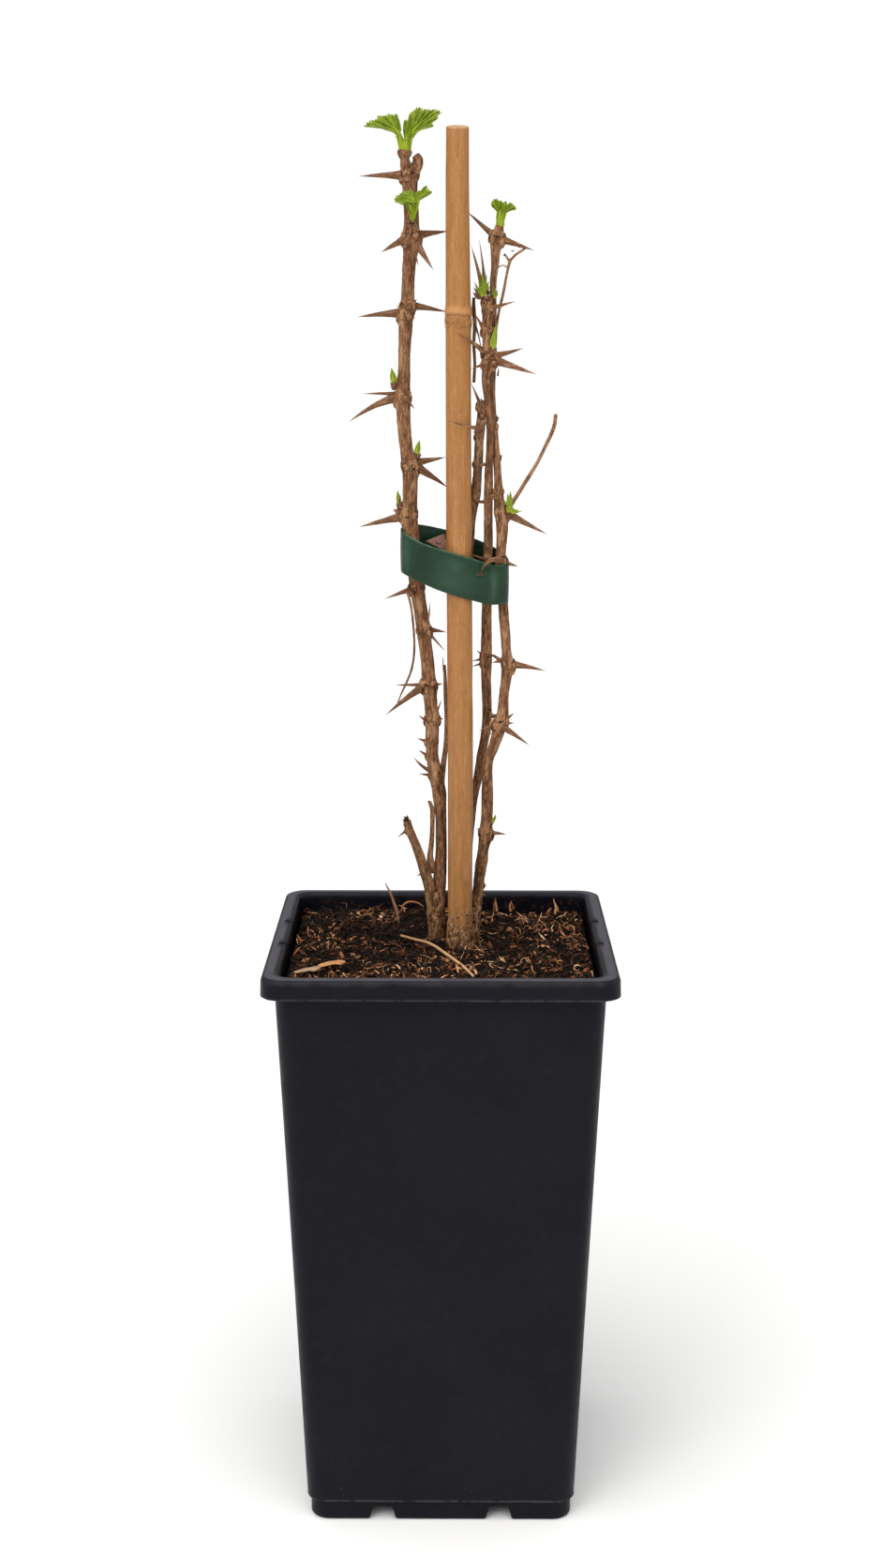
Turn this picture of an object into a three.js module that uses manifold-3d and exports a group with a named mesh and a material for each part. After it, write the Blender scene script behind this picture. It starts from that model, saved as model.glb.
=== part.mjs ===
// A young gooseberry bush in a tall square nursery pot, tied to a bamboo cane.
// Millimetres, +Z up. The origin is on the ground at the middle of the pot's foot.
// +X is to the right and -Y is the front of the pot.
import * as THREE from "three";
import { mergeVertices } from "three/addons/utils/BufferGeometryUtils.js";
import Module from "manifold-3d";

const wasm = await Module();
wasm.setup();

// ---------------------------------------------------------------- driving dimensions
const POT_HEIGHT = 221;
const RIM_HALF = 65.4; // half the outer width across the rim
const RIM_SKIRT = 7.4; // height of the rim's downward skirt
const RIM_OPENING_HALF = 58.75; // half the clear opening inside the rim
const RIM_CORNER = 8;
const WALL = 1.2;
const BODY_TOP_HALF = 60.5;
const BODY_FOOT_HALF = 51.7;
const BODY_CORNER = 7.5;
const FOOT_HALF = 50.4; // foot ring, set back a little from the body
const FOOT_HEIGHT = 7.9;
const FLOOR_TOP = 7.5;
const FLOOR_UNDER = 6;
const NOTCH_AT = 22.4; // middle of each drainage notch from the side's middle
const NOTCH_TOP = 5.8;
const NOTCH_TOP_WIDTH = 6.4;
const NOTCH_FOOT_WIDTH = 10.4;
const SLIT_AT = 15.5; // label slits in the left and right rims
const SLIT_WIDTH = 1.2;
const SLIT_DEPTH = 3.4;
const SLIT_HEIGHT = 9;
const DRAIN_RADIUS = 4.5;
const DRAIN_AT = 27;

const COMPOST_TOP = 214.2; // at the middle; it falls a little towards the wall
const COMPOST_EDGE = 212.8;
const GAP = 0.3; // clearance between pieces that touch

// cane axis and radius: [x, y, z, r]
const CANE_FOOT = 22;
const CANE = [
  [8.6, 4.3, CANE_FOOT, 4.75],
  [7.3, 4, 217, 4.8],
  [7.26, 4, 281, 4.85],
  [6.91, 4, 332, 4.85],
  [6.46, 4, 381.5, 4.78],
  [6.2, 4, 433.2, 4.69],
  [6.17, 4, 450.6, 4.66],
  [6.16, 4, 452.6, 5.0],
  [6.16, 4, 455.2, 5.0],
  [6.14, 4, 457.2, 4.66],
  [6.01, 4, 466.9, 4.53],
  [5.73, 4, 500, 4.3],
  [5.71, 4, 523.5, 4.25],
];
const CANE_TOP = 521.05; // height of the slanted cut at the cane's axis
const CANE_CUT_TILT = 0.258; // radians: the cut faces up and a little to the front
const CANE_HOLE_RADIUS = 0.9; // the small hole in the pith at the cut end
const CANE_HOLE_DEPTH = 3;

// The band: an egg-shaped loop in plan, tilted down to the right and to the front.
const BAND_HEIGHT = 15.2;
const BAND_THICK = 0.6;
const BAND_MIDDLE_Z = 361.6; // at x = 0, y = 0
const BAND_FALL_X = -0.3;
const BAND_RISE_Y = 0.42;
// plan of the band's middle line: [x, y]
const BAND_PLAN = [
  [-15.2, 6.2], [-14.6, 2.6], [-12.2, 0.6], [-8, -0.6], [-3, -1.3], [2.5, -1.6], [8, -1.6],
  [13, -1.2], [18, -0.2], [22, 1.4], [24.6, 3.8], [25.2, 6.8], [24.2, 9.8], [21.4, 12.4],
  [17, 14.2], [12, 15.2], [6, 15.6], [0, 15.2], [-5.5, 14.2], [-10, 12.6], [-13.4, 10],
];

// Stems and twigs as centre lines: [x, y, z, radius], from the foot up.
// Thorns: the foot inside the stem, the radius there and the tip; mid is a point on a bent one.
const STEM_LEFT = [
  [-0.2, 12.4, 201.5, 2.7], [-1.18, 11.36, 210.73, 2.69], [-1.1, 10.5, 232.02, 2.58],
  [-0.62, 10.22, 241.58, 2.57], [-0.14, 9.93, 251.27, 2.2], [-0.43, 9.5, 265.81, 2.19],
  [-0.97, 9.24, 275.18, 2.64], [-3.57, 8.84, 289.32, 2.26], [-3.67, 8.61, 297.46, 2.58],
  [-4.02, 8.3, 308.49, 2.52], [-5.81, 7.65, 329.63, 2.54], [-10.45, 6.44, 365.12, 2.74],
  [-11.27, 6.05, 374.32, 2.91], [-11.87, 5.69, 382.77, 2.64], [-11.78, 5.11, 396.4, 2.72],
  [-13.14, 5, 406.44, 2.45], [-14.02, 5, 416.43, 2.53], [-13.92, 5.02, 434.2, 2.31],
  [-13.68, 5.19, 442.69, 2.28], [-13.17, 5.38, 452.48, 2.59], [-11.94, 5.77, 472.28, 2.41],
  [-11.23, 5.92, 479.61, 2.66], [-11, 6.18, 489.57, 2.65], [-11.49, 6.47, 499.15, 2.65],
  [-11.34, 6.62, 504.09, 2.9], [-10.45, 6.74, 508.04, 2.9],
];
const STUB_LEFT = [
  [-3.37, 9.5, 225.43, 2.03], [-5.36, 7.5, 239.24, 2.1], [-10.2, 4.5, 255, 1.67],
  [-12.97, 2.8, 262.85, 1.52], [-13.29, 2.5, 264.77, 1.45],
];
const SIDE_SHOOT_LEFT = [
  [-3.72, 8.6, 242.74, 1.56], [-4.22, 8, 246.28, 1.55], [-4.5, 7.5, 249.42, 1.24],
  [-3.68, 6.6, 259, 0.91], [-3.59, 6, 268.45, 0.91], [-4.64, 5.6, 271.5, 0.65],
];
const INNER_LEFT = [
  [-0.43, 10.5, 275.28, 1.46], [1.52, 11.8, 291.71, 0.98], [1.92, 12, 297.95, 0.91],
  [1.15, 12, 323.93, 0.5],
];
const HANGING_TWIG = [
  [-12.9, 3.2, 353.08, 0.53], [-11.62, 2.4, 348.21, 0.46], [-10.36, 1.4, 335.88, 0.46],
  [-10.38, 1.2, 329.84, 0.46], [-11.38, 0.8, 323.8, 0.44], [-16.63, 0, 311.33, 0.28],
];
const STEM_RIGHT_OUTER = [
  [10.6, 13.2, 203, 1.9], [11.6, 12.76, 213.81, 1.78], [13.58, 11.94, 226.7, 1.88],
  [15.58, 10.04, 246.56, 2.38], [16.18, 9.56, 251.58, 2.1], [17.1, 9, 257.34, 2.55],
  [17.58, 7.52, 266.28, 2.18], [17.67, 6.47, 275.79, 2.17], [17.96, 5.5, 287.43, 1.75],
  [22.93, 4.59, 303.34, 2.24], [23.9, 4.84, 314.19, 1.88], [25.06, 5.18, 324.98, 2.14],
  [24.71, 5.4, 329.98, 1.84], [23.71, 6, 343.16, 1.85], [22.34, 6, 365.89, 1.77],
  [22.8, 6.3, 377.13, 2.2], [21.6, 6.6, 385.87, 1.94], [21.03, 7.59, 396.27, 1.41],
  [19.42, 9.5, 416.29, 1.19], [18.85, 9.93, 426.61, 1.15], [19.09, 10.5, 455.27, 1.25],
  [19.03, 10.49, 467.42, 1.26], [19.77, 10.28, 477.47, 1.73], [20.26, 10.19, 481.81, 2.33],
  [21.33, 10.06, 487.47, 1.38],
];
const STEM_RIGHT_MID = [
  [8.2, 15.6, 202.5, 1.9], [9.2, 14, 212.68, 1.76], [9.34, 13.71, 230.03, 1.76],
  [10.21, 13.36, 249.13, 1.75], [11.45, 13.09, 263.52, 1.65], [16.33, 12.01, 293.54, 1.74],
  [17.31, 11.79, 299.85, 1.9], [17.11, 11.19, 318.62, 1.86], [17.18, 10.94, 327.37, 2.16],
  [17.6, 9.5, 369.09, 1.7], [17.61, 7, 396.3, 1.62], [17.9, 5.81, 412.28, 1.22],
  [16.26, 4.49, 431.49, 1.39], [17.6, 4, 439.64, 2.33], [16.8, 4, 448.08, 1.9],
  [16.77, 4.18, 455.49, 1.81], [16.75, 4.29, 459.52, 2.15], [16.67, 4.37, 462.2, 1.89],
];
const STEM_RIGHT_INNER = [
  [6.6, 16.4, 203, 1.8], [6.2, 15.6, 232, 1.75], [6.6, 14.6, 270, 1.7],
  [8, 13.6, 310, 1.65], [9.6, 12.6, 340, 1.62], [11.09, 10, 377.53, 1.59],
  [11.95, 9.33, 384.62, 1.66], [12.74, 8.92, 388.85, 1.94], [13.34, 8.09, 396.24, 1.65],
  [14.27, 6.13, 412.27, 1.68], [14.93, 6.26, 422.92, 1.64],
];
const DRY_TWIG = [
  [11.97, 8.5, 430.41, 0.63], [12.3, 8.8, 437.24, 0.59], [11.92, 9, 445.07, 0.63],
  [12.25, 9, 451.86, 0.73], [11.82, 9, 456.93, 0.8], [11.87, 9, 460.98, 0.52],
];
const TWIG_RIGHT = [
  [24.75, 5.6, 383.49, 0.88], [36.07, 3, 402.07, 0.7], [40.63, 2, 411.74, 0.73],
  [41.8, 1.8, 415.17, 0.76], [42.26, 1.6, 419.28, 0.69],
];
const TWIG_TOP = [
  [19.26, 9.3, 439.63, 0.59], [21.04, 7.6, 455.55, 0.52], [24.89, 6, 473.61, 0.58],
  [25.53, 5.8, 475.1, 0.51],
];
const PRONG_LEFT = [
  [-11.48, 6.64, 504.75, 2.22], [-12.66, 6.77, 509.02, 2.38], [-13.23, 6.9, 513.29, 2.42],
];
const PRONG_RIGHT = [
  [-10.8, 6.66, 505.41, 2.05], [-8.74, 6.86, 511.81, 1.7],
];
const TWIG_TOP_FORK_RIGHT = [
  [25.12, 5.9, 474.27, 0.48], [27.22, 5.5, 476.42, 0.45], [30.01, 5, 478.22, 0.45],
];
const TWIG_TOP_FORK_LEFT = [
  [24.95, 5.9, 473.94, 0.45], [23.47, 6.3, 476.29, 0.41],
];
const THORNS_LEFT = [
  { foot: [-13.7, 6.63, 504.42], r: 1.53, tip: [-30.11, 3.63, 503.86] },
  { foot: [-8.96, 5.99, 483.26], r: 1.54, tip: [2.67, 12.99, 485.14] },
  { foot: [-13.08, 5.97, 482.1], r: 1.54, tip: [-21.99, 1.97, 477.1] },
  { foot: [-10.54, 5.98, 482.6], r: 1.89, tip: [-2.92, -3.02, 470.6] },
  { foot: [-10.34, 5.92, 479.61], r: 0.86, tip: [-8.35, -1.08, 472] },
  { foot: [-15.23, 5.44, 455.52], r: 1.55, tip: [-30.78, 3.44, 454.14] },
  { foot: [-10.74, 5.49, 458.21], r: 1.38, tip: [2.53, 11.49, 455.96] },
  { foot: [-15.16, 5, 426.36], r: 0.87, tip: [-29.19, 3, 426.47] },
  { foot: [-16.38, 5, 424.99], r: 1.74, tip: [-34.47, 0, 416.11], mid: [-25.01, 2.74, 421.97] },
  { foot: [-13.26, 5, 424.65], r: 0.87, tip: [-9.87, 0, 420.85] },
  { foot: [-9.14, 5, 401.26], r: 1.4, tip: [1.55, 10, 402.92] },
  { foot: [-9.67, 5, 399.7], r: 1.75, tip: [2.57, 11, 391.34] },
  { foot: [-13.78, 5.75, 381.36], r: 1.76, tip: [-31, 2.75, 377.39] },
  { foot: [-10.35, 6.83, 354.09], r: 1.24, tip: [-21.67, 3.83, 350.27] },
  { foot: [-6.65, 7.37, 337.95], r: 0.89, tip: [-4.43, 1.37, 349.54], mid: [-4.93, 4.51, 343.33] },
  { foot: [-6.12, 7.36, 338.13], r: 1.25, tip: [1.9, 10.36, 336.73] },
  { foot: [-5.41, 7.39, 337.41], r: 0.71, tip: [1.46, 4.39, 330.11] },
  { foot: [-6.16, 8.07, 316.69], r: 0.9, tip: [-17.82, 5.07, 317.15] },
  { foot: [-5.8, 8.06, 316.9], r: 1.8, tip: [-21.47, 2.06, 305.91] },
  { foot: [-4.01, 8.07, 316.72], r: 0.9, tip: [0.62, 9.07, 317.11] },
  { foot: [-2.58, 8.43, 304.09], r: 0.81, tip: [0.1, 5.43, 311.53] },
  { foot: [-5.47, 8.48, 302.25], r: 0.72, tip: [-8.85, 6.48, 305.3] },
  { foot: [-5.48, 8.7, 294.5], r: 0.72, tip: [-9.34, 6.7, 296.23] },
  { foot: [-1.87, 9.05, 282.08], r: 1.09, tip: [-10.79, 2.05, 290.09], mid: [-6.9, 5.54, 285.18] },
];
const THORNS_STUB = [
  { foot: [-13.24, 3.12, 260.91], r: 0.65, tip: [-16.96, 2.12, 258.17] },
];
const THORNS_RIGHT_OUTER = [
  { foot: [19.56, 10.16, 483.14], r: 1.21, tip: [9.39, 12.16, 492.09] },
  { foot: [21.29, 10.17, 482.31], r: 1.46, tip: [33.75, 6.17, 477.94] },
  { foot: [25.66, 5.19, 325.33], r: 1.52, tip: [39.47, 2.19, 323.1] },
  { foot: [19.7, 4.59, 303.15], r: 1.79, tip: [33.54, -1.41, 294.99] },
  { foot: [24, 4.59, 303.34], r: 0.9, tip: [27.72, 2.59, 306.89] },
  { foot: [23.47, 4.57, 302.25], r: 0.81, tip: [27.75, 2.57, 303.05] },
  { foot: [20.78, 4.56, 302.1], r: 0.9, tip: [14.08, 1.56, 300.09] },
  { foot: [18.18, 8.81, 258.52], r: 1.09, tip: [25.18, 5.81, 258.56] },
  { foot: [21.05, 7.03, 390.38], r: 0.6, tip: [15.14, 3.03, 386.67], mid: [18.39, 5.24, 388.75] },
  { foot: [23.19, 6.45, 382.9], r: 1.76, tip: [39.65, 2.45, 374.73] },
  { foot: [23.12, 6, 364.13], r: 1.06, tip: [28.91, 4, 362.56] },
  { foot: [23.12, 4.4, 364.28], r: 1.06, tip: [14.57, -2.9, 360.73], mid: [18.01, -3, 365.36] },
];
const THORNS_RIGHT_MID = [
  { foot: [17.18, 4.22, 457], r: 1.03, tip: [26.95, 1.22, 459.64] },
  { foot: [16.49, 4.21, 456.5], r: 0.69, tip: [15.17, 0.21, 463.08] },
  { foot: [18.29, 4, 439.81], r: 1.38, tip: [30.13, 2, 442.91] },
  { foot: [18.47, 4.04, 438.96], r: 1.73, tip: [35.14, 0.04, 433.44] },
  { foot: [16.58, 4.14, 437.26], r: 0.78, tip: [10.9, 3.14, 435.37] },
  { foot: [16.56, 4, 440.99], r: 1.12, tip: [5.1, -4.5, 448.48], mid: [10.91, -0.35, 445.19] },
  { foot: [15.83, 4, 449.1], r: 0.86, tip: [12.21, 2.5, 455.26] },
  { foot: [15.6, 4.39, 462.87], r: 1.03, tip: [10.83, 2.89, 479.62] },
  { foot: [16.11, 4.45, 465.21], r: 0.77, tip: [13.72, 1.95, 481.55] },
  { foot: [16.1, 10.97, 326.46], r: 0.63, tip: [11.51, 11.97, 325.4] },
  { foot: [15.97, 11.02, 324.82], r: 0.58, tip: [11.66, 12.02, 323.22] },
  { foot: [17.88, 9.7, 363.93], r: 0.89, tip: [11.1, 2.7, 367.26] },
];
const THORNS_RIGHT_INNER = [
  { foot: [14.39, 4.6, 413.7], r: 0.96, tip: [1.73, -3.6, 416.91], mid: [11.06, -1.7, 414.47] },
  { foot: [14.59, 6.23, 421.72], r: 0.78, tip: [10.93, 5.23, 430.25] },
];
const BUDS = [
  { name: "bud_left_upper", foot: [-18.07, 4, 429.62], tip: [-19.01, 3.8, 435.91], r: 1.39 },
  { name: "bud_left_middle", foot: [-9.18, 4, 404.42], tip: [-8.16, 3.8, 409.43], r: 0.96 },
  { name: "bud_left_lower", foot: [-15.66, 4.57, 385.65], tip: [-16.41, 4.37, 391.06], r: 0.97 },
  { name: "bud_right_top", foot: [16.28, 3.35, 461.67], tip: [15.91, 3.15, 468.17], r: 1.55 },
  { name: "bud_right_small", foot: [18.97, 9.5, 460.99], tip: [19.98, 9.3, 465.53], r: 1.04 },
  { name: "bud_right_long", foot: [19.25, 9.5, 442.01], tip: [20.41, 9.3, 451.86], r: 1.13 },
  { name: "bud_right_tie", foot: [25.46, 5.45, 383.15], tip: [25.72, 5.25, 390.67], r: 1.58 },
  { name: "bud_right_low", foot: [19.74, 7.16, 262.64], tip: [20.88, 6.96, 266.04], r: 0.91 },
];

// Leaf blades: foot and tip of the midrib, width, and the way the upper face looks.
const LEAVES = [
  { name: "leaf_top_left_1", foot: [-14.3, 6, 513.3], knee: [-15.6, 5, 519.6], tip: [-27.4, 2.6, 522.2], width: 11.5, up: [-0.1, -0.45, 0.9] },
  { name: "leaf_top_left_2", foot: [-12.1, 5.9, 513.3], knee: [-11.2, 5, 520.2], tip: [-0.9, 3, 525.8], width: 12, up: [-0.3, -0.7, 0.65] },
  { name: "leaf_top_left_3", foot: [-13.2, 7.6, 513.3], knee: [-13.1, 6.4, 518], tip: [-12.9, 6, 524.2], width: 4.2, up: [0, -1, 0.2] },
  { name: "leaf_mid_left_1", foot: [-11.8, 4.4, 487.2], knee: [-12, 2.4, 491.6], tip: [-17, 0.8, 496.2], width: 8.4, up: [0.25, -0.6, 0.7] },
  { name: "leaf_mid_left_2", foot: [-10, 4.2, 487], knee: [-9.2, 2.2, 491.8], tip: [-4, 1, 499.2], width: 8, up: [-0.35, -0.65, 0.65] },
  { name: "leaf_mid_left_3", foot: [-10.9, 4.6, 489.6], knee: [-10.7, 3.4, 492.4], tip: [-12.2, 4.6, 499.2], width: 5.6, up: [0.1, -0.9, 0.4] },
  { name: "leaf_top_right_1", foot: [20.8, 9.5, 487.2], knee: [20.6, 9.1, 491], tip: [17.9, 7.4, 495.2], width: 5.4, up: [0.4, -0.7, 0.55] },
  { name: "leaf_top_right_2", foot: [22.1, 9.6, 487.2], knee: [22.8, 9.2, 491], tip: [27.3, 7.4, 494], width: 5.6, up: [-0.3, -0.65, 0.7] },
  { name: "leaf_top_right_3", foot: [21.4, 10.9, 487.2], knee: [21.8, 10.9, 491.6], tip: [22.6, 11.6, 496.6], width: 6, up: [0, -0.9, 0.4] },
];

// Loose bits on the compost, as centre lines.
const STICK = [[-17.3, 35.6, 213.3, 0.55], [-18.0, 37.2, 217.0, 0.55], [-19.5, 39.6, 221.8, 0.5], [-21.4, 41.6, 226.2, 0.42], [-23.2, 43.0, 229.4, 0.26]];
const STRAW = [[-16.4, 15, 215.2, 0.48], [-10.7, 5, 216.6, 0.52], [-4.4, -2.6, 217, 0.55], [2.4, -15.2, 216.2, 0.57], [8.4, -27.6, 215.3, 0.58], [12.2, -37.6, 214.6, 0.5]];

// Main roots, from the crown outwards and down.
const ROOTS = [
  [[2, 12, 200, 3.4], [-10, 6, 188, 2.6], [-24, -6, 168, 1.9], [-33, -16, 138, 1.3], [-36, -22, 104, 0.8]],
  [[12, 11, 200, 3.2], [22, 2, 186, 2.4], [31, -12, 162, 1.8], [36, -24, 130, 1.2], [37, -30, 98, 0.8]],
  [[7, 19, 200, 3.4], [10, 30, 186, 2.6], [18, 38, 160, 1.9], [22, 40, 124, 1.3], [20, 38, 88, 0.8]],
  [[0, 18, 199, 3], [-14, 27, 182, 2.2], [-26, 34, 156, 1.6], [-31, 36, 120, 1]],
  [[7, 15, 196, 3.6], [2, 14, 176, 2.8], [-6, 16, 146, 2], [-4, 20, 110, 1.4], [2, 22, 76, 0.9]],
];
const CROWN_MIDDLE = [7, 14, 203];
const CROWN_HALF = [14.5, 9.6, 12];

// ---------------------------------------------------------------- geometry helpers
const V = (a) => new THREE.Vector3(a[0], a[1], a[2]);

function geometryOf(points, triangles) {
  const g = new THREE.BufferGeometry();
  g.setAttribute("position", new THREE.Float32BufferAttribute(points.flat(), 3));
  g.setIndex(triangles.flat());
  return g;
}

function solid(geometry) {
  const g = geometry.clone();
  for (const name of Object.keys(g.attributes)) if (name !== "position") g.deleteAttribute(name);
  const m = mergeVertices(g, 1e-4);
  return new wasm.Manifold(
    new wasm.Mesh({
      numProp: 3,
      vertProperties: new Float32Array(m.attributes.position.array),
      triVerts: new Uint32Array(m.index.array),
    }),
  );
}

function geometryFrom(s) {
  const m = s.getMesh();
  const g = new THREE.BufferGeometry();
  const p = new Float32Array(m.numVert * 3);
  for (let i = 0; i < m.numVert; i++) p.set(m.vertProperties.subarray(i * m.numProp, i * m.numProp + 3), i * 3);
  g.setAttribute("position", new THREE.BufferAttribute(p, 3));
  g.setIndex(new THREE.BufferAttribute(new Uint32Array(m.triVerts), 1));
  const flat = g.toNonIndexed();
  flat.computeVertexNormals();
  return flat;
}

// A closed round tube of varying radius through rows of [x, y, z, r].
function limb(rows, sides, grow = 0) {
  const c = rows.map(V);
  const points = [];
  const tris = [];
  let side = new THREE.Vector3(1, 0, 0);
  const n = rows.length;
  for (let i = 0; i < n; i++) {
    const along = c[Math.min(i + 1, n - 1)].clone().sub(c[Math.max(i - 1, 0)]).normalize();
    side.addScaledVector(along, -side.dot(along));
    if (side.length() < 1e-3) side.set(0, 1, 0).addScaledVector(along, -along.y);
    side.normalize();
    const other = along.clone().cross(side);
    for (let k = 0; k < sides; k++) {
      const t = (2 * Math.PI * k) / sides;
      const r = rows[i][3] + grow;
      const p = c[i].clone().addScaledVector(side, r * Math.cos(t)).addScaledVector(other, r * Math.sin(t));
      points.push([p.x, p.y, p.z]);
    }
  }
  const first = points.length;
  points.push([c[0].x, c[0].y, c[0].z], [c[n - 1].x, c[n - 1].y, c[n - 1].z]);
  for (let i = 0; i < n - 1; i++)
    for (let k = 0; k < sides; k++) {
      const a = i * sides + k;
      const b = i * sides + ((k + 1) % sides);
      tris.push([a, b, b + sides], [a, b + sides, a + sides]);
    }
  for (let k = 0; k < sides; k++) {
    const m = (k + 1) % sides;
    tris.push([first, m, k], [first + 1, (n - 1) * sides + k, (n - 1) * sides + m]);
  }
  return geometryOf(points, tris);
}

// A closed cone that may bend: foot ring, a ring part of the way and the tip.
function thornOf({ foot, r, tip, mid }, sides = 5) {
  const a = V(foot);
  const b = V(tip);
  const m = mid ? V(mid) : a.clone().lerp(b, 0.45);
  const rows = [
    [a.x, a.y, a.z, r],
    [m.x, m.y, m.z, r * 0.5],
  ];
  const g = limb(rows, sides);
  const p = [...g.attributes.position.array];
  const points = [];
  for (let i = 0; i < p.length; i += 3) points.push([p[i], p[i + 1], p[i + 2]]);
  points[points.length - 1] = [b.x, b.y, b.z]; // the upper cap's middle is the tip
  const idx = [...g.index.array];
  const tris = [];
  for (let i = 0; i < idx.length; i += 3) tris.push([idx[i], idx[i + 1], idx[i + 2]]);
  return geometryOf(points, tris);
}

function rounded(half, corner, z, cx = 0, cy = 0) {
  const ring = [];
  const steps = 4;
  const inner = half - corner;
  [[1, 1], [-1, 1], [-1, -1], [1, -1]].forEach(([sx, sy], q) => {
    for (let k = 0; k <= steps; k++) {
      const t = (Math.PI / 2) * (q + k / steps);
      ring.push([cx + sx * inner + corner * Math.cos(t), cy + sy * inner + corner * Math.sin(t), z]);
    }
  });
  return ring;
}

// A closed solid swept round a rounded square: rows of [half width, corner, z], first and last on the axis.
function squareLathe(rows) {
  const points = [];
  const tris = [];
  const rings = rows.slice(1, -1).map(([h, c, z]) => rounded(h, c, z));
  const n = rings[0].length;
  rings.forEach((r) => points.push(...r));
  const low = points.length;
  points.push([0, 0, rows[0][2]], [0, 0, rows[rows.length - 1][2]]);
  for (let i = 0; i < rings.length - 1; i++)
    for (let k = 0; k < n; k++) {
      const a = i * n + k;
      const b = i * n + ((k + 1) % n);
      tris.push([a, b, b + n], [a, b + n, a + n]);
    }
  for (let k = 0; k < n; k++) {
    const m = (k + 1) % n;
    tris.push([low, m, k], [low + 1, (rings.length - 1) * n + k, (rings.length - 1) * n + m]);
  }
  return geometryOf(points, tris);
}

// ---------------------------------------------------------------- materials
const mat = (color, roughness, metalness = 0) => new THREE.MeshStandardMaterial({ color, roughness, metalness });
const plasticBlack = mat(0x242529, 0.55);
const peat = mat(0x43302a, 0.95);
const barkBrown = mat(0x8a6246, 0.85);
const barkPale = mat(0x9a7350, 0.85);
const bambooTan = mat(0xa97543, 0.5);
const bandGreen = mat(0x2d4634, 0.35);
const leafGreen = mat(0x7f9427, 0.5);
const budGreen = mat(0x6f8f3a, 0.55);
const strawTan = mat(0xc79a6c, 0.75);
const chipTan = mat(0xb07a45, 0.8);
const dryLeaf = mat(0x7a564a, 0.8);

const bush = new THREE.Group();
bush.name = "potted_gooseberry_bush";
function add(name, geometry, material) {
  const m = new THREE.Mesh(geometry, material);
  m.name = name;
  bush.add(m);
  return m;
}

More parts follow.
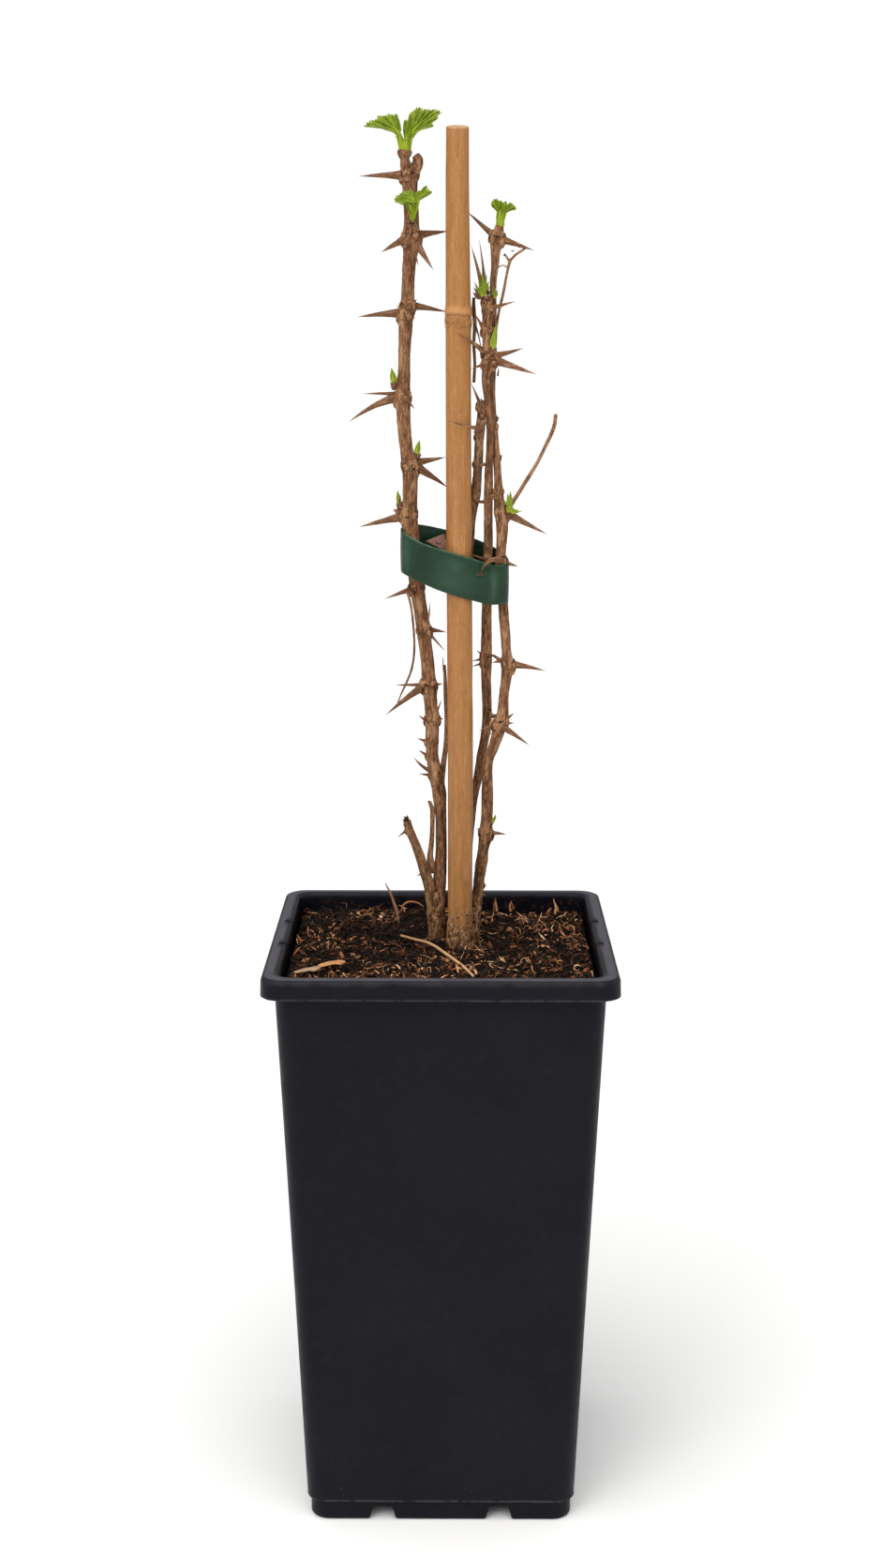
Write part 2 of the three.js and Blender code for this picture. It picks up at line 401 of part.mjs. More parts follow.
// ---------------------------------------------------------------- pot
const potShape = (() => {
  const top = POT_HEIGHT;
  const skirt = top - RIM_SKIRT;
  const innerTop = RIM_OPENING_HALF;
  const rows = [
    [0, 0, FLOOR_UNDER],
    [FOOT_HALF - 1.6, BODY_CORNER - 1.6, FLOOR_UNDER],
    [FOOT_HALF - 1.6, BODY_CORNER - 1.6, 0.3],
    [FOOT_HALF - 1.3, BODY_CORNER - 1.3, 0],
    [FOOT_HALF - 0.4, BODY_CORNER - 0.4, 0],
    [FOOT_HALF, BODY_CORNER, 0.5],
    [FOOT_HALF, BODY_CORNER, FOOT_HEIGHT],
    [BODY_FOOT_HALF, BODY_CORNER, FOOT_HEIGHT + 0.4],
    [BODY_TOP_HALF, BODY_CORNER, skirt],
    [BODY_TOP_HALF + 0.2, BODY_CORNER, top - 1.5],
    [RIM_HALF - 1.4, RIM_CORNER - 1.4, top - 1.5],
    [RIM_HALF - 1.4, RIM_CORNER - 1.4, skirt + 0.3],
    [RIM_HALF - 1.1, RIM_CORNER - 1.1, skirt],
    [RIM_HALF - 0.3, RIM_CORNER - 0.3, skirt],
    [RIM_HALF, RIM_CORNER, skirt + 0.3],
    [RIM_HALF, RIM_CORNER, top - 1.4],
    [RIM_HALF - 0.4, RIM_CORNER - 0.4, top - 0.4],
    [RIM_HALF - 1.3, RIM_CORNER - 1.3, top],
    [innerTop + 1.1, BODY_CORNER - 0.4, top],
    [innerTop + 0.3, BODY_CORNER - 0.9, top - 0.4],
    [innerTop, BODY_CORNER - 1.2, top - 1.1],
    [BODY_TOP_HALF - WALL, BODY_CORNER - WALL, skirt],
    [BODY_FOOT_HALF - WALL + 0.1, BODY_CORNER - WALL, FOOT_HEIGHT + 2.6],
    [BODY_FOOT_HALF - WALL - 2.4, BODY_CORNER - WALL - 1.6, FLOOR_TOP],
    [0, 0, FLOOR_TOP],
  ];
  let s = solid(squareLathe(rows));
  // drainage notches through the foot ring, front to back and side to side
  const outline = new THREE.Shape([
    new THREE.Vector2(-NOTCH_FOOT_WIDTH / 2, -1),
    new THREE.Vector2(NOTCH_FOOT_WIDTH / 2, -1),
    new THREE.Vector2(NOTCH_TOP_WIDTH / 2 + 0.6, NOTCH_TOP - 1.4),
    new THREE.Vector2(NOTCH_TOP_WIDTH / 2, NOTCH_TOP),
    new THREE.Vector2(-NOTCH_TOP_WIDTH / 2, NOTCH_TOP),
    new THREE.Vector2(-NOTCH_TOP_WIDTH / 2 - 0.6, NOTCH_TOP - 1.4),
  ]);
  for (const at of [-NOTCH_AT, NOTCH_AT]) {
    const long = new THREE.ExtrudeGeometry(outline, { depth: 120, bevelEnabled: false });
    long.translate(0, 0, -60).rotateX(Math.PI / 2);
    s = s.subtract(solid(long.clone().translate(at, 0, 0)));
    s = s.subtract(solid(long.clone().rotateZ(Math.PI / 2).translate(0, at, 0)));
  }
  for (const side of [-1, 1])
    for (const at of [-SLIT_AT, SLIT_AT]) {
      const slit = new THREE.BoxGeometry(SLIT_DEPTH + 3, SLIT_WIDTH, SLIT_HEIGHT);
      slit.translate(side * (RIM_OPENING_HALF - 1.5 + SLIT_DEPTH / 2), at, POT_HEIGHT + 0.5 - SLIT_HEIGHT / 2);
      s = s.subtract(solid(slit));
    }
  for (const [x, y] of [[0, 0], [DRAIN_AT, DRAIN_AT], [-DRAIN_AT, DRAIN_AT], [-DRAIN_AT, -DRAIN_AT], [DRAIN_AT, -DRAIN_AT]]) {
    const hole = new THREE.CylinderGeometry(DRAIN_RADIUS, DRAIN_RADIUS, 4, 12);
    hole.rotateX(Math.PI / 2).translate(x, y, (FLOOR_TOP + FLOOR_UNDER) / 2);
    s = s.subtract(solid(hole));
  }
  return s;
})();
add("pot", geometryFrom(potShape), plasticBlack);

// ---------------------------------------------------------------- cane
const caneTop = (() => {
  const above = new THREE.BoxGeometry(20, 20, 8);
  above.translate(0, 0, 4).rotateX(CANE_CUT_TILT).translate(CANE[CANE.length - 1][0], CANE[CANE.length - 1][1], CANE_TOP);
  return solid(above);
})();
const caneWide = (grow) => solid(limb(CANE, 14, grow)).subtract(caneTop);
{
  const [x, y] = CANE[CANE.length - 1];
  const hole = new THREE.CylinderGeometry(CANE_HOLE_RADIUS, CANE_HOLE_RADIUS, CANE_HOLE_DEPTH * 2, 8);
  hole.rotateX(Math.PI / 2).translate(x, y, CANE_TOP);
  add("bamboo_cane", geometryFrom(caneWide(0).subtract(solid(hole))), bambooTan);
}

// ---------------------------------------------------------------- crown and roots
const crownWide = (grow) => {
  const ball = new THREE.SphereGeometry(1, 14, 9);
  ball.scale(CROWN_HALF[0] + grow, CROWN_HALF[1] + grow, CROWN_HALF[2] + grow).translate(...CROWN_MIDDLE);
  let s = solid(ball);
  // bark that clasps the foot of the cane
  s = s.add(solid(limb([[7.4, 4.1, 200, 6.6], [7.35, 4, 212, 6.3], [7.3, 4, 220, 5.9], [7.3, 4, 229, 5.45]], 14, grow)));
  for (const r of ROOTS) s = s.add(solid(limb(r, 6, grow)));
  return s;
};
const stemFeet = (grow) =>
  solid(limb(STEM_LEFT.slice(0, 4), 10, grow))
    .add(solid(limb(STEM_RIGHT_OUTER.slice(0, 4), 8, grow)))
    .add(solid(limb(STEM_RIGHT_MID.slice(0, 3), 8, grow)))
    .add(solid(limb(STEM_RIGHT_INNER.slice(0, 3), 8, grow)))
    .add(solid(limb(STUB_LEFT.slice(0, 3), 8, grow)));
const cutByCrown = crownWide(GAP);
const crown = crownWide(0).subtract(caneWide(GAP));
add("root_crown", geometryFrom(crown), barkBrown);

// ---------------------------------------------------------------- compost
{
  const t = COMPOST_TOP;
  const rows = [
    [0, 0, FLOOR_TOP + 0.4],
    [46.4, 4, FLOOR_TOP + 0.4],
    [BODY_FOOT_HALF - WALL - 0.5, 5.6, FOOT_HEIGHT + 3],
    [BODY_TOP_HALF - WALL - 0.6, 5.6, COMPOST_EDGE - 0.6],
    [BODY_TOP_HALF - WALL - 1.6, 5, COMPOST_EDGE],
    [40, 10, (COMPOST_EDGE + t) / 2 + 0.2],
    [20, 8, t],
    [0, 0, t],
  ];
  const s = solid(squareLathe(rows)).subtract(cutByCrown).subtract(caneWide(GAP)).subtract(stemFeet(GAP)).subtract(solid(limb(STICK, 6, GAP)));
  add("compost", geometryFrom(s), peat);
}

// ---------------------------------------------------------------- stems
function stemOf(rows, thorns, sides, extras = []) {
  let s = solid(limb(rows, sides));
  for (const e of extras) s = s.add(solid(limb(e, 7)));
  for (const t of thorns) s = s.add(solid(thornOf(t)));
  return s;
}
const wide = (rows, sides, grow = GAP) => solid(limb(rows, sides, grow));
const leftStem = stemOf(STEM_LEFT, THORNS_LEFT, 9, [PRONG_LEFT, PRONG_RIGHT]).subtract(cutByCrown);
add("stem_left", geometryFrom(leftStem), barkBrown);
const leftWide = wide(STEM_LEFT, 9);
const stub = stemOf(STUB_LEFT, THORNS_STUB, 8).subtract(leftWide).subtract(cutByCrown);
add("stem_left_stub", geometryFrom(stub), barkBrown);
add("stem_left_side_shoot", geometryFrom(solid(limb(SIDE_SHOOT_LEFT, 7)).subtract(leftWide).subtract(wide(STUB_LEFT, 8))), barkPale);
add("stem_left_inner", geometryFrom(solid(limb(INNER_LEFT, 7)).subtract(leftWide).subtract(caneWide(GAP))), barkPale);
const outer = stemOf(STEM_RIGHT_OUTER, THORNS_RIGHT_OUTER, 8);
const mid = stemOf(STEM_RIGHT_MID, THORNS_RIGHT_MID, 8);
const inner = stemOf(STEM_RIGHT_INNER, THORNS_RIGHT_INNER, 8);
const outerWide = wide(STEM_RIGHT_OUTER, 8);
const midWide = wide(STEM_RIGHT_MID, 8);
const clearOf = [cutByCrown, caneWide(GAP)];
const cut = (s, list) => list.reduce((a, b) => a.subtract(b), s);
const biggest = (s) => s.decompose().reduce((a, b) => (b.volume() > a.volume() ? b : a));
add("stem_right_outer", geometryFrom(biggest(cut(outer, clearOf))), barkBrown);
add("stem_right_mid", geometryFrom(biggest(cut(mid, [...clearOf, outerWide]))), barkBrown);
add("stem_right_inner", geometryFrom(biggest(cut(inner, [...clearOf, midWide, outerWide]))), barkBrown);
add("twig_right", geometryFrom(biggest(cut(wide(TWIG_RIGHT, 6, 0), [outerWide, ...THORNS_RIGHT_OUTER.map((t) => solid(thornOf({ ...t, r: t.r + GAP })))]))), barkPale);
{
  const s = wide(TWIG_TOP, 6, 0).add(wide(TWIG_TOP_FORK_RIGHT, 6, 0)).add(wide(TWIG_TOP_FORK_LEFT, 6, 0));
  add("twig_right_top", geometryFrom(biggest(cut(s, [outerWide, midWide]))), barkPale);
}
add("twig_right_dry", geometryFrom(biggest(cut(wide(DRY_TWIG, 6, 0), [caneWide(GAP), midWide]))), barkBrown);
add("twig_left_hanging", geometryFrom(biggest(cut(wide(HANGING_TWIG, 6, 0), [leftWide, ...THORNS_LEFT.map((t) => solid(thornOf({ ...t, r: t.r + GAP })))]))), barkBrown);

// ---------------------------------------------------------------- band
{
  const curve = new THREE.CatmullRomCurve3(BAND_PLAN.map(([x, y]) => new THREE.Vector3(x, y, 0)), true);
  const n = 40;
  const points = [];
  const tris = [];
  for (let i = 0; i < n; i++) {
    const p = curve.getPointAt(i / n);
    const t = curve.getTangentAt(i / n);
    const out = new THREE.Vector3(t.y, -t.x, 0).normalize(); // the loop runs anticlockwise seen from above
    for (const [side, up] of [[-1, -1], [1, -1], [1, 1], [-1, 1]]) {
      const x = p.x + (side * out.x * BAND_THICK) / 2;
      const y = p.y + (side * out.y * BAND_THICK) / 2;
      points.push([x, y, BAND_MIDDLE_Z + BAND_FALL_X * p.x + BAND_RISE_Y * p.y + (up * BAND_HEIGHT) / 2]);
    }
  }
  for (let i = 0; i < n; i++)
    for (let k = 0; k < 4; k++) {
      const a = i * 4 + k;
      const b = i * 4 + ((k + 1) % 4);
      const c = ((i + 1) % n) * 4 + k;
      const d = ((i + 1) % n) * 4 + ((k + 1) % 4);
      tris.push([a, c, d], [a, d, b]);
    }
  let s = solid(geometryOf(points, tris));
  if (s.volume() < 0) s = solid(geometryOf(points, tris.map(([a, b, c]) => [a, c, b])));
  for (const t of [...THORNS_RIGHT_OUTER, ...THORNS_RIGHT_MID, ...THORNS_RIGHT_INNER, ...THORNS_LEFT])
    s = s.subtract(solid(limb([[...t.foot, t.r + GAP], ...(t.mid ? [[...t.mid, t.r * 0.6 + GAP]] : []), [...t.tip, GAP + 0.1]], 6)));
  s = s.subtract(leftWide).subtract(caneWide(GAP)).subtract(outerWide).subtract(midWide).subtract(wide(STEM_RIGHT_INNER, 8));
  add("tie_band", geometryFrom(biggest(s)), bandGreen);
}

// ---------------------------------------------------------------- leaves
const BLADE = [[0, 0], [0.1, 0.22], [0.3, 0.5], [0.48, 0.4], [0.6, 0.47], [0.8, 0.36], [0.84, 0.2], [1, 0.02]];
function leafOf({ foot, knee, tip, width, up }, thick = 0.8) {
  const k = V(knee);
  const along = V(tip).sub(k);
  const length = along.length();
  along.normalize();
  const u = V(up);
  u.addScaledVector(along, -u.dot(along)).normalize();
  const side = along.clone().cross(u);
  const outline = [...BLADE, ...BLADE.slice(1, -1).reverse().map(([a, b]) => [a, -b])];
  const points = [];
  const at = (a, b, h) => {
    const p = k.clone().addScaledVector(along, a * length).addScaledVector(side, b * width).addScaledVector(u, h + Math.abs(b) * width * 0.28);
    return [p.x, p.y, p.z];
  };
  for (const h of [0, thick]) {
    outline.forEach(([a, b]) => points.push(at(a, b, h)));
    points.push(at(0.45, 0, h));
  }
  const n = outline.length;
  const tris = [];
  for (let i = 0; i < n; i++) {
    const j = (i + 1) % n;
    tris.push([n, j, i], [2 * n + 1, n + 1 + i, n + 1 + j], [i, j, n + 1 + j], [i, n + 1 + j, n + 1 + i]);
  }
  let blade = geometryOf(points, tris);
  let s = solid(blade);
  if (s.volume() < 0) s = solid(geometryOf(points, tris.map(([a, b, c]) => [a, c, b])));
  const f = V(foot);
  const inside = k.clone().addScaledVector(along, length * 0.25).addScaledVector(u, thick / 2);
  return s.add(solid(limb([[f.x, f.y, f.z, 0.7], [k.x, k.y, k.z + 0.1, 0.6], [inside.x, inside.y, inside.z, 0.35]], 6)));
}
const soFar = [];
for (const leaf of LEAVES) {
  let s = leafOf(leaf).subtract(leaf.name.includes("right") ? outerWide : leftWide);
  for (const p of [PRONG_LEFT, PRONG_RIGHT]) s = s.subtract(wide(p, 7));
  for (const other of soFar) s = s.subtract(other);
  s = biggest(s);
  add(leaf.name, geometryFrom(s), leafGreen);
  soFar.push(leafOf({ ...leaf, width: leaf.width + 0.6 }, 1.4));
}

// ---------------------------------------------------------------- buds
const everyThorn = [...THORNS_LEFT, ...THORNS_RIGHT_OUTER, ...THORNS_RIGHT_MID, ...THORNS_RIGHT_INNER];
for (const b of BUDS) {
  const f = V(b.foot);
  const t = V(b.tip);
  const row = (k, r) => {
    const p = f.clone().lerp(t, k);
    return [p.x, p.y, p.z, r * b.r];
  };
  let s = solid(limb([row(0, 0.55), row(0.22, 1), row(0.55, 0.85), row(0.85, 0.4), row(1, 0.12)], 7));
  s = cut(s, [leftWide, outerWide, midWide, caneWide(GAP)]);
  for (const th of everyThorn)
    if (V(th.foot).distanceTo(f) < 16) s = s.subtract(solid(thornOf({ ...th, r: th.r + GAP })));
  add(b.name, geometryFrom(biggest(cut(s, [wide(TWIG_TOP, 6), wide(TWIG_RIGHT, 6)]))), budGreen);
}

// ---------------------------------------------------------------- loose bits
add("stick_upright", geometryFrom(solid(limb(STICK, 6))), strawTan);
add("straw", geometryFrom(biggest(cut(solid(limb(STRAW, 6)), [wide(STEM_LEFT, 9), caneWide(GAP), cutByCrown]))), strawTan);
{
  const chip = (x, y, z, l, w, h, turn) => {
    const g = new THREE.SphereGeometry(1, 8, 5);
    g.scale(l / 2, w / 2, h / 2).rotateZ(turn).translate(x, y, z);
    return g;
  };
  add("bark_chip", chip(-41.2, -26.6, 215.6, 11, 5, 2.6, 0.5), chipTan);
  add("wood_chip", chip(-50, -34, 215.4, 10, 4.6, 2.4, 0.35), chipTan);
  // a dry leaf scrap caught between the band and the cane
  const scrap = new THREE.Shape([
    new THREE.Vector2(-4.6, 3.4),
    new THREE.Vector2(0.6, 5.4),
    new THREE.Vector2(1.6, 1),
    new THREE.Vector2(1.2, -3.6),
    new THREE.Vector2(-1.6, -0.6),
  ]);
  const g = new THREE.ExtrudeGeometry(scrap, { depth: 0.5, bevelEnabled: false });
  g.rotateX(Math.PI / 2).rotateZ(-0.35).translate(-1.2, 6, 370);
  add("dry_leaf_scrap", g, dryLeaf);
}

export default bush;
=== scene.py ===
# Looks for the potted gooseberry bush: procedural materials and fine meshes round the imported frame.
import bpy
import math
import numpy as np
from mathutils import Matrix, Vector


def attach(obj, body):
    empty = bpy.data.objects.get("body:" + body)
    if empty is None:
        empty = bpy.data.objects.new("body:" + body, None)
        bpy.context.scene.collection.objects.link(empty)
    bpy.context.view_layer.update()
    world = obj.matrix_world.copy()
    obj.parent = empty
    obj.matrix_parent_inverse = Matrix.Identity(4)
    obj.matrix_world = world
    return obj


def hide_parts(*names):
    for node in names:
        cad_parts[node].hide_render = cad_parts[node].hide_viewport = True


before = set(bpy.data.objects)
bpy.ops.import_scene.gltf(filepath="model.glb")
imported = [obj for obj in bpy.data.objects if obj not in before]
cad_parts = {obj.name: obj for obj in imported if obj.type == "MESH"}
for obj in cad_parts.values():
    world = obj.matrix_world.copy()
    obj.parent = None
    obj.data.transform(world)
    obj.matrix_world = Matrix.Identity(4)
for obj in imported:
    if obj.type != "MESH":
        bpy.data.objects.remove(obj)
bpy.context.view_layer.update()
MM = 0.001
rng = np.random.default_rng(20)

# ------------------------------------------------------------------ camera
cam_data = bpy.data.cameras.new("camera")
cam_data.lens = 47.34
cam_data.sensor_width = 36
cam_data.sensor_fit = "AUTO"
cam_data.clip_start = 0.01
cam_data.dof.use_dof = False
cam = bpy.data.objects.new("camera", cam_data)
cam.location = (0.00467, -0.7725, 0.4411)
cam.rotation_euler = (math.radians(90 - 11.8), 0, math.radians(0.36))
bpy.context.scene.collection.objects.link(cam)
bpy.context.scene.camera = cam

# ------------------------------------------------------------------ skeleton, millimetres: [x, y, z, radius]
STEM_LEFT = [[-0.2, 12.4, 203.5, 2.7], [-1.18, 11.36, 210.73, 2.69], [-1.18, 11, 214.68, 2.68], [-1.1, 10.5, 232.02, 2.58], [-0.62, 10.22, 241.58, 2.57], [-0.14, 9.93, 251.27, 2.2], [-0.43, 9.5, 265.81, 2.19], [-0.97, 9.24, 275.18, 2.64], [-2.78, 9, 283.75, 2.45], [-3.57, 8.84, 289.32, 2.26], [-3.67, 8.61, 297.46, 2.58], [-4.02, 8.3, 308.49, 2.52], [-4.97, 8, 319.09, 2.6], [-5.81, 7.65, 329.63, 2.54], [-7.64, 7.2, 342.99, 2.53], [-9.28, 6.81, 354.45, 2.66], [-10.45, 6.44, 365.12, 2.74], [-11.27, 6.05, 374.32, 2.91], [-11.87, 5.69, 382.77, 2.64], [-11.78, 5.11, 396.4, 2.72], [-13.14, 5, 406.44, 2.45], [-14.02, 5, 416.43, 2.53], [-14.22, 5, 426.7, 2.52], [-13.92, 5.02, 434.2, 2.31], [-13.68, 5.19, 442.69, 2.28], [-13.17, 5.38, 452.48, 2.59], [-12.45, 5.58, 462.57, 2.41], [-11.94, 5.77, 472.28, 2.41], [-11.23, 5.92, 479.61, 2.66], [-11, 6.18, 489.57, 2.65], [-11.49, 6.47, 499.15, 2.65], [-11.34, 6.62, 504.09, 2.9], [-10.45, 6.74, 508.04, 2.9]]
STUB_LEFT = [[-3.37, 9.5, 225.43, 2.03], [-4.28, 8.5, 233.31, 2.11], [-5.36, 7.5, 239.24, 2.1], [-6.8, 6.5, 244.4, 2.01], [-8.41, 5.5, 249.9, 1.82], [-10.2, 4.5, 255, 1.67], [-11.8, 3.5, 259.34, 1.56], [-12.97, 2.8, 262.85, 1.52], [-13.29, 2.5, 264.77, 1.45]]
SIDE_SHOOT_LEFT = [[-3.72, 8.6, 242.74, 1.56], [-4.22, 8, 246.28, 1.55], [-4.5, 7.5, 249.42, 1.24], [-3.98, 7, 254.42, 0.98], [-3.68, 6.6, 259, 0.91], [-3.56, 6.2, 265.8, 0.91], [-3.59, 6, 268.45, 0.91], [-4.64, 5.6, 271.5, 0.65]]
INNER_LEFT = [[-0.43, 10.5, 275.28, 1.46], [0.11, 11, 280.39, 1.27], [0.83, 11.5, 286.22, 1.09], [1.52, 11.8, 291.71, 0.98], [1.92, 12, 297.95, 0.91], [1.8, 12, 305.3, 0.83], [1.47, 12, 312.63, 0.76], [1.33, 12, 318.47, 0.69], [1.15, 12, 323.93, 0.5]]
HANGING_TWIG = [[-12.9, 3.2, 353.08, 0.53], [-11.62, 2.4, 348.21, 0.46], [-10.88, 1.8, 342.95, 0.46], [-10.36, 1.4, 335.88, 0.46], [-10.38, 1.2, 329.84, 0.46], [-11.38, 0.8, 323.8, 0.44], [-13.16, 0.5, 319.18, 0.43], [-14.95, 0.2, 315.27, 0.39], [-16.63, 0, 311.33, 0.28]]
STEM_RIGHT_OUTER = [[10.6, 13.2, 205, 1.9], [11.6, 12.76, 213.81, 1.78], [12.62, 12.54, 219.64, 1.81], [13.58, 11.94, 226.7, 1.88], [14.39, 11, 236.47, 2.02], [15.58, 10.04, 246.56, 2.38], [16.18, 9.56, 251.58, 2.1], [17.1, 9, 257.34, 2.55], [17.58, 7.52, 266.28, 2.18], [17.67, 6.47, 275.79, 2.17], [17.96, 5.5, 287.43, 1.75], [20.11, 4.97, 293.77, 1.98], [22.93, 4.59, 303.34, 2.24], [23.9, 4.84, 314.19, 1.88], [25.06, 5.18, 324.98, 2.14], [24.71, 5.4, 329.98, 1.84], [23.71, 6, 343.16, 1.85], [22.86, 6, 354.91, 1.77], [22.34, 6, 365.89, 1.77], [22.8, 6.3, 377.13, 2.2], [21.6, 6.6, 385.87, 1.94], [21.03, 7.59, 396.27, 1.41], [20.29, 8.54, 406.3, 1.3], [19.42, 9.5, 416.29, 1.19], [18.85, 9.93, 426.61, 1.15], [19.02, 10.25, 434.16, 1.15], [19.08, 10.5, 443.38, 1.22], [19.09, 10.5, 455.27, 1.25], [19.03, 10.49, 467.42, 1.26], [19.62, 10.39, 472.45, 1.38], [19.77, 10.28, 477.47, 1.73], [20.26, 10.19, 481.81, 2.33], [20.93, 10.12, 484.81, 1.72], [21.33, 10.06, 487.47, 1.38]]
STEM_RIGHT_MID = [[8.2, 15.6, 204.5, 1.9], [9.2, 14, 212.68, 1.76], [9.34, 13.71, 230.03, 1.76], [10.21, 13.36, 249.13, 1.75], [11.45, 13.09, 263.52, 1.65], [12.81, 12.77, 273.33, 1.64], [14.13, 12.47, 280.1, 1.68], [15.19, 12.21, 287.58, 1.67], [16.33, 12.01, 293.54, 1.74], [17.31, 11.79, 299.85, 1.9], [17.45, 11.5, 307.97, 1.86], [17.11, 11.19, 318.62, 1.86], [17.18, 10.94, 327.37, 2.16], [17.1, 10.5, 342.59, 1.93], [17.32, 9.99, 356.25, 1.78], [17.6, 9.5, 369.09, 1.7], [17.54, 8.49, 380.11, 1.7], [17.61, 7, 396.3, 1.62], [17.86, 6.56, 402.23, 1.37], [17.9, 5.81, 412.28, 1.22], [17.18, 5, 422.95, 1.25], [16.26, 4.49, 431.49, 1.39], [17.6, 4, 439.64, 2.33], [16.8, 4, 448.08, 1.9], [16.77, 4.18, 455.49, 1.81], [16.75, 4.29, 459.52, 1.5]]
STEM_RIGHT_INNER = [[6.6, 16.4, 205, 1.8], [6.2, 15.6, 232, 1.75], [6.6, 14.6, 270, 1.7], [8, 13.6, 310, 1.65], [9.6, 12.6, 340, 1.62], [10.43, 10.8, 363.29, 1.6], [11.09, 10, 377.53, 1.59], [11.95, 9.33, 384.62, 1.66], [12.74, 8.92, 388.85, 1.94], [13.34, 8.09, 396.24, 1.65], [13.74, 7.5, 401.49, 1.72], [14.27, 6.13, 412.27, 1.68], [14.74, 6.13, 418.12, 1.57], [14.93, 6.26, 422.92, 1.64]]
DRY_TWIG = [[11.97, 8.5, 430.41, 0.63], [12.3, 8.8, 437.24, 0.59], [11.92, 9, 445.07, 0.63], [12.25, 9, 451.86, 0.73], [11.82, 9, 456.93, 0.8], [11.87, 9, 460.98, 0.52]]
TWIG_RIGHT = [[24.75, 5.6, 383.49, 0.88], [26.31, 5.2, 385.97, 0.81], [29.41, 4.4, 390.9, 0.74], [32.83, 3.6, 396.5, 0.73], [36.07, 3, 402.07, 0.7], [38.85, 2.4, 407.95, 0.7], [40.63, 2, 411.74, 0.73], [41.8, 1.8, 415.17, 0.76], [42.26, 1.6, 419.28, 0.69]]
TWIG_TOP = [[19.26, 9.3, 439.63, 0.59], [19.74, 8.7, 445.07, 0.56], [20.38, 8, 451.17, 0.52], [21.04, 7.6, 455.55, 0.52], [22.71, 7, 462.94, 0.52], [23.96, 6.4, 469.62, 0.48], [24.89, 6, 473.61, 0.58], [25.53, 5.8, 475.1, 0.51]]
PRONG_LEFT = [[-11.48, 6.64, 504.75, 2.22], [-12.66, 6.77, 509.02, 2.38], [-13.23, 6.9, 513.29, 2.42]]
PRONG_RIGHT = [[-10.8, 6.66, 505.41, 2.05], [-9.42, 6.77, 509.02, 1.79], [-8.74, 6.86, 511.81, 1.7]]
TWIG_TOP_FORK_RIGHT = [[25.12, 5.9, 474.27, 0.48], [27.22, 5.5, 476.42, 0.45], [30.01, 5, 478.22, 0.45]]
TWIG_TOP_FORK_LEFT = [[24.95, 5.9, 473.94, 0.45], [23.99, 6.1, 475.28, 0.38], [23.47, 6.3, 476.29, 0.41]]
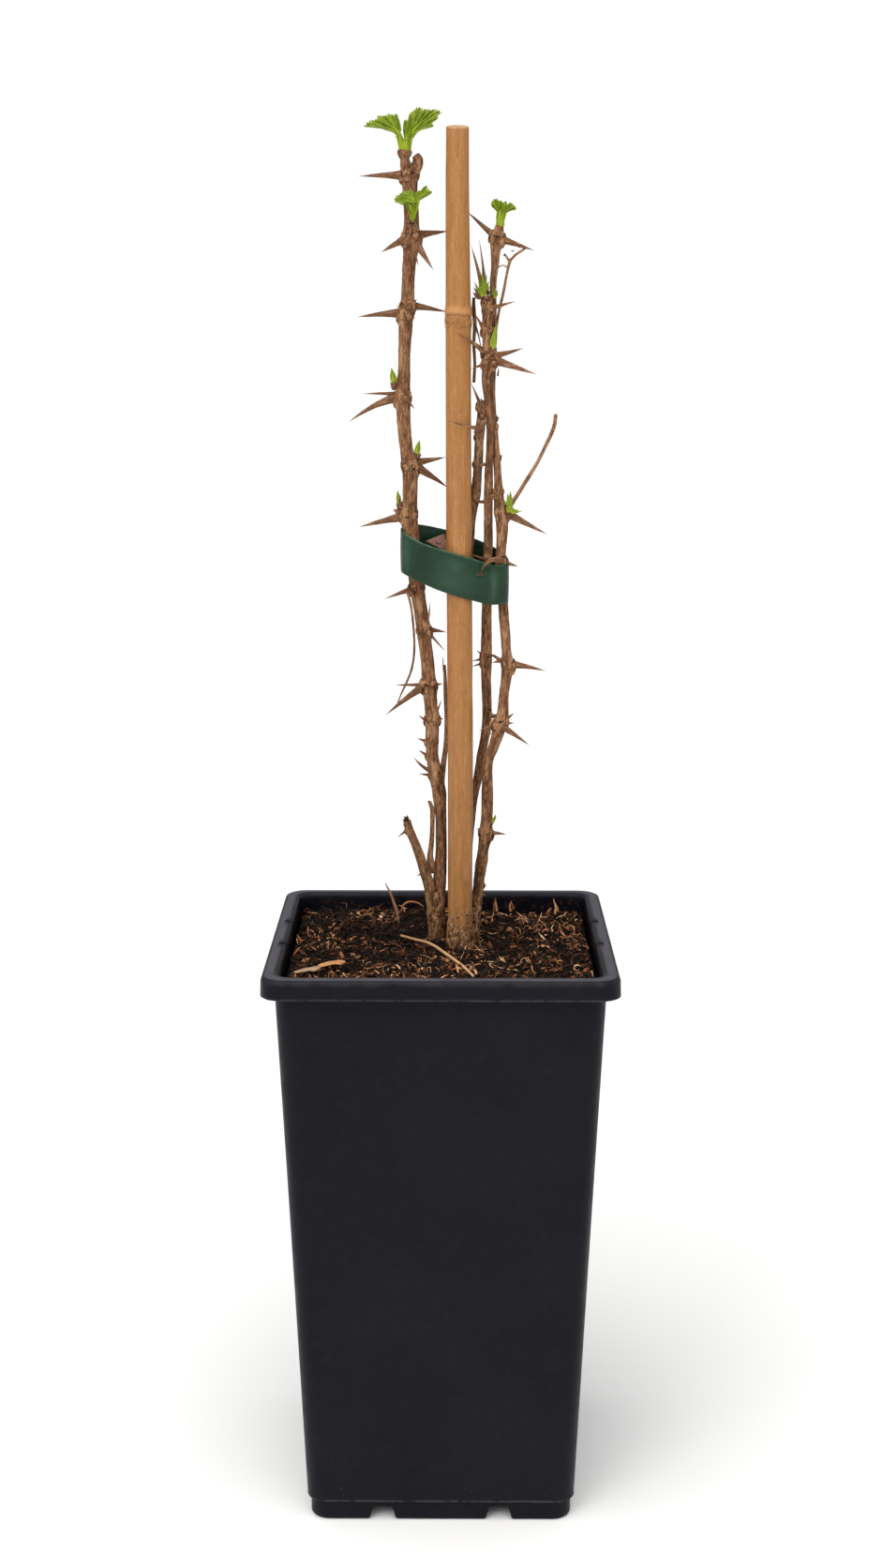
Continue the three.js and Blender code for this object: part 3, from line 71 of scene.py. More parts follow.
THORNS = {
    "T1": {"s": "A", "b": [-13.7, 6.63, 504.42], "r": 1.53, "t": [-30.11, 3.63, 503.86]},
    "T2": {"s": "A", "b": [-8.96, 5.99, 483.26], "r": 1.54, "t": [2.67, 12.99, 485.14]},
    "T3": {"s": "A", "b": [-13.08, 5.97, 482.1], "r": 1.54, "t": [-21.99, 1.97, 477.1]},
    "T4": {"s": "A", "b": [-10.54, 5.98, 482.6], "r": 1.89, "t": [-2.92, -3.02, 470.6]},
    "T4b": {"s": "A", "b": [-10.34, 5.92, 479.61], "r": 0.86, "t": [-8.35, -1.08, 472.0]},
    "T5": {"s": "A", "b": [-15.23, 5.44, 455.52], "r": 1.55, "t": [-30.78, 3.44, 454.14]},
    "T6": {"s": "A", "b": [-10.74, 5.49, 458.21], "r": 1.38, "t": [2.53, 11.49, 455.96]},
    "T17": {"s": "A", "b": [-15.16, 5.0, 426.36], "r": 0.87, "t": [-29.19, 3.0, 426.47]},
    "T18": {"s": "A", "b": [-16.38, 5.0, 424.99], "r": 1.74, "t": [-34.47, 0.0, 416.11], "m": [-25.01, 2.74, 421.97]},
    "T19": {"s": "A", "b": [-13.26, 5.0, 424.65], "r": 0.87, "t": [-9.87, 0.0, 420.85]},
    "T20": {"s": "A", "b": [-9.14, 5.0, 401.26], "r": 1.4, "t": [1.55, 10.0, 402.92]},
    "T21": {"s": "A", "b": [-9.67, 5.0, 399.7], "r": 1.75, "t": [2.57, 11.0, 391.34]},
    "T22": {"s": "A", "b": [-13.78, 5.75, 381.36], "r": 1.76, "t": [-31.0, 2.75, 377.39]},
    "T22k": {"s": "A", "b": [-15.18, 5.71, 382.42], "r": 1.41, "t": [-18.17, 4.71, 383.68]},
    "T25": {"s": "A", "b": [-10.35, 6.83, 354.09], "r": 1.24, "t": [-21.67, 3.83, 350.27]},
    "T26": {"s": "A", "b": [-6.65, 7.37, 337.95], "r": 0.89, "t": [-4.43, 1.37, 349.54], "m": [-4.93, 4.51, 343.33]},
    "T27": {"s": "A", "b": [-6.12, 7.36, 338.13], "r": 1.25, "t": [1.9, 10.36, 336.73]},
    "T28": {"s": "A", "b": [-5.41, 7.39, 337.41], "r": 0.71, "t": [1.46, 4.39, 330.11]},
    "T29": {"s": "A", "b": [-6.16, 8.07, 316.69], "r": 0.9, "t": [-17.82, 5.07, 317.15]},
    "T30": {"s": "A", "b": [-5.8, 8.06, 316.9], "r": 1.8, "t": [-21.47, 2.06, 305.91]},
    "T31": {"s": "A", "b": [-4.01, 8.07, 316.72], "r": 0.9, "t": [0.62, 9.07, 317.11]},
    "T32": {"s": "A", "b": [-2.58, 8.43, 304.09], "r": 0.81, "t": [0.1, 5.43, 311.53]},
    "T33": {"s": "A", "b": [-2.94, 8.44, 303.54], "r": 1.17, "t": [0.74, 7.44, 303.72]},
    "T34": {"s": "A", "b": [-5.47, 8.48, 302.25], "r": 0.72, "t": [-8.85, 6.48, 305.3]},
    "T35": {"s": "A", "b": [-5.48, 8.7, 294.5], "r": 0.72, "t": [-9.34, 6.7, 296.23]},
    "T36": {"s": "A", "b": [-5.49, 8.85, 288.95], "r": 0.72, "t": [-8.85, 6.85, 291.69]},
    "T37": {"s": "A", "b": [-1.87, 9.05, 282.08], "r": 1.09, "t": [-10.79, 2.05, 290.09], "m": [-6.9, 5.54, 285.18]},
    "T38": {"s": "A", "b": [-3.69, 9.07, 281.15], "r": 0.73, "t": [-8.86, 6.07, 282.38]},
    "T56": {"s": "B", "b": [-6.46, 8.0, 242.89], "r": 0.64, "t": [-9.77, 7.0, 241.55]},
    "T55": {"s": "B", "b": [-13.24, 3.12, 260.91], "r": 0.65, "t": [-16.96, 2.12, 258.17]},
    "T7": {"s": "R1", "b": [19.56, 10.16, 483.14], "r": 1.21, "t": [9.39, 12.16, 492.09]},
    "T8": {"s": "R1", "b": [21.29, 10.17, 482.31], "r": 1.46, "t": [33.75, 6.17, 477.94]},
    "T9": {"s": "R2", "b": [17.18, 4.22, 457.0], "r": 1.03, "t": [26.95, 1.22, 459.64]},
    "T9b": {"s": "R2", "b": [16.49, 4.21, 456.5], "r": 0.69, "t": [15.17, 0.21, 463.08]},
    "T10": {"s": "R2", "b": [18.29, 4.0, 439.81], "r": 1.38, "t": [30.13, 2.0, 442.91]},
    "T11": {"s": "R2", "b": [18.47, 4.04, 438.96], "r": 1.73, "t": [35.14, 0.04, 433.44]},
    "T12": {"s": "R2", "b": [16.58, 4.14, 437.26], "r": 0.78, "t": [10.9, 3.14, 435.37]},
    "T13": {"s": "R2", "b": [16.56, 4.0, 440.99], "r": 1.12, "t": [5.1, -4.5, 448.48], "m": [10.91, -0.35, 445.19]},
    "T14": {"s": "R2", "b": [15.83, 4.0, 449.1], "r": 0.86, "t": [12.21, 2.5, 455.26]},
    "T15": {"s": "R2", "b": [15.6, 4.39, 462.87], "r": 1.03, "t": [10.83, 2.89, 479.62]},
    "T16": {"s": "R2", "b": [16.11, 4.45, 465.21], "r": 0.77, "t": [13.72, 1.95, 481.55]},
    "T39": {"s": "R1", "b": [25.66, 5.19, 325.33], "r": 1.52, "t": [39.47, 2.19, 323.1]},
    "T43": {"s": "R1", "b": [22.8, 5.25, 326.58], "r": 0.71, "t": [19.04, 4.25, 325.9]},
    "T40": {"s": "R2", "b": [15.92, 10.93, 327.74], "r": 0.54, "t": [13.35, 9.93, 329.87]},
    "T41": {"s": "R2", "b": [16.1, 10.97, 326.46], "r": 0.63, "t": [11.51, 11.97, 325.4]},
    "T42": {"s": "R2", "b": [15.97, 11.02, 324.82], "r": 0.58, "t": [11.66, 12.02, 323.22]},
    "T44": {"s": "R1", "b": [19.7, 4.59, 303.15], "r": 1.79, "t": [33.54, -1.41, 294.99]},
    "T45": {"s": "R1", "b": [24.0, 4.59, 303.34], "r": 0.9, "t": [27.72, 2.59, 306.89]},
    "T46": {"s": "R1", "b": [23.47, 4.57, 302.25], "r": 0.81, "t": [27.75, 2.57, 303.05]},
    "T47": {"s": "R1", "b": [20.78, 4.56, 302.1], "r": 0.9, "t": [14.08, 1.56, 300.09]},
    "T49": {"s": "R1", "b": [21.51, 4.52, 300.07], "r": 0.72, "t": [18.45, 1.52, 298.72]},
    "T50": {"s": "R2", "b": [15.2, 12.27, 285.9], "r": 0.55, "t": [13.24, 10.27, 289.32]},
    "T53": {"s": "R1", "b": [18.18, 8.81, 258.52], "r": 1.09, "t": [25.18, 5.81, 258.56]},
    "T54": {"s": "R1", "b": [15.99, 8.64, 259.52], "r": 0.62, "t": [13.48, 6.64, 260.66]},
    "T58": {"s": "R1", "b": [15.19, 10.93, 237.25], "r": 0.55, "t": [17.79, 9.93, 236.83]},
    "T58b": {"s": "R1", "b": [14.95, 11.23, 234.13], "r": 0.48, "t": [17.81, 10.23, 232.35]},
    "T60": {"s": "R3", "b": [14.39, 4.6, 413.7], "r": 1.2, "t": [1.73, -3.6, 416.91], "m": [11.06, -1.7, 414.47]},
    "T61": {"s": "R3", "b": [14.59, 6.23, 421.72], "r": 0.78, "t": [10.93, 5.23, 430.25]},
    "T62": {"s": "R1", "b": [19.73, 9.54, 417.33], "r": 0.53, "t": [21.7, 8.54, 417.53]},
    "T63": {"s": "R1", "b": [19.84, 9.3, 414.23], "r": 0.53, "t": [21.5, 8.3, 414.54]},
    "T64": {"s": "R1", "b": [20.83, 8.23, 403.01], "r": 0.53, "t": [23.08, 7.23, 403.65]},
    "T65": {"s": "R3", "b": [13.11, 7.58, 400.79], "r": 0.53, "t": [11.45, 6.58, 401.39]},
    "T66": {"s": "R1", "b": [21.4, 7.04, 390.55], "r": 0.53, "t": [23.34, 6.04, 391.28]},
    "T67": {"s": "R1", "b": [21.05, 7.03, 390.38], "r": 0.6, "t": [15.14, 3.03, 386.67], "m": [18.39, 5.24, 388.75]},
    "T23": {"s": "R1", "b": [23.19, 6.45, 382.9], "r": 1.76, "t": [39.65, 2.45, 374.73]},
    "T24a": {"s": "R1", "b": [23.12, 6.0, 364.13], "r": 1.06, "t": [28.91, 4.0, 362.56]},
    "T24b": {"s": "R1", "b": [23.12, 4.4, 364.28], "r": 1.3, "t": [14.57, -2.9, 360.73], "m": [18.01, -3.0, 365.36]},
    "T24c": {"s": "R2", "b": [17.88, 9.7, 363.93], "r": 0.89, "t": [11.1, 2.7, 367.26]},
    "T68": {"s": "R3", "b": [12.63, 8.88, 389.2], "r": 0.63, "t": [10.32, 7.88, 392.59]},
    "T69": {"s": "R3", "b": [13.76, 6.35, 410.54], "r": 0.52, "t": [11.58, 5.35, 412.81]},
}
ROOTS = [
    [[2, 12, 200, 3.4], [-10, 6, 188, 2.6], [-24, -6, 168, 1.9], [-33, -16, 138, 1.3], [-36, -22, 104, 0.8]],
    [[12, 11, 200, 3.2], [22, 2, 186, 2.4], [31, -12, 162, 1.8], [36, -24, 130, 1.2], [37, -30, 98, 0.8]],
    [[7, 19, 200, 3.4], [10, 30, 186, 2.6], [18, 38, 160, 1.9], [22, 40, 124, 1.3], [20, 38, 88, 0.8]],
    [[0, 18, 199, 3], [-14, 27, 182, 2.2], [-26, 34, 156, 1.6], [-31, 36, 120, 1]],
    [[7, 15, 196, 3.6], [2, 14, 176, 2.8], [-6, 16, 146, 2], [-4, 20, 110, 1.4], [2, 22, 76, 0.9]],
]
BAND_PLAN = [[-15.2, 6.2], [-14.6, 2.6], [-12.2, 0.6], [-8, -0.6], [-3, -1.3], [2.5, -1.6], [8, -1.6], [13, -1.2], [18, -0.2], [22, 1.4], [24.6, 3.8], [25.2, 6.8], [24.2, 9.8], [21.4, 12.4], [17, 14.2], [12, 15.2], [6, 15.6], [0, 15.2], [-5.5, 14.2], [-10, 12.6], [-13.4, 10],]
STRAW = [[-16.4, 15, 215.2, 0.48], [-10.7, 5, 216.6, 0.52], [-4.4, -2.6, 217, 0.55], [2.4, -15.2, 216.2, 0.57], [8.4, -27.6, 215.3, 0.58], [12.2, -37.6, 214.6, 0.5]]
BAND_TOP = [[-14.94, 375.88], [-11.7, 373.69], [-8.04, 371.74], [-3.14, 369.97], [2.03, 368.4], [6.65, 367.18], [11.2, 365.96], [14.36, 364.74], [17.69, 363.41], [21.02, 362.4], [24.38, 363.69]]
BAND_LOW = [[-15.84, 362.27], [-11.92, 358.94], [-8.07, 357.11], [-4.1, 355.54], [2.04, 353.04], [6.68, 351.71], [11.6, 350.51], [16.63, 348.82], [20.54, 348.26], [24.75, 349.96]]
PIERCE = [14.34, -1.9, 360.17]
SCRAP = [[-6.09, 9.0, 371.6], [0.99, 12.0, 374.17], [2.78, 7.5, 367.15]]
KNOB_LEFT = [[-11.31, 6.5, 503.42, 2.21], [-12.46, 6.4, 506.37, 2.21], [-13.13, 6.2, 508.64, 2.05], [-13.39, 6, 510.1, 1.69], [-13.45, 6, 510.92, 2.19], [-13.52, 6, 512.06, 2.75], [-13.38, 5.9, 513.19, 2.4], [-13.3, 5.8, 513.97, 1.59]]
KNOB_RIGHT = [[-11.11, 6.6, 503.43, 2.12], [-9.8, 6.6, 506.06, 2.05], [-8.78, 6.7, 508.36, 2.05], [-8.61, 6.8, 510, 1.87], [-9.39, 6.9, 511.45, 1.52]]
LEAVES = [
    ("leaf_a", "leaf_top_left_1", [([[-14.12, 5.6, 513.17, 1.65], [-14.44, 5.2, 515.08, 1.35], [-14.97, 4.9, 517.01, 1], [-15.63, 4.7, 518.94, 0.72], [-17.48, 4.6, 521.04, 0.36], [-20.34, 4.3, 522.31, 0.14]], 0.8)],
     [dict(base=[-14.9, 5.0, 517.34], outline=[[-15.61, 3.05, 514.23], [-16.02, 3.71, 516.73], [-17.17, 4.11, 518.88], [-19.5, 4.1, 520.53], [-22.19, 3.73, 521.24], [-24.54, 3.2, 521.19], [-26.45, 2.75, 521.05], [-27.86, 2.53, 521.35], [-26.25, 3.18, 522.35], [-24.92, 3.82, 523.52], [-23.91, 3.97, 523.28], [-22.84, 4.5, 524.3], [-21.3, 5.13, 525.28], [-20.22, 5.11, 524.43], [-18.95, 5.59, 525.1], [-17.37, 6.13, 525.77], [-16.25, 6.25, 525.4], [-15.44, 5.98, 523.87], [-14.83, 5.48, 521.78], [-14.41, 4.72, 518.94]], lobes=[7, 9, 12, 15, 17], face=[-0.1, -0.86, 0.5], pleat=0.085, tooth=0.065, period=1.25, ctrl=[-16.03, 4.6, 520.36], bend=0.85)]),
    ("leaf_b", "leaf_top_left_2", [([[-12.75, 5.4, 513.15, 1.55], [-12.19, 5, 515.06, 1.25], [-11.5, 4.6, 516.98, 0.95], [-10.41, 4.4, 519.23, 0.64], [-8.34, 4.5, 521.83, 0.34], [-5.46, 4.6, 524.11, 0.14]], 0.8)],
     [dict(base=[-11.92, 4.9, 516.52], outline=[[-11.36, 2.52, 514.18], [-10.32, 3.04, 516.01], [-8.67, 3.57, 518.11], [-6.6, 3.85, 519.63], [-4.71, 4.03, 520.81], [-3.29, 3.91, 520.99], [-2.88, 4.29, 522.2], [-1.94, 4.31, 522.59], [-1.6, 4.72, 523.86], [-1.06, 4.87, 524.46], [-1.6, 5.25, 525.34], [-0.12, 5.43, 526.4], [-1.61, 5.73, 526.69], [-2.83, 6.11, 527.31], [-3.98, 5.98, 526.56], [-4.93, 6.39, 527.35], [-6.36, 6.36, 526.76], [-7.51, 6.85, 527.72], [-9.01, 6.93, 527.41], [-10.02, 6.75, 526.55], [-11.32, 6.82, 526.3], [-11.78, 6.29, 524.62], [-12.39, 5.59, 522.43], [-12.71, 4.49, 519.24]], lobes=[5, 8, 11, 13, 15, 17, 20], face=[-0.15, -0.86, 0.48], pleat=0.085, tooth=0.065, period=1.2, cup=0.02, ctrl=[-10.71, 4.4, 520.04], bend=0.7)]),
    ("leaf_c", "leaf_top_left_3", [([[-13.15, 5, 513.11, 1.5], [-12.92, 4.2, 514.99, 1.3], [-12.77, 3.9, 516.91, 0.8], [-12.77, 3.9, 519.18, 0.3], [-12.83, 4.2, 521.16, 0.12]], 0.8)],
     [dict(base=[-12.81, 4.0, 515.94], outline=[[-13.38, 3.6, 516.23], [-13.81, 3.6, 518.5], [-13.9, 3.6, 520.77], [-13.69, 3.6, 522.39], [-13.15, 3.6, 523.52], [-12.34, 3.6, 522.71], [-11.74, 3.6, 521.42], [-11.47, 3.6, 519.47], [-11.75, 3.6, 517.2], [-12.3, 3.6, 515.9]], lobes=[2, 4, 6], face=[0.05, -1.0, 0.1], pleat=0.14, tooth=0.03, period=1.0, cup=0.05),
      dict(base=[-12.52, 4.6, 515.68], outline=[[-13.47, 5, 517.67], [-13.13, 5, 520.26], [-12.44, 5, 522.37], [-11.83, 5, 523.35], [-11.15, 5, 522.05], [-11.03, 5, 519.61], [-11.44, 5, 517.01]], lobes=[2, 3, 4], face=[-0.2, -1.0, 0.1], pleat=0.1, tooth=0.03, period=1.0)]),
    ("leaf_d", "leaf_mid_left_1", [([[-10.67, 3.2, 488.39, 0.7], [-10.52, 2.6, 490.33, 1], [-10.23, 2.2, 492.77, 0.85], [-10.22, 2, 494.89, 0.5], [-12.58, 1.4, 496.32, 0.25], [-14.61, 1, 496.46, 0.1]], 0.75)],
     [dict(base=[-9.88, 2.0, 495.38], outline=[[-8.85, 1.08, 494.63], [-10.54, 0.64, 494.27], [-12.4, 0.47, 494.65], [-14.08, -0.05, 494.09], [-15.54, -0.2, 494.34], [-16.96, -0.03, 495.34], [-16.43, 0.57, 496.56], [-15.42, 1.2, 497.65], [-13.94, 1.77, 498.41], [-12.46, 2.26, 498.97], [-10.83, 2.52, 498.92], [-9.54, 2.41, 498.13], [-8.66, 2.09, 496.99], [-8.31, 1.61, 495.68]], lobes=[3, 5, 7, 9, 11], face=[-0.05, -0.75, 0.66], pleat=0.1, tooth=0.11, period=1.0, cup=-0.06)]),
    ("leaf_e", "leaf_mid_left_2", [([[-10.54, 3.2, 488.39, 0.7], [-10.18, 2.7, 490.66, 0.95], [-9.55, 2.4, 493.27, 0.8], [-8.52, 2.2, 495.56, 0.5], [-6.82, 2, 497.67, 0.2], [-5.46, 1.8, 498.8, 0.08]], 0.75)],
     [dict(base=[-9.55, 2.4, 494.26], outline=[[-9.26, 1.56, 494.04], [-8.01, 1.72, 495.46], [-6.61, 1.74, 496.37], [-5.32, 1.8, 497.43], [-3.62, 1.71, 498.07], [-4.64, 2.07, 498.95], [-5.46, 2.3, 499.43], [-4.92, 2.46, 500.42], [-6.28, 2.55, 499.97], [-7.3, 2.54, 499.31], [-8.12, 2.49, 498.59], [-9, 2.39, 497.67], [-9.75, 2.15, 496.21]], lobes=[2, 4, 7, 9], face=[-0.25, -0.85, 0.42], pleat=0.12, tooth=0.09, period=1.0)]),
    ("leaf_f", "leaf_mid_left_3", [([[-10.8, 2.6, 487.86, 0.55], [-10.65, 2, 489.63, 0.95], [-10.43, 1.8, 491.26, 0.8], [-10.22, 1.7, 492.9, 0.4]], 0.7)],
     [dict(base=[-10.58, 1.9, 488.81], outline=[[-11.04, 1.3, 488.44], [-11.78, 1.3, 490.58], [-12.52, 1.3, 493.04], [-12.72, 1.3, 495], [-11.4, 1.3, 493.53], [-10.35, 1.3, 494.25], [-9.12, 1.3, 493.85], [-7.97, 1.3, 495.82], [-8.17, 1.3, 493.36], [-8.93, 1.3, 491.07], [-10.16, 1.3, 488.44]], lobes=[2, 3, 5, 6], face=[0.0, -1.0, 0.1], pleat=0.16, tooth=0.02, period=1.0, cup=0.06)]),
    ("leaf_g", "leaf_top_right_1", [([[21.26, 9.9, 486.79, 1.5], [21.31, 9.4, 488.09, 1.4], [21.43, 9, 489.73, 1.25], [21.55, 8.8, 491.37, 1], [21.68, 8.8, 492.86, 0.4]], 0.85)],
     [dict(base=[21.22, 8.8, 488.39], outline=[[20.06, 8.75, 488.39], [20.24, 8.45, 490.36], [20.3, 8.27, 491.54], [19.33, 8.1, 492.65], [18.09, 7.9, 493.96], [18.83, 7.68, 495.4], [19.78, 7.54, 496.31], [20.61, 7.63, 495.73], [21.57, 7.67, 495.46], [22.13, 7.83, 494.42], [22.28, 8.1, 492.65], [22.3, 8.45, 490.36]], lobes=[3, 4, 6, 8, 9], face=[-0.3, -0.92, 0.25], pleat=0.14, tooth=0.07, period=0.85, ctrl=[21.2, 8.6, 492.52], bend=0.75)]),
    ("leaf_h", "leaf_top_right_2", [([[21.77, 9.9, 486.79, 1.2], [21.85, 9.3, 488.42, 1.1], [22.1, 8.6, 490.37, 0.8], [22.9, 8.2, 492.33, 0.3]], 0.8)],
     [dict(base=[21.98, 8.8, 488.39], outline=[[21.4, 7.9, 489.99], [21.93, 7.55, 492.28], [22.39, 7.23, 494.38], [23.27, 7.11, 495.16], [24.1, 7.24, 494.31], [24.78, 7.18, 494.7], [25.94, 7.21, 494.51], [26.29, 7.33, 493.72], [27.4, 7.48, 492.74], [25.83, 7.56, 492.22], [24.6, 7.61, 491.89], [23.79, 7.69, 491.37], [23.32, 7.89, 490.06], [22.79, 8.15, 488.35]], lobes=[2, 4, 6, 8, 10], face=[0.3, -0.92, 0.25], pleat=0.14, tooth=0.07, period=0.85, ctrl=[22.43, 8.4, 492.51], bend=0.75)]),
    ("leaf_i", "leaf_top_right_3", [([[21.62, 10.6, 486.83, 1.2], [21.74, 10.4, 488.82, 1], [21.93, 10.2, 491.13, 0.6], [22.12, 10.4, 493.14, 0.2]], 0.8)],
     [dict(base=[21.74, 10.2, 488.47], outline=[[20.76, 10.2, 490.14], [20.47, 10.2, 492.46], [20.67, 10.2, 494.45], [21.56, 10.2, 495.57], [22.59, 10.2, 495.04], [23.62, 10.2, 494.38], [23.98, 10.2, 492.99], [23.58, 10.2, 491.13], [22.76, 10.2, 489.47]], lobes=[2, 3, 5, 6], face=[0.0, -1.0, 0.15], pleat=0.12, tooth=0.05, period=0.85)]),
]
JOINTS = {
    "R1": [[[20.85, 8.6, 432.8, 0.39], [21.04, 8.2, 434.52, 0.32], [21.13, 8, 435.88, 0.14]], [[17.14, 9, 327.65, 0.79], [19.63, 8, 328.16, 0.49], [21.75, 6.4, 326.95, 0.71], [23.53, 5.6, 325.99, 0.88]]],
    "R2": [[[16.38, 3, 438.96, 1.32], [18.61, 2.4, 438.76, 1.15], [20.69, 2.6, 438.12, 1.06]], [[16.86, 7.6, 385.44, 0.71], [18.24, 6.2, 387.47, 0.81], [19.96, 4.6, 388.62, 0.88], [21.71, 4.4, 388.11, 0.95]]],
    "R3": [[[12.1, 7.4, 387.21, 0.78], [14.21, 7.2, 386.52, 0.56], [16.5, 7.2, 386.52, 0.71]], [[13.97, 5.8, 399.67, 0.74], [15.36, 5.4, 400.38, 0.64], [16.69, 5.6, 400.72, 0.74]], [[14.08, 4.6, 412.32, 1.06], [14.76, 4.1, 414.23, 1.31], [15.49, 4, 415.95, 1.16], [15.98, 4.4, 416.97, 0.71]], [[14.67, 5.6, 417.45, 1.24], [14.93, 5.2, 419.52, 1.34], [15.13, 5, 421.41, 1.48], [15.47, 5.2, 423.11, 1.24], [15.82, 5.4, 423.96, 0.71]], [[14.72, 5, 420.21, 0.88], [13.66, 4.4, 421.39, 0.95], [12.83, 4.2, 421.46, 0.6]]],
}
UPRIGHTS = [[[21.49, 46, 216.6, 0.53], [21.59, 46, 219, 0.6], [21.81, 46, 220.99, 0.46], [21.88, 46, 222.38, 0.16]], [[22.62, 45, 216.88, 0.42], [22.26, 45, 218.87, 0.46], [21.98, 45, 220.86, 0.25]], [[28.17, 44, 217.16, 0.56], [27.77, 44, 219.55, 0.46], [28.37, 44, 221.54, 0.18]], [[29.32, 44, 217.96, 0.35], [28.92, 44, 219.75, 0.32], [28.3, 44, 221.14, 0.18]], [[46.39, 47, 215.18, 0.53], [46.74, 47, 217.97, 0.49], [46.1, 47, 220.36, 0.32], [45.78, 47, 221.75, 0.12]], [[47.73, 47, 216.38, 0.35], [47.13, 47, 218.37, 0.35], [46.14, 47, 219.96, 0.21]], [[-16.8, 44, 217.09, 0.35], [-15.63, 44, 220.07, 0.42], [-13.33, 44, 221.27, 0.46], [-9.87, 44, 220.68, 0.39], [-7.57, 44, 219.09, 0.28]]]
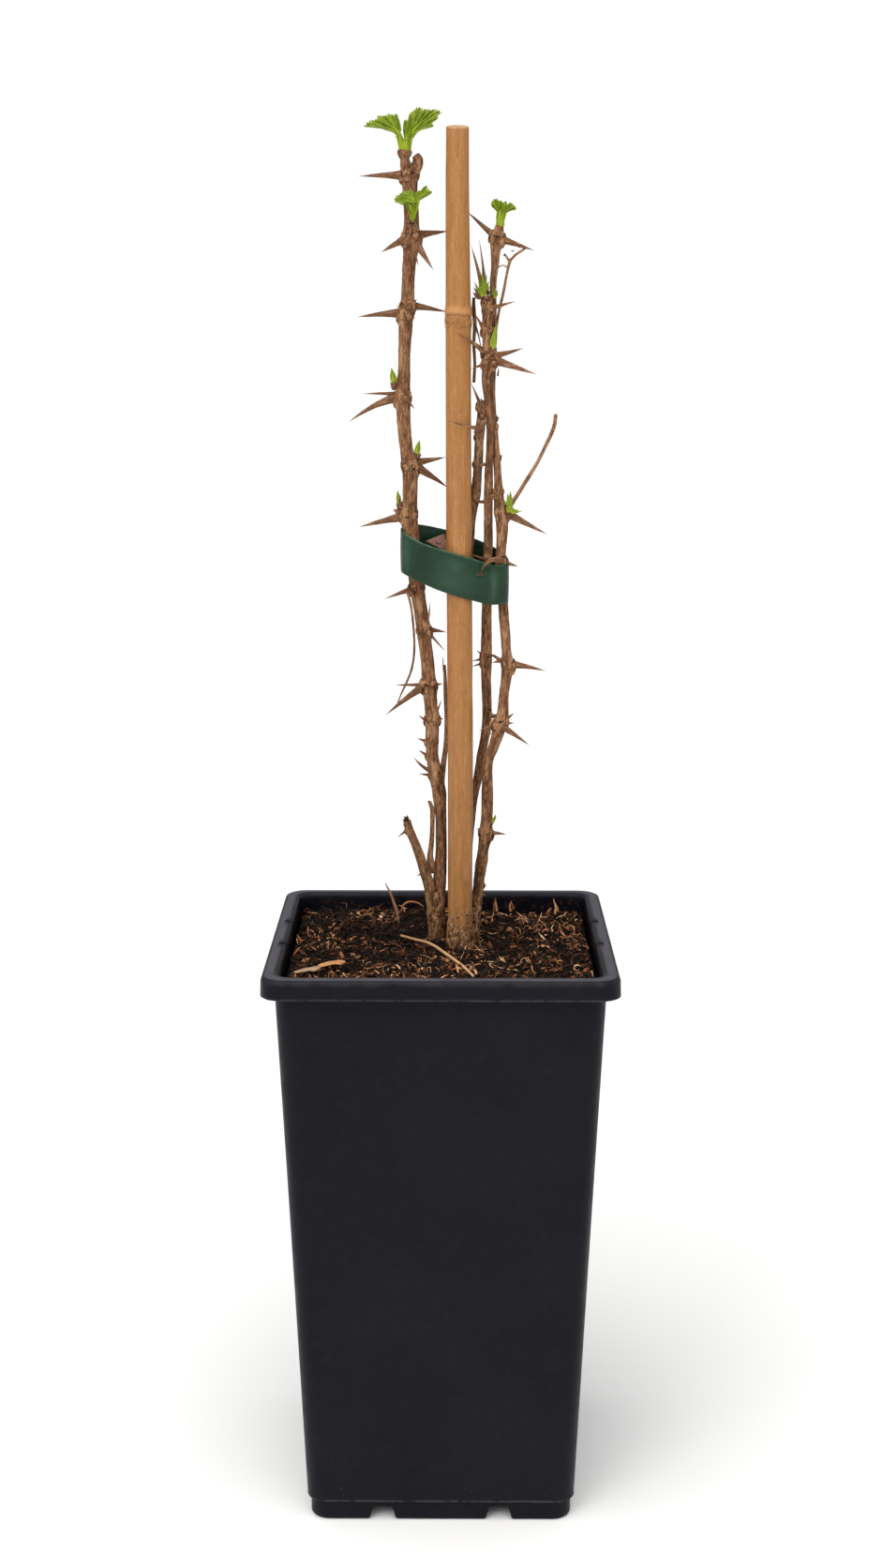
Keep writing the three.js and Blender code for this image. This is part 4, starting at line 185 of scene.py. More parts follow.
BUD_SCALES = [
    ("bud_left_upper", [
        ([-17.54, 3.6, 429.45], [-18.5, 3.2, 435.91], 2.6, [-0.2, -1.0, 0.1], 0, 0.05),
        ([-17.1, 3.9, 429.62], [-17.62, 3.6, 433.87], 2.3, [0.7, -0.7, 0.1], 0, 0.12),
        ([-18.01, 4.2, 429.44], [-18.95, 4.0, 433.53], 2, [-1.0, -0.3, 0.1], 0, 0.1),
        ([-17.68, 5.0, 429.77], [-18.34, 4.6, 434.88], 2, [0.0, 1.0, 0.1], 0, 0.05),
        ([-16.88, 3.4, 428.44], [-17.16, 2.8, 431.16], 2.2, [0.5, -1.0, 0.1], 1, 0.25),
        ([-18.2, 3.6, 428.43], [-18.87, 3.2, 430.65], 1.9, [-0.8, -0.6, 0.1], 1, 0.3),
    ]),
    ("bud_left_middle", [
        ([-9.39, 3.6, 403.75], [-8.18, 3.4, 409.61], 2.2, [0.1, -1.0, 0.1], 0, 0.05),
        ([-8.9, 4.0, 404.07], [-8.09, 3.9, 408.56], 1.7, [0.9, -0.5, 0.1], 0, 0.1),
        ([-9.68, 4.2, 403.72], [-8.9, 4.2, 407.17], 1.6, [-0.9, -0.3, 0.1], 0, 0.05),
        ([-9.2, 4.8, 403.35], [-8.42, 4.6, 407.84], 1.6, [0.0, 1.0, 0.0], 0, 0.05),
        ([-8.9, 3.4, 402.72], [-7.7, 3.0, 404.81], 1.7, [0.5, -1.0, 0.0], 1, 0.3),
        ([-9.73, 3.4, 402.72], [-10.0, 3.0, 405.16], 1.5, [-0.6, -1.0, 0.0], 1, 0.2),
    ]),
    ("bud_left_lower", [
        ([-15.83, 4.2, 384.97], [-16.5, 3.9, 391.09], 1.9, [-0.1, -1.0, 0.1], 0, 0.05),
        ([-15.35, 4.4, 385.31], [-15.47, 4.2, 389.16], 1.6, [0.8, -0.6, 0.1], 1, 0.1),
        ([-16.23, 4.6, 384.94], [-16.81, 4.4, 388.79], 1.4, [-1.0, -0.2, 0.1], 0, 0.05),
        ([-15.86, 5.2, 384.9], [-16.26, 5.0, 389.8], 1.5, [0.0, 1.0, 0.0], 0, 0.05),
        ([-15.34, 3.8, 383.96], [-14.89, 3.4, 387.12], 1.8, [0.5, -1.0, 0.0], 1, 0.15),
        ([-16.39, 4.0, 383.94], [-16.72, 3.6, 386.41], 1.4, [-0.6, -0.8, 0.0], 1, 0.3),
    ]),
    ("bud_right_top", [
        ([14.34, 3.0, 461.23], [11.97, 2.8, 466.83], 1.05, [-0.45, -1.0, 0.1], 0, 0.0509772),
        ([14.52, 2.8, 461.22], [12.76, 2.4, 465.48], 1.1, [-0.33, -1.0, 0.1], 0, 0.0664323),
        ([14.71, 2.7, 461.22], [13.54, 2.2, 466.97], 1.1, [-0.22, -1.0, 0.1], 0, 0.0733752),
        ([14.93, 3.1, 461.23], [14.43, 3.0, 467.67], 1.1, [-0.09, -1.0, 0.1], 0, 0.0925185),
        ([15.14, 2.7, 461.22], [15.31, 2.2, 468.8], 1.1, [0.04, -1.0, 0.1], 0, 0.0661868),
        ([15.43, 2.6, 461.22], [16.54, 2.0, 469.29], 1.15, [0.22, -1.0, 0.1], 0, 0.0899022),
        ([15.65, 2.9, 461.22], [17.45, 2.6, 466.99], 1.15, [0.35, -1.0, 0.1], 0, -0.0262293),
        ([15.72, 2.7, 461.22], [17.72, 2.2, 465.14], 1.15, [0.39, -1.0, 0.1], 0, 0.0305309),
        ([15.28, 2.4, 461.21], [15.92, 1.6, 467.45], 1.25, [0.13, -1.0, 0.1], 0, 0.0926364),
        ([14.84, 2.4, 461.21], [14.08, 1.6, 465.62], 1.3, [-0.14, -1.0, 0.1], 0, 0.0543667),
        ([15.07, 2.2, 461.21], [15.03, 1.2, 465.78], 1.3, [0.0, -1.0, 0.1], 0, 0.0871171),
        ([15.51, 2.35, 461.21], [16.89, 1.5, 465.12], 1.3, [0.27, -1.0, 0.1], 0, -0.0152832),
        ([14.62, 2.35, 461.21], [13.2, 1.5, 463.95], 1.2, [-0.27, -1.0, 0.1], 0, 0.030979),
        ([15.05, 3.3, 461.23], [14.89, 3.4, 474.67], 0.75, [-0.02, -1.0, 0.1], 0, 0.00205447),
        ([14.27, 2.8, 460.49], [11.7, 2.4, 464.81], 1.2, [-0.49, -1.0, 0.1], 1, 0.0406889),
        ([14.17, 2.8, 460.49], [11.29, 2.4, 462.98], 1.3, [-0.55, -1.0, 0.1], 1, 0.0446124),
        ([14.3, 2.55, 460.48], [11.84, 1.9, 461.8], 1.2, [-0.47, -1.0, 0.1], 1, -0.0282952),
        ([14.58, 2.3, 460.47], [13.0, 1.4, 462.45], 1.1, [-0.3, -1.0, 0.1], 1, -0.00182513),
        ([14.76, 4.2, 461.26], [13.71, 5.2, 467.24], 1.2, [0.0, 1.0, 0.1], 0, 0.00633271),
        ([15.26, 4.3, 461.26], [15.77, 5.4, 467.75], 1.3, [0.0, 1.0, 0.1], 0, 0.0891249),
        ([15.63, 4.1, 461.25], [17.32, 5.0, 465.9], 1.2, [0.0, 1.0, 0.1], 0, 0.0695443),
        ([14.47, 4.0, 461.25], [12.5, 4.8, 465.89], 1.1, [0.0, 1.0, 0.1], 0, -0.00925145),
    ]),
    ("bud_right_small", [
        ([19.14, 6.9, 460.76], [18.56, 6.4, 464.27], 1.2, [-0.2, -1.0, 0.1], 0, 0.05),
        ([19.34, 6.7, 460.75], [19.72, 6.0, 464.72], 1.3, [0.1, -1.0, 0.1], 0, 0.05),
        ([19.55, 6.8, 460.75], [20.56, 6.4, 463.93], 1.3, [0.3, -1.0, 0.1], 0, 0.05),
        ([19.69, 7.2, 460.76], [20.92, 7.0, 462.6], 1, [0.8, -0.6, 0.0], 0, 0.05),
        ([19.07, 6.9, 460.45], [18.43, 6.6, 462.26], 1, [-0.6, -0.8, 0.0], 1, 0.1),
        ([19.43, 8.0, 460.78], [19.62, 7.8, 464.31], 1.4, [0.0, 1.0, 0.0], 0, 0.05),
    ]),
    ("bud_right_long", [
        ([18.71, 0.9, 441.5], [20.25, 1.8, 451.93], 2.3, [0.1, -1.0, 0.05], 0, 0),
        ([18.23, 1.0, 441.5], [19.37, 1.6, 449.41], 1.9, [-0.5, -1.0, 0.05], 0, 0.02),
        ([19.41, 1.3, 441.67], [20.55, 2.2, 450.42], 1.7, [0.7, -0.7, 0.05], 0, 0.01),
        ([18.88, 2.6, 441.67], [20.22, 3.0, 450.09], 1.9, [0.0, 1.0, 0.05], 0, 0.05),
        ([18.23, 0.8, 440.82], [17.73, 0.5, 444.02], 1.5, [-0.4, -1.0, 0.0], 1, 0.1),
        ([19.26, 0.9, 440.82], [20.28, 0.7, 443.35], 1.4, [0.4, -1.0, 0.0], 1, 0.1),
    ]),
    ("bud_right_tie", [
        ([25.37, 3.6, 382.94], [24.68, 3.0, 389.95], 1.9, [-0.2, -1.0, 0.1], 0, 0.05),
        ([25.64, 3.2, 382.97], [25.71, 2.6, 390.84], 2, [0.1, -1.0, 0.1], 0, 0.05),
        ([24.75, 3.8, 382.93], [23.52, 3.6, 387.47], 1.4, [-0.6, -0.8, 0.1], 0, 0.05),
        ([26.07, 3.4, 383.13], [26.51, 2.8, 388.22], 1.5, [0.5, -0.9, 0.1], 0, 0.05),
        ([25.92, 3.0, 382.99], [28.9, 2.0, 383.9], 1.5, [0.1, -0.9, 0.5], 0, 0.1),
        ([25.93, 3.4, 382.78], [30.52, 2.4, 383.31], 0.8, [0.1, -0.7, 0.7], 0, 0.15),
        ([24.47, 3.8, 382.58], [23.6, 3.4, 384.7], 1.4, [-0.6, -0.8, 0.1], 1, 0.2),
        ([25.08, 3.0, 382.64], [24.55, 2.4, 385.82], 1.5, [-0.2, -1.0, 0.1], 0, 0.05),
        ([25.48, 5.0, 382.84], [25.44, 4.8, 388.78], 1.7, [0.0, 1.0, 0.0], 0, 0.05),
        ([26.41, 3.0, 382.47], [27.08, 2.4, 384.78], 1.3, [0.4, -1.0, 0.0], 0, 0.1),
    ]),
    ("bud_right_low", [
        ([19.65, 6.2, 262.48], [21.07, 5.8, 266.67], 1.3, [0.2, -1.0, 0.1], 0, 0.05),
        ([20.09, 6.4, 262.62], [21.3, 6.2, 265.46], 1, [0.9, -0.4, 0.1], 0, 0.05),
        ([19.44, 6.9, 262.32], [20.44, 6.8, 265.33], 1.1, [0.0, 1.0, 0.0], 0, 0.05),
        ([19.36, 6.0, 261.97], [18.98, 5.6, 264.11], 1.1, [-0.5, -1.0, 0.0], 1, 0.2),
    ]),
]


# ------------------------------------------------------------------ noise
def _hash(x, y, z, s):
    with np.errstate(over="ignore"):
        h = (x.astype(np.uint32) * np.uint32(374761393) + y.astype(np.uint32) * np.uint32(668265263)
             + z.astype(np.uint32) * np.uint32(2246822519) + np.uint32(s) * np.uint32(3266489917))
        h = (h ^ (h >> np.uint32(13))) * np.uint32(1274126177)
        h = h ^ (h >> np.uint32(16))
    return (h & np.uint32(0xFFFFFF)).astype(np.float64) / 0xFFFFFF * 2 - 1


def vnoise(p, seed=0):
    p = np.asarray(p, float)
    i = np.floor(p).astype(np.int64)
    f = p - i
    u = f * f * f * (f * (f * 6 - 15) + 10)
    x, y, z = i[..., 0], i[..., 1], i[..., 2]
    ux, uy, uz = u[..., 0], u[..., 1], u[..., 2]
    def c(a, b, d):
        return _hash(x + a, y + b, z + d, seed)
    x00 = c(0, 0, 0) * (1 - ux) + c(1, 0, 0) * ux
    x10 = c(0, 1, 0) * (1 - ux) + c(1, 1, 0) * ux
    x01 = c(0, 0, 1) * (1 - ux) + c(1, 0, 1) * ux
    x11 = c(0, 1, 1) * (1 - ux) + c(1, 1, 1) * ux
    return (x00 * (1 - uy) + x10 * uy) * (1 - uz) + (x01 * (1 - uy) + x11 * uy) * uz


def fbm(p, octaves=4, seed=0, gain=0.5):
    p = np.asarray(p, float)
    out = 0
    a = 1.0
    norm = 0
    for k in range(octaves):
        out = out + a * vnoise(p * (2.03 ** k) + 17.3 * k, seed + k)
        norm += a
        a *= gain
    return out / norm


def smooth(x, a, b):
    t = np.clip((x - a) / (b - a), 0, 1)
    return t * t * (3 - 2 * t)


# ------------------------------------------------------------------ mesh helpers
class Soup:
    """Vertices, faces and point attributes gathered into one mesh."""

    def __init__(self):
        self.v, self.f, self.a, self.n = [], [], {}, 0

    def add(self, v, faces, **attrs):
        v = np.asarray(v, float).reshape(-1, 3)
        self.v.append(v)
        for f in faces:
            f = np.asarray(f, np.int64)
            if len(f):
                self.f.append(f + self.n)
        for k, val in attrs.items():
            val = np.asarray(val, float)
            if val.ndim == 0:
                val = np.full(len(v), float(val))
            self.a.setdefault(k, []).append((self.n, val))
        self.n += len(v)

    def build(self, name, mat, replaces=(), smooth_angle=None, flat=False):
        V = np.concatenate(self.v)
        me = bpy.data.meshes.new(name)
        nl = sum(f.size for f in self.f)
        nf = sum(len(f) for f in self.f)
        me.vertices.add(len(V))
        me.vertices.foreach_set("co", (V * MM).astype(np.float32).ravel())
        me.loops.add(nl)
        me.loops.foreach_set("vertex_index", np.concatenate([f.ravel() for f in self.f]).astype(np.int32))
        me.polygons.add(nf)
        sizes = np.concatenate([np.full(len(f), f.shape[1]) for f in self.f])
        starts = np.concatenate([[0], np.cumsum(sizes)[:-1]]).astype(np.int32)
        me.polygons.foreach_set("loop_start", starts)
        me.update(calc_edges=True)
        me.validate()
        me.polygons.foreach_set("use_smooth", np.full(len(me.polygons), not flat))
        for k, parts in self.a.items():
            dim = parts[0][1].ndim
            if dim == 2:
                arr = np.zeros((len(V), 3), np.float32)
                for at, val in parts:
                    arr[at:at + len(val)] = val
                me.attributes.new(k, "FLOAT_VECTOR", "POINT").data.foreach_set("vector", arr.ravel())
            else:
                arr = np.zeros(len(V), np.float32)
                for at, val in parts:
                    arr[at:at + len(val)] = val
                me.attributes.new(k, "FLOAT", "POINT").data.foreach_set("value", arr)
        if smooth_angle:
            me.set_sharp_from_angle(angle=math.radians(smooth_angle))
        ob = bpy.data.objects.new(name, me)
        bpy.context.scene.collection.objects.link(ob)
        me.materials.append(mat)
        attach(ob, "root")
        if replaces:
            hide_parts(*replaces)
        return ob


def unit(v):
    v = np.asarray(v, float)
    return v / (np.linalg.norm(v, axis=-1, keepdims=True) + 1e-12)


def spline(rows, step):
    P = np.array(rows, float)
    d = np.r_[0, np.cumsum(np.linalg.norm(np.diff(P[:, :3], axis=0), axis=1))]
    m = np.zeros_like(P)
    if len(P) > 2:
        m[1:-1] = (P[2:] - P[:-2]) / (d[2:] - d[:-2])[:, None]
    m[0] = (P[1] - P[0]) / (d[1] - d[0])
    m[-1] = (P[-1] - P[-2]) / (d[-1] - d[-2])
    n = max(3, int(round(d[-1] / step)) + 1)
    t = np.linspace(0, d[-1], n)
    i = np.clip(np.searchsorted(d, t, side="right") - 1, 0, len(d) - 2)
    h = (d[i + 1] - d[i])[:, None]
    u = (t[:, None] - d[i][:, None]) / h
    Q = ((2 * u ** 3 - 3 * u ** 2 + 1) * P[i] + (u ** 3 - 2 * u ** 2 + u) * h * m[i]
         + (-2 * u ** 3 + 3 * u ** 2) * P[i + 1] + (u ** 3 - u ** 2) * h * m[i + 1])
    return Q, t


def frames(C, start=(1, 0, 0)):
    T = unit(np.gradient(C, axis=0))
    N = np.zeros_like(T)
    s = np.array(start, float)
    for k in range(len(C)):
        s = s - T[k] * (s @ T[k])
        if np.linalg.norm(s) < 1e-4:
            s = np.cross(T[k], [0, 0, 1.0])
        s = s / np.linalg.norm(s)
        N[k] = s
    return T, N, np.cross(T, N)


def grid_faces(n, m, closed=True):
    i = np.arange(n - 1)[:, None]
    k = np.arange(m if closed else m - 1)[None, :]
    k2 = (k + 1) % m
    a = i * m + k
    b = i * m + k2
    return np.stack([a, b, b + m, a + m], -1).reshape(-1, 4)


def tube(soup, rows, step, sides, disp=None, cut0=False, cut1=False, round1=0.0, squash=1.0, seed=0, offset=0.0, **attrs):
    """A closed tube along rows; disp(co3, pos, s, th, R) gives the outward move of every point."""
    Q, s = spline(rows, step)
    C, R = Q[:, :3], np.maximum(Q[:, 3], 0.03)
    if round1:
        R = R * np.sqrt(np.clip(1 - (np.clip(s - (s[-1] - round1), 0, None) / (round1 * 1.02)) ** 2, 0, 1))
    T, N, B = frames(C)
    th = np.linspace(0, 2 * np.pi, sides, endpoint=False)
    D = N[:, None] * np.cos(th)[None, :, None] + B[:, None] * np.sin(th)[None, :, None] * squash
    co3 = np.stack([R[:, None] * np.cos(th), R[:, None] * np.sin(th), np.broadcast_to(s[:, None], (len(s), sides))], -1)
    co3 = co3 + np.array([offset * 3.1, offset * 1.7, offset * 11.0])
    P = C[:, None] + D * R[:, None, None]
    relief = np.full(P.shape[:2], 0.5)
    if disp is not None:
        dd = disp(co3, P, s[:, None], th[None, :], R[:, None])
        P = P + D * dd[..., None]
        # relief: each point's outward move against its ring's mean; the bark materials paint shade where it is low and
        # highlight where it is high
        flat = dd - np.mean(dd, axis=1, keepdims=True)
        relief = np.clip(0.5 + flat / (np.abs(flat).mean() * 5.0 + 1e-6), 0, 1)
    V = P.reshape(-1, 3)
    n = len(s)
    F = [grid_faces(n, sides)]
    extra, eco, tri = [], [], []
    def cap(ring, centre, at, flip, rough):
        nonlocal V, co3
        base = ring * sides
        mids = []
        for q, inset in enumerate((0.82, 0.5)):
            pts = centre + (P[ring] - centre) * inset + at * (0.05 + 0.12 * rough * fbm(P[ring] * 1.7 + q, 2, seed))[:, None]
            mids.append(pts)
        return mids
    flatco = co3.reshape(-1, 3)
    allV, allC = [V], [flatco]
    count = len(V)
    cutmask = [np.zeros(len(V))]
    for ring, sign, is_cut in ((0, -1, cut0), (n - 1, 1, cut1)):
        centre = P[ring].mean(0)
        loop = np.arange(sides) + ring * sides
        if is_cut:
            for inset, up in ((0.86, 0.10), (0.55, 0.04), (0.22, -0.16)):
                pts = centre + (P[ring] - centre) * inset + T[ring] * sign * (up + 0.14 * fbm(P[ring] * 2.3 + inset * 9, 2, seed))[:, None]
                allV.append(pts)
                allC.append(co3[ring] * [inset, inset, 1])
                cutmask.append(np.full(sides, 1.0 - 0.25 * inset))
                new = np.arange(sides) + count
                q = np.stack([loop, np.roll(loop, -1), np.roll(new, -1), new], -1)
                F.append(q if sign > 0 else q[:, ::-1])
                loop = new
                count += sides
        allV.append(centre[None] + T[ring] * sign * (-0.1 if is_cut else 0.0))
        allC.append(co3[ring].mean(0)[None])
        cutmask.append(np.array([1.0 if is_cut else 0.0]))
        tri = np.stack([loop, np.roll(loop, -1), np.full(sides, count)], -1)
        F.append(tri if sign > 0 else tri[:, ::-1])
        count += 1
    V = np.concatenate(allV)
    rel = np.concatenate([relief.ravel(), np.full(len(V) - relief.size, 0.5)])
    soup.add(V, F, co3=np.concatenate(allC), cut=np.concatenate(cutmask), relief=rel, **attrs)
    return C, R, T, N, B, s


def thorn(soup, b, r, t, mid=None, n=18, m=12, seed=0, droop=0.03, **attrs):
    b, t = np.array(b, float), np.array(t, float)
    L = np.linalg.norm(t - b)
    r_ = np.random.default_rng(1000 + seed)
    if mid is not None:
        c = 2 * np.array(mid, float) - 0.5 * (b + t)
    else:
        side = np.cross(unit(t - b), [0, 1, 0])
        c = 0.5 * (b + t) + side * L * r_.uniform(-droop, droop) + np.array([0, 0, 1]) * L * r_.uniform(0, droop)
    u = np.linspace(0, 1, n) ** 1.15
    C = ((1 - u) ** 2)[:, None] * b + (2 * u * (1 - u))[:, None] * c + (u ** 2)[:, None] * t
    R = r * (0.90 * (1 - u) ** 0.84 + 0.30 * np.exp(-u * L / (1.15 * r + 0.3))) * (1 - u ** 14) + 0.03
    T, N, B = frames(C, start=(0, 0, 1))
    th = np.linspace(0, 2 * np.pi, m, endpoint=False)
    D = N[:, None] * np.cos(th)[None, :, None] * 1.08 + B[:, None] * np.sin(th)[None, :, None] * 0.86
    s = u * L
    co3 = np.stack([R[:, None] * np.cos(th), R[:, None] * np.sin(th), np.broadcast_to(s[:, None], (n, m))], -1) + seed * 7.7
    wob = fbm(co3 * [1.1, 1.1, 0.35], 3, seed) * 0.10 * R[:, None] + 0.03 * fbm(co3 * 2.5, 2, seed + 5) * (R[:, None] > 0.2)
    P = C[:, None] + D * (R[:, None] + wob)[..., None]
    V = np.concatenate([P.reshape(-1, 3), [b], [t + unit(t - C[-2]) * 0.05]])
    k = np.arange(m)
    F = [grid_faces(n, m), np.stack([np.roll(k, -1), k, np.full(m, n * m)], -1),
         np.stack([k + (n - 1) * m, np.roll(k, -1) + (n - 1) * m, np.full(m, n * m + 1)], -1)]
    tt = np.concatenate([np.repeat(np.clip(u * 0.9 + 0.1, 0, 1), m), [0.1, 1]])
    soup.add(V, F, co3=np.concatenate([co3.reshape(-1, 3), [co3[0, 0], co3[-1, 0]]]), thorn=tt, cut=0.0, **attrs)


def knob(soup, centre, axis, out, size, seed=0, amp=0.16, n=16, m=24, **attrs):
    """A gnarled swelling: an ellipsoid (along the stem, across, outward) with ridges and pits."""
    axis, out = unit(axis), unit(out)
    out = unit(out - axis * (out @ axis))
    side = np.cross(axis, out)
    u = np.linspace(0.04, np.pi - 0.04, n)
    v = np.linspace(0, 2 * np.pi, m, endpoint=False)
    sp = np.stack([np.cos(u)[:, None] * np.ones(m), np.sin(u)[:, None] * np.cos(v), np.sin(u)[:, None] * np.sin(v)], -1)
    # fuller below than above, as an old leaf cushion is
    sp[..., 0] *= np.where(sp[..., 0] > 0, 1.0, 1.15)
    base = sp * np.asarray(size)
    w = base + 0.5 * np.stack([vnoise(base * 0.7 + seed, 1), vnoise(base * 0.7 + seed, 2), vnoise(base * 0.7 + seed, 3)], -1)
    k = fbm(w * 0.62 + seed * 3.1, 3, 5) * 1.4 + (0.45 - np.abs(vnoise(w * [1.5, 1.1, 1.1] + seed, 7))) * 0.9 + vnoise(w * 2.6, 9) * 0.25
    base = base * (1 + amp * k)[..., None]
    P = centre + axis * base[..., 0:1] + side * base[..., 1:2] + out * base[..., 2:3]
    kk = np.arange(m)
    V = np.concatenate([P.reshape(-1, 3), [P[0].mean(0)], [P[-1].mean(0)]])
    F = [grid_faces(n, m), np.stack([np.roll(kk, -1), kk, np.full(m, n * m)], -1), np.stack([kk + (n - 1) * m, np.roll(kk, -1) + (n - 1) * m, np.full(m, n * m + 1)], -1)]
    if (np.cross(P[n // 2, 1] - P[n // 2, 0], P[n // 2 + 1, 0] - P[n // 2, 0]) @ (P[n // 2, 0] - centre)) < 0:
        F = [f[:, ::-1] for f in F]
    co3 = np.concatenate([base.reshape(-1, 3)[:, [1, 2, 0]], base[0].mean(0)[None][:, [1, 2, 0]], base[-1].mean(0)[None][:, [1, 2, 0]]]) + seed * 5.3
    # knot follows the swelling's relief: the bark material turns it into painted shade in the pits and painted
    # highlight on the ridges
    knot = np.clip(0.62 + 0.55 * np.concatenate([k.ravel(), [0, 0]]), 0.12, 1)
    soup.add(V, F, co3=co3, knot=knot, cut=0.0, **attrs)


def crescent(soup, centre, axis, out, R, r, a0, a1, seed=0, lift=0.0, **attrs):
    """A raised curved lip, part of the rim of an old scar."""
    axis, out = unit(axis), unit(out)
    out = unit(out - axis * (out @ axis))
    side = np.cross(axis, out)
    r_ = np.random.default_rng(9000 + seed)
    t = np.linspace(a0, a1, 9)
    rows = []
    for i, a in enumerate(t):
        k = i / 8
        rr = R * (1 + r_.uniform(-0.08, 0.08))
        p = centre + side * math.cos(a) * rr + axis * math.sin(a) * rr * 1.1 + out * (lift - 0.35 * R * math.cos(a) ** 2)
        rows.append([*p, r * (0.35 + 1.1 * math.sin(math.pi * (0.12 + 0.76 * k)))])
    tube(soup, rows, 0.3, 10, lambda co3, P, s, th, R: vnoise(co3 * 2.0, seed) * 0.10, seed=seed, offset=seed * 0.37, **attrs)


def scale_leaf(soup, base, along, out, L, W, curl=0.25, thick=0.12, n=7, m=6, pointed=1.0, **attrs):
    """A small pointed scale: base, the way it grows and the way its back faces."""
    along = unit(along)
    out = unit(out - along * (out @ along))
    side = np.cross(along, out)
    u = np.linspace(0, 1, n)
    w = W * (np.sin(np.pi * np.clip(u, 0, 1) ** (0.75 if pointed > 0.5 else 0.55)) ** 0.9 * 0.9 + 0.28 * (1 - u)) * (1 - 0.15 * u)
    w[-1] = 0.03
    v = np.linspace(-1, 1, m)
    P = (base + along * (u * L)[:, None, None] + side * (w[:, None] * v[None] * 0.5)[..., None]
         + out * ((curl * L * (u ** 2))[:, None] * 0.6 - (np.abs(v) ** 2)[None] * w[:, None] * 0.28)[..., None])
    top = P.reshape(-1, 3)
    low = (P - out * (thick * (1 - 0.7 * u))[:, None, None]).reshape(-1, 3)
    g = grid_faces(n, m, closed=False)
    k = n * m
    edge = []
    for i in range(n - 1):
        edge.append([i * m, (i + 1) * m, (i + 1) * m + k, i * m + k])
        a, b_ = i * m + m - 1, (i + 1) * m + m - 1
        edge.append([b_, a, a + k, b_ + k])
    for j in range(m - 1):
        edge.append([j + 1, j, j + k, j + 1 + k])
        a = (n - 1) * m
        edge.append([a + j, a + j + 1, a + j + 1 + k, a + j + k])
    uu = np.concatenate([np.repeat(u, m)] * 2)
    vv = np.concatenate([np.tile(np.abs(v), n)] * 2)
    V = np.concatenate([top, low])
    nrm = out
    F = [g, g[:, ::-1] + k, np.array(edge)]
    co3 = np.stack([np.concatenate([np.tile(v * W, n)] * 2), np.zeros(2 * k), uu * L], -1) + base.sum() * 3.3
    soup.add(V, F, co3=co3, along=uu, across=vv, **attrs)


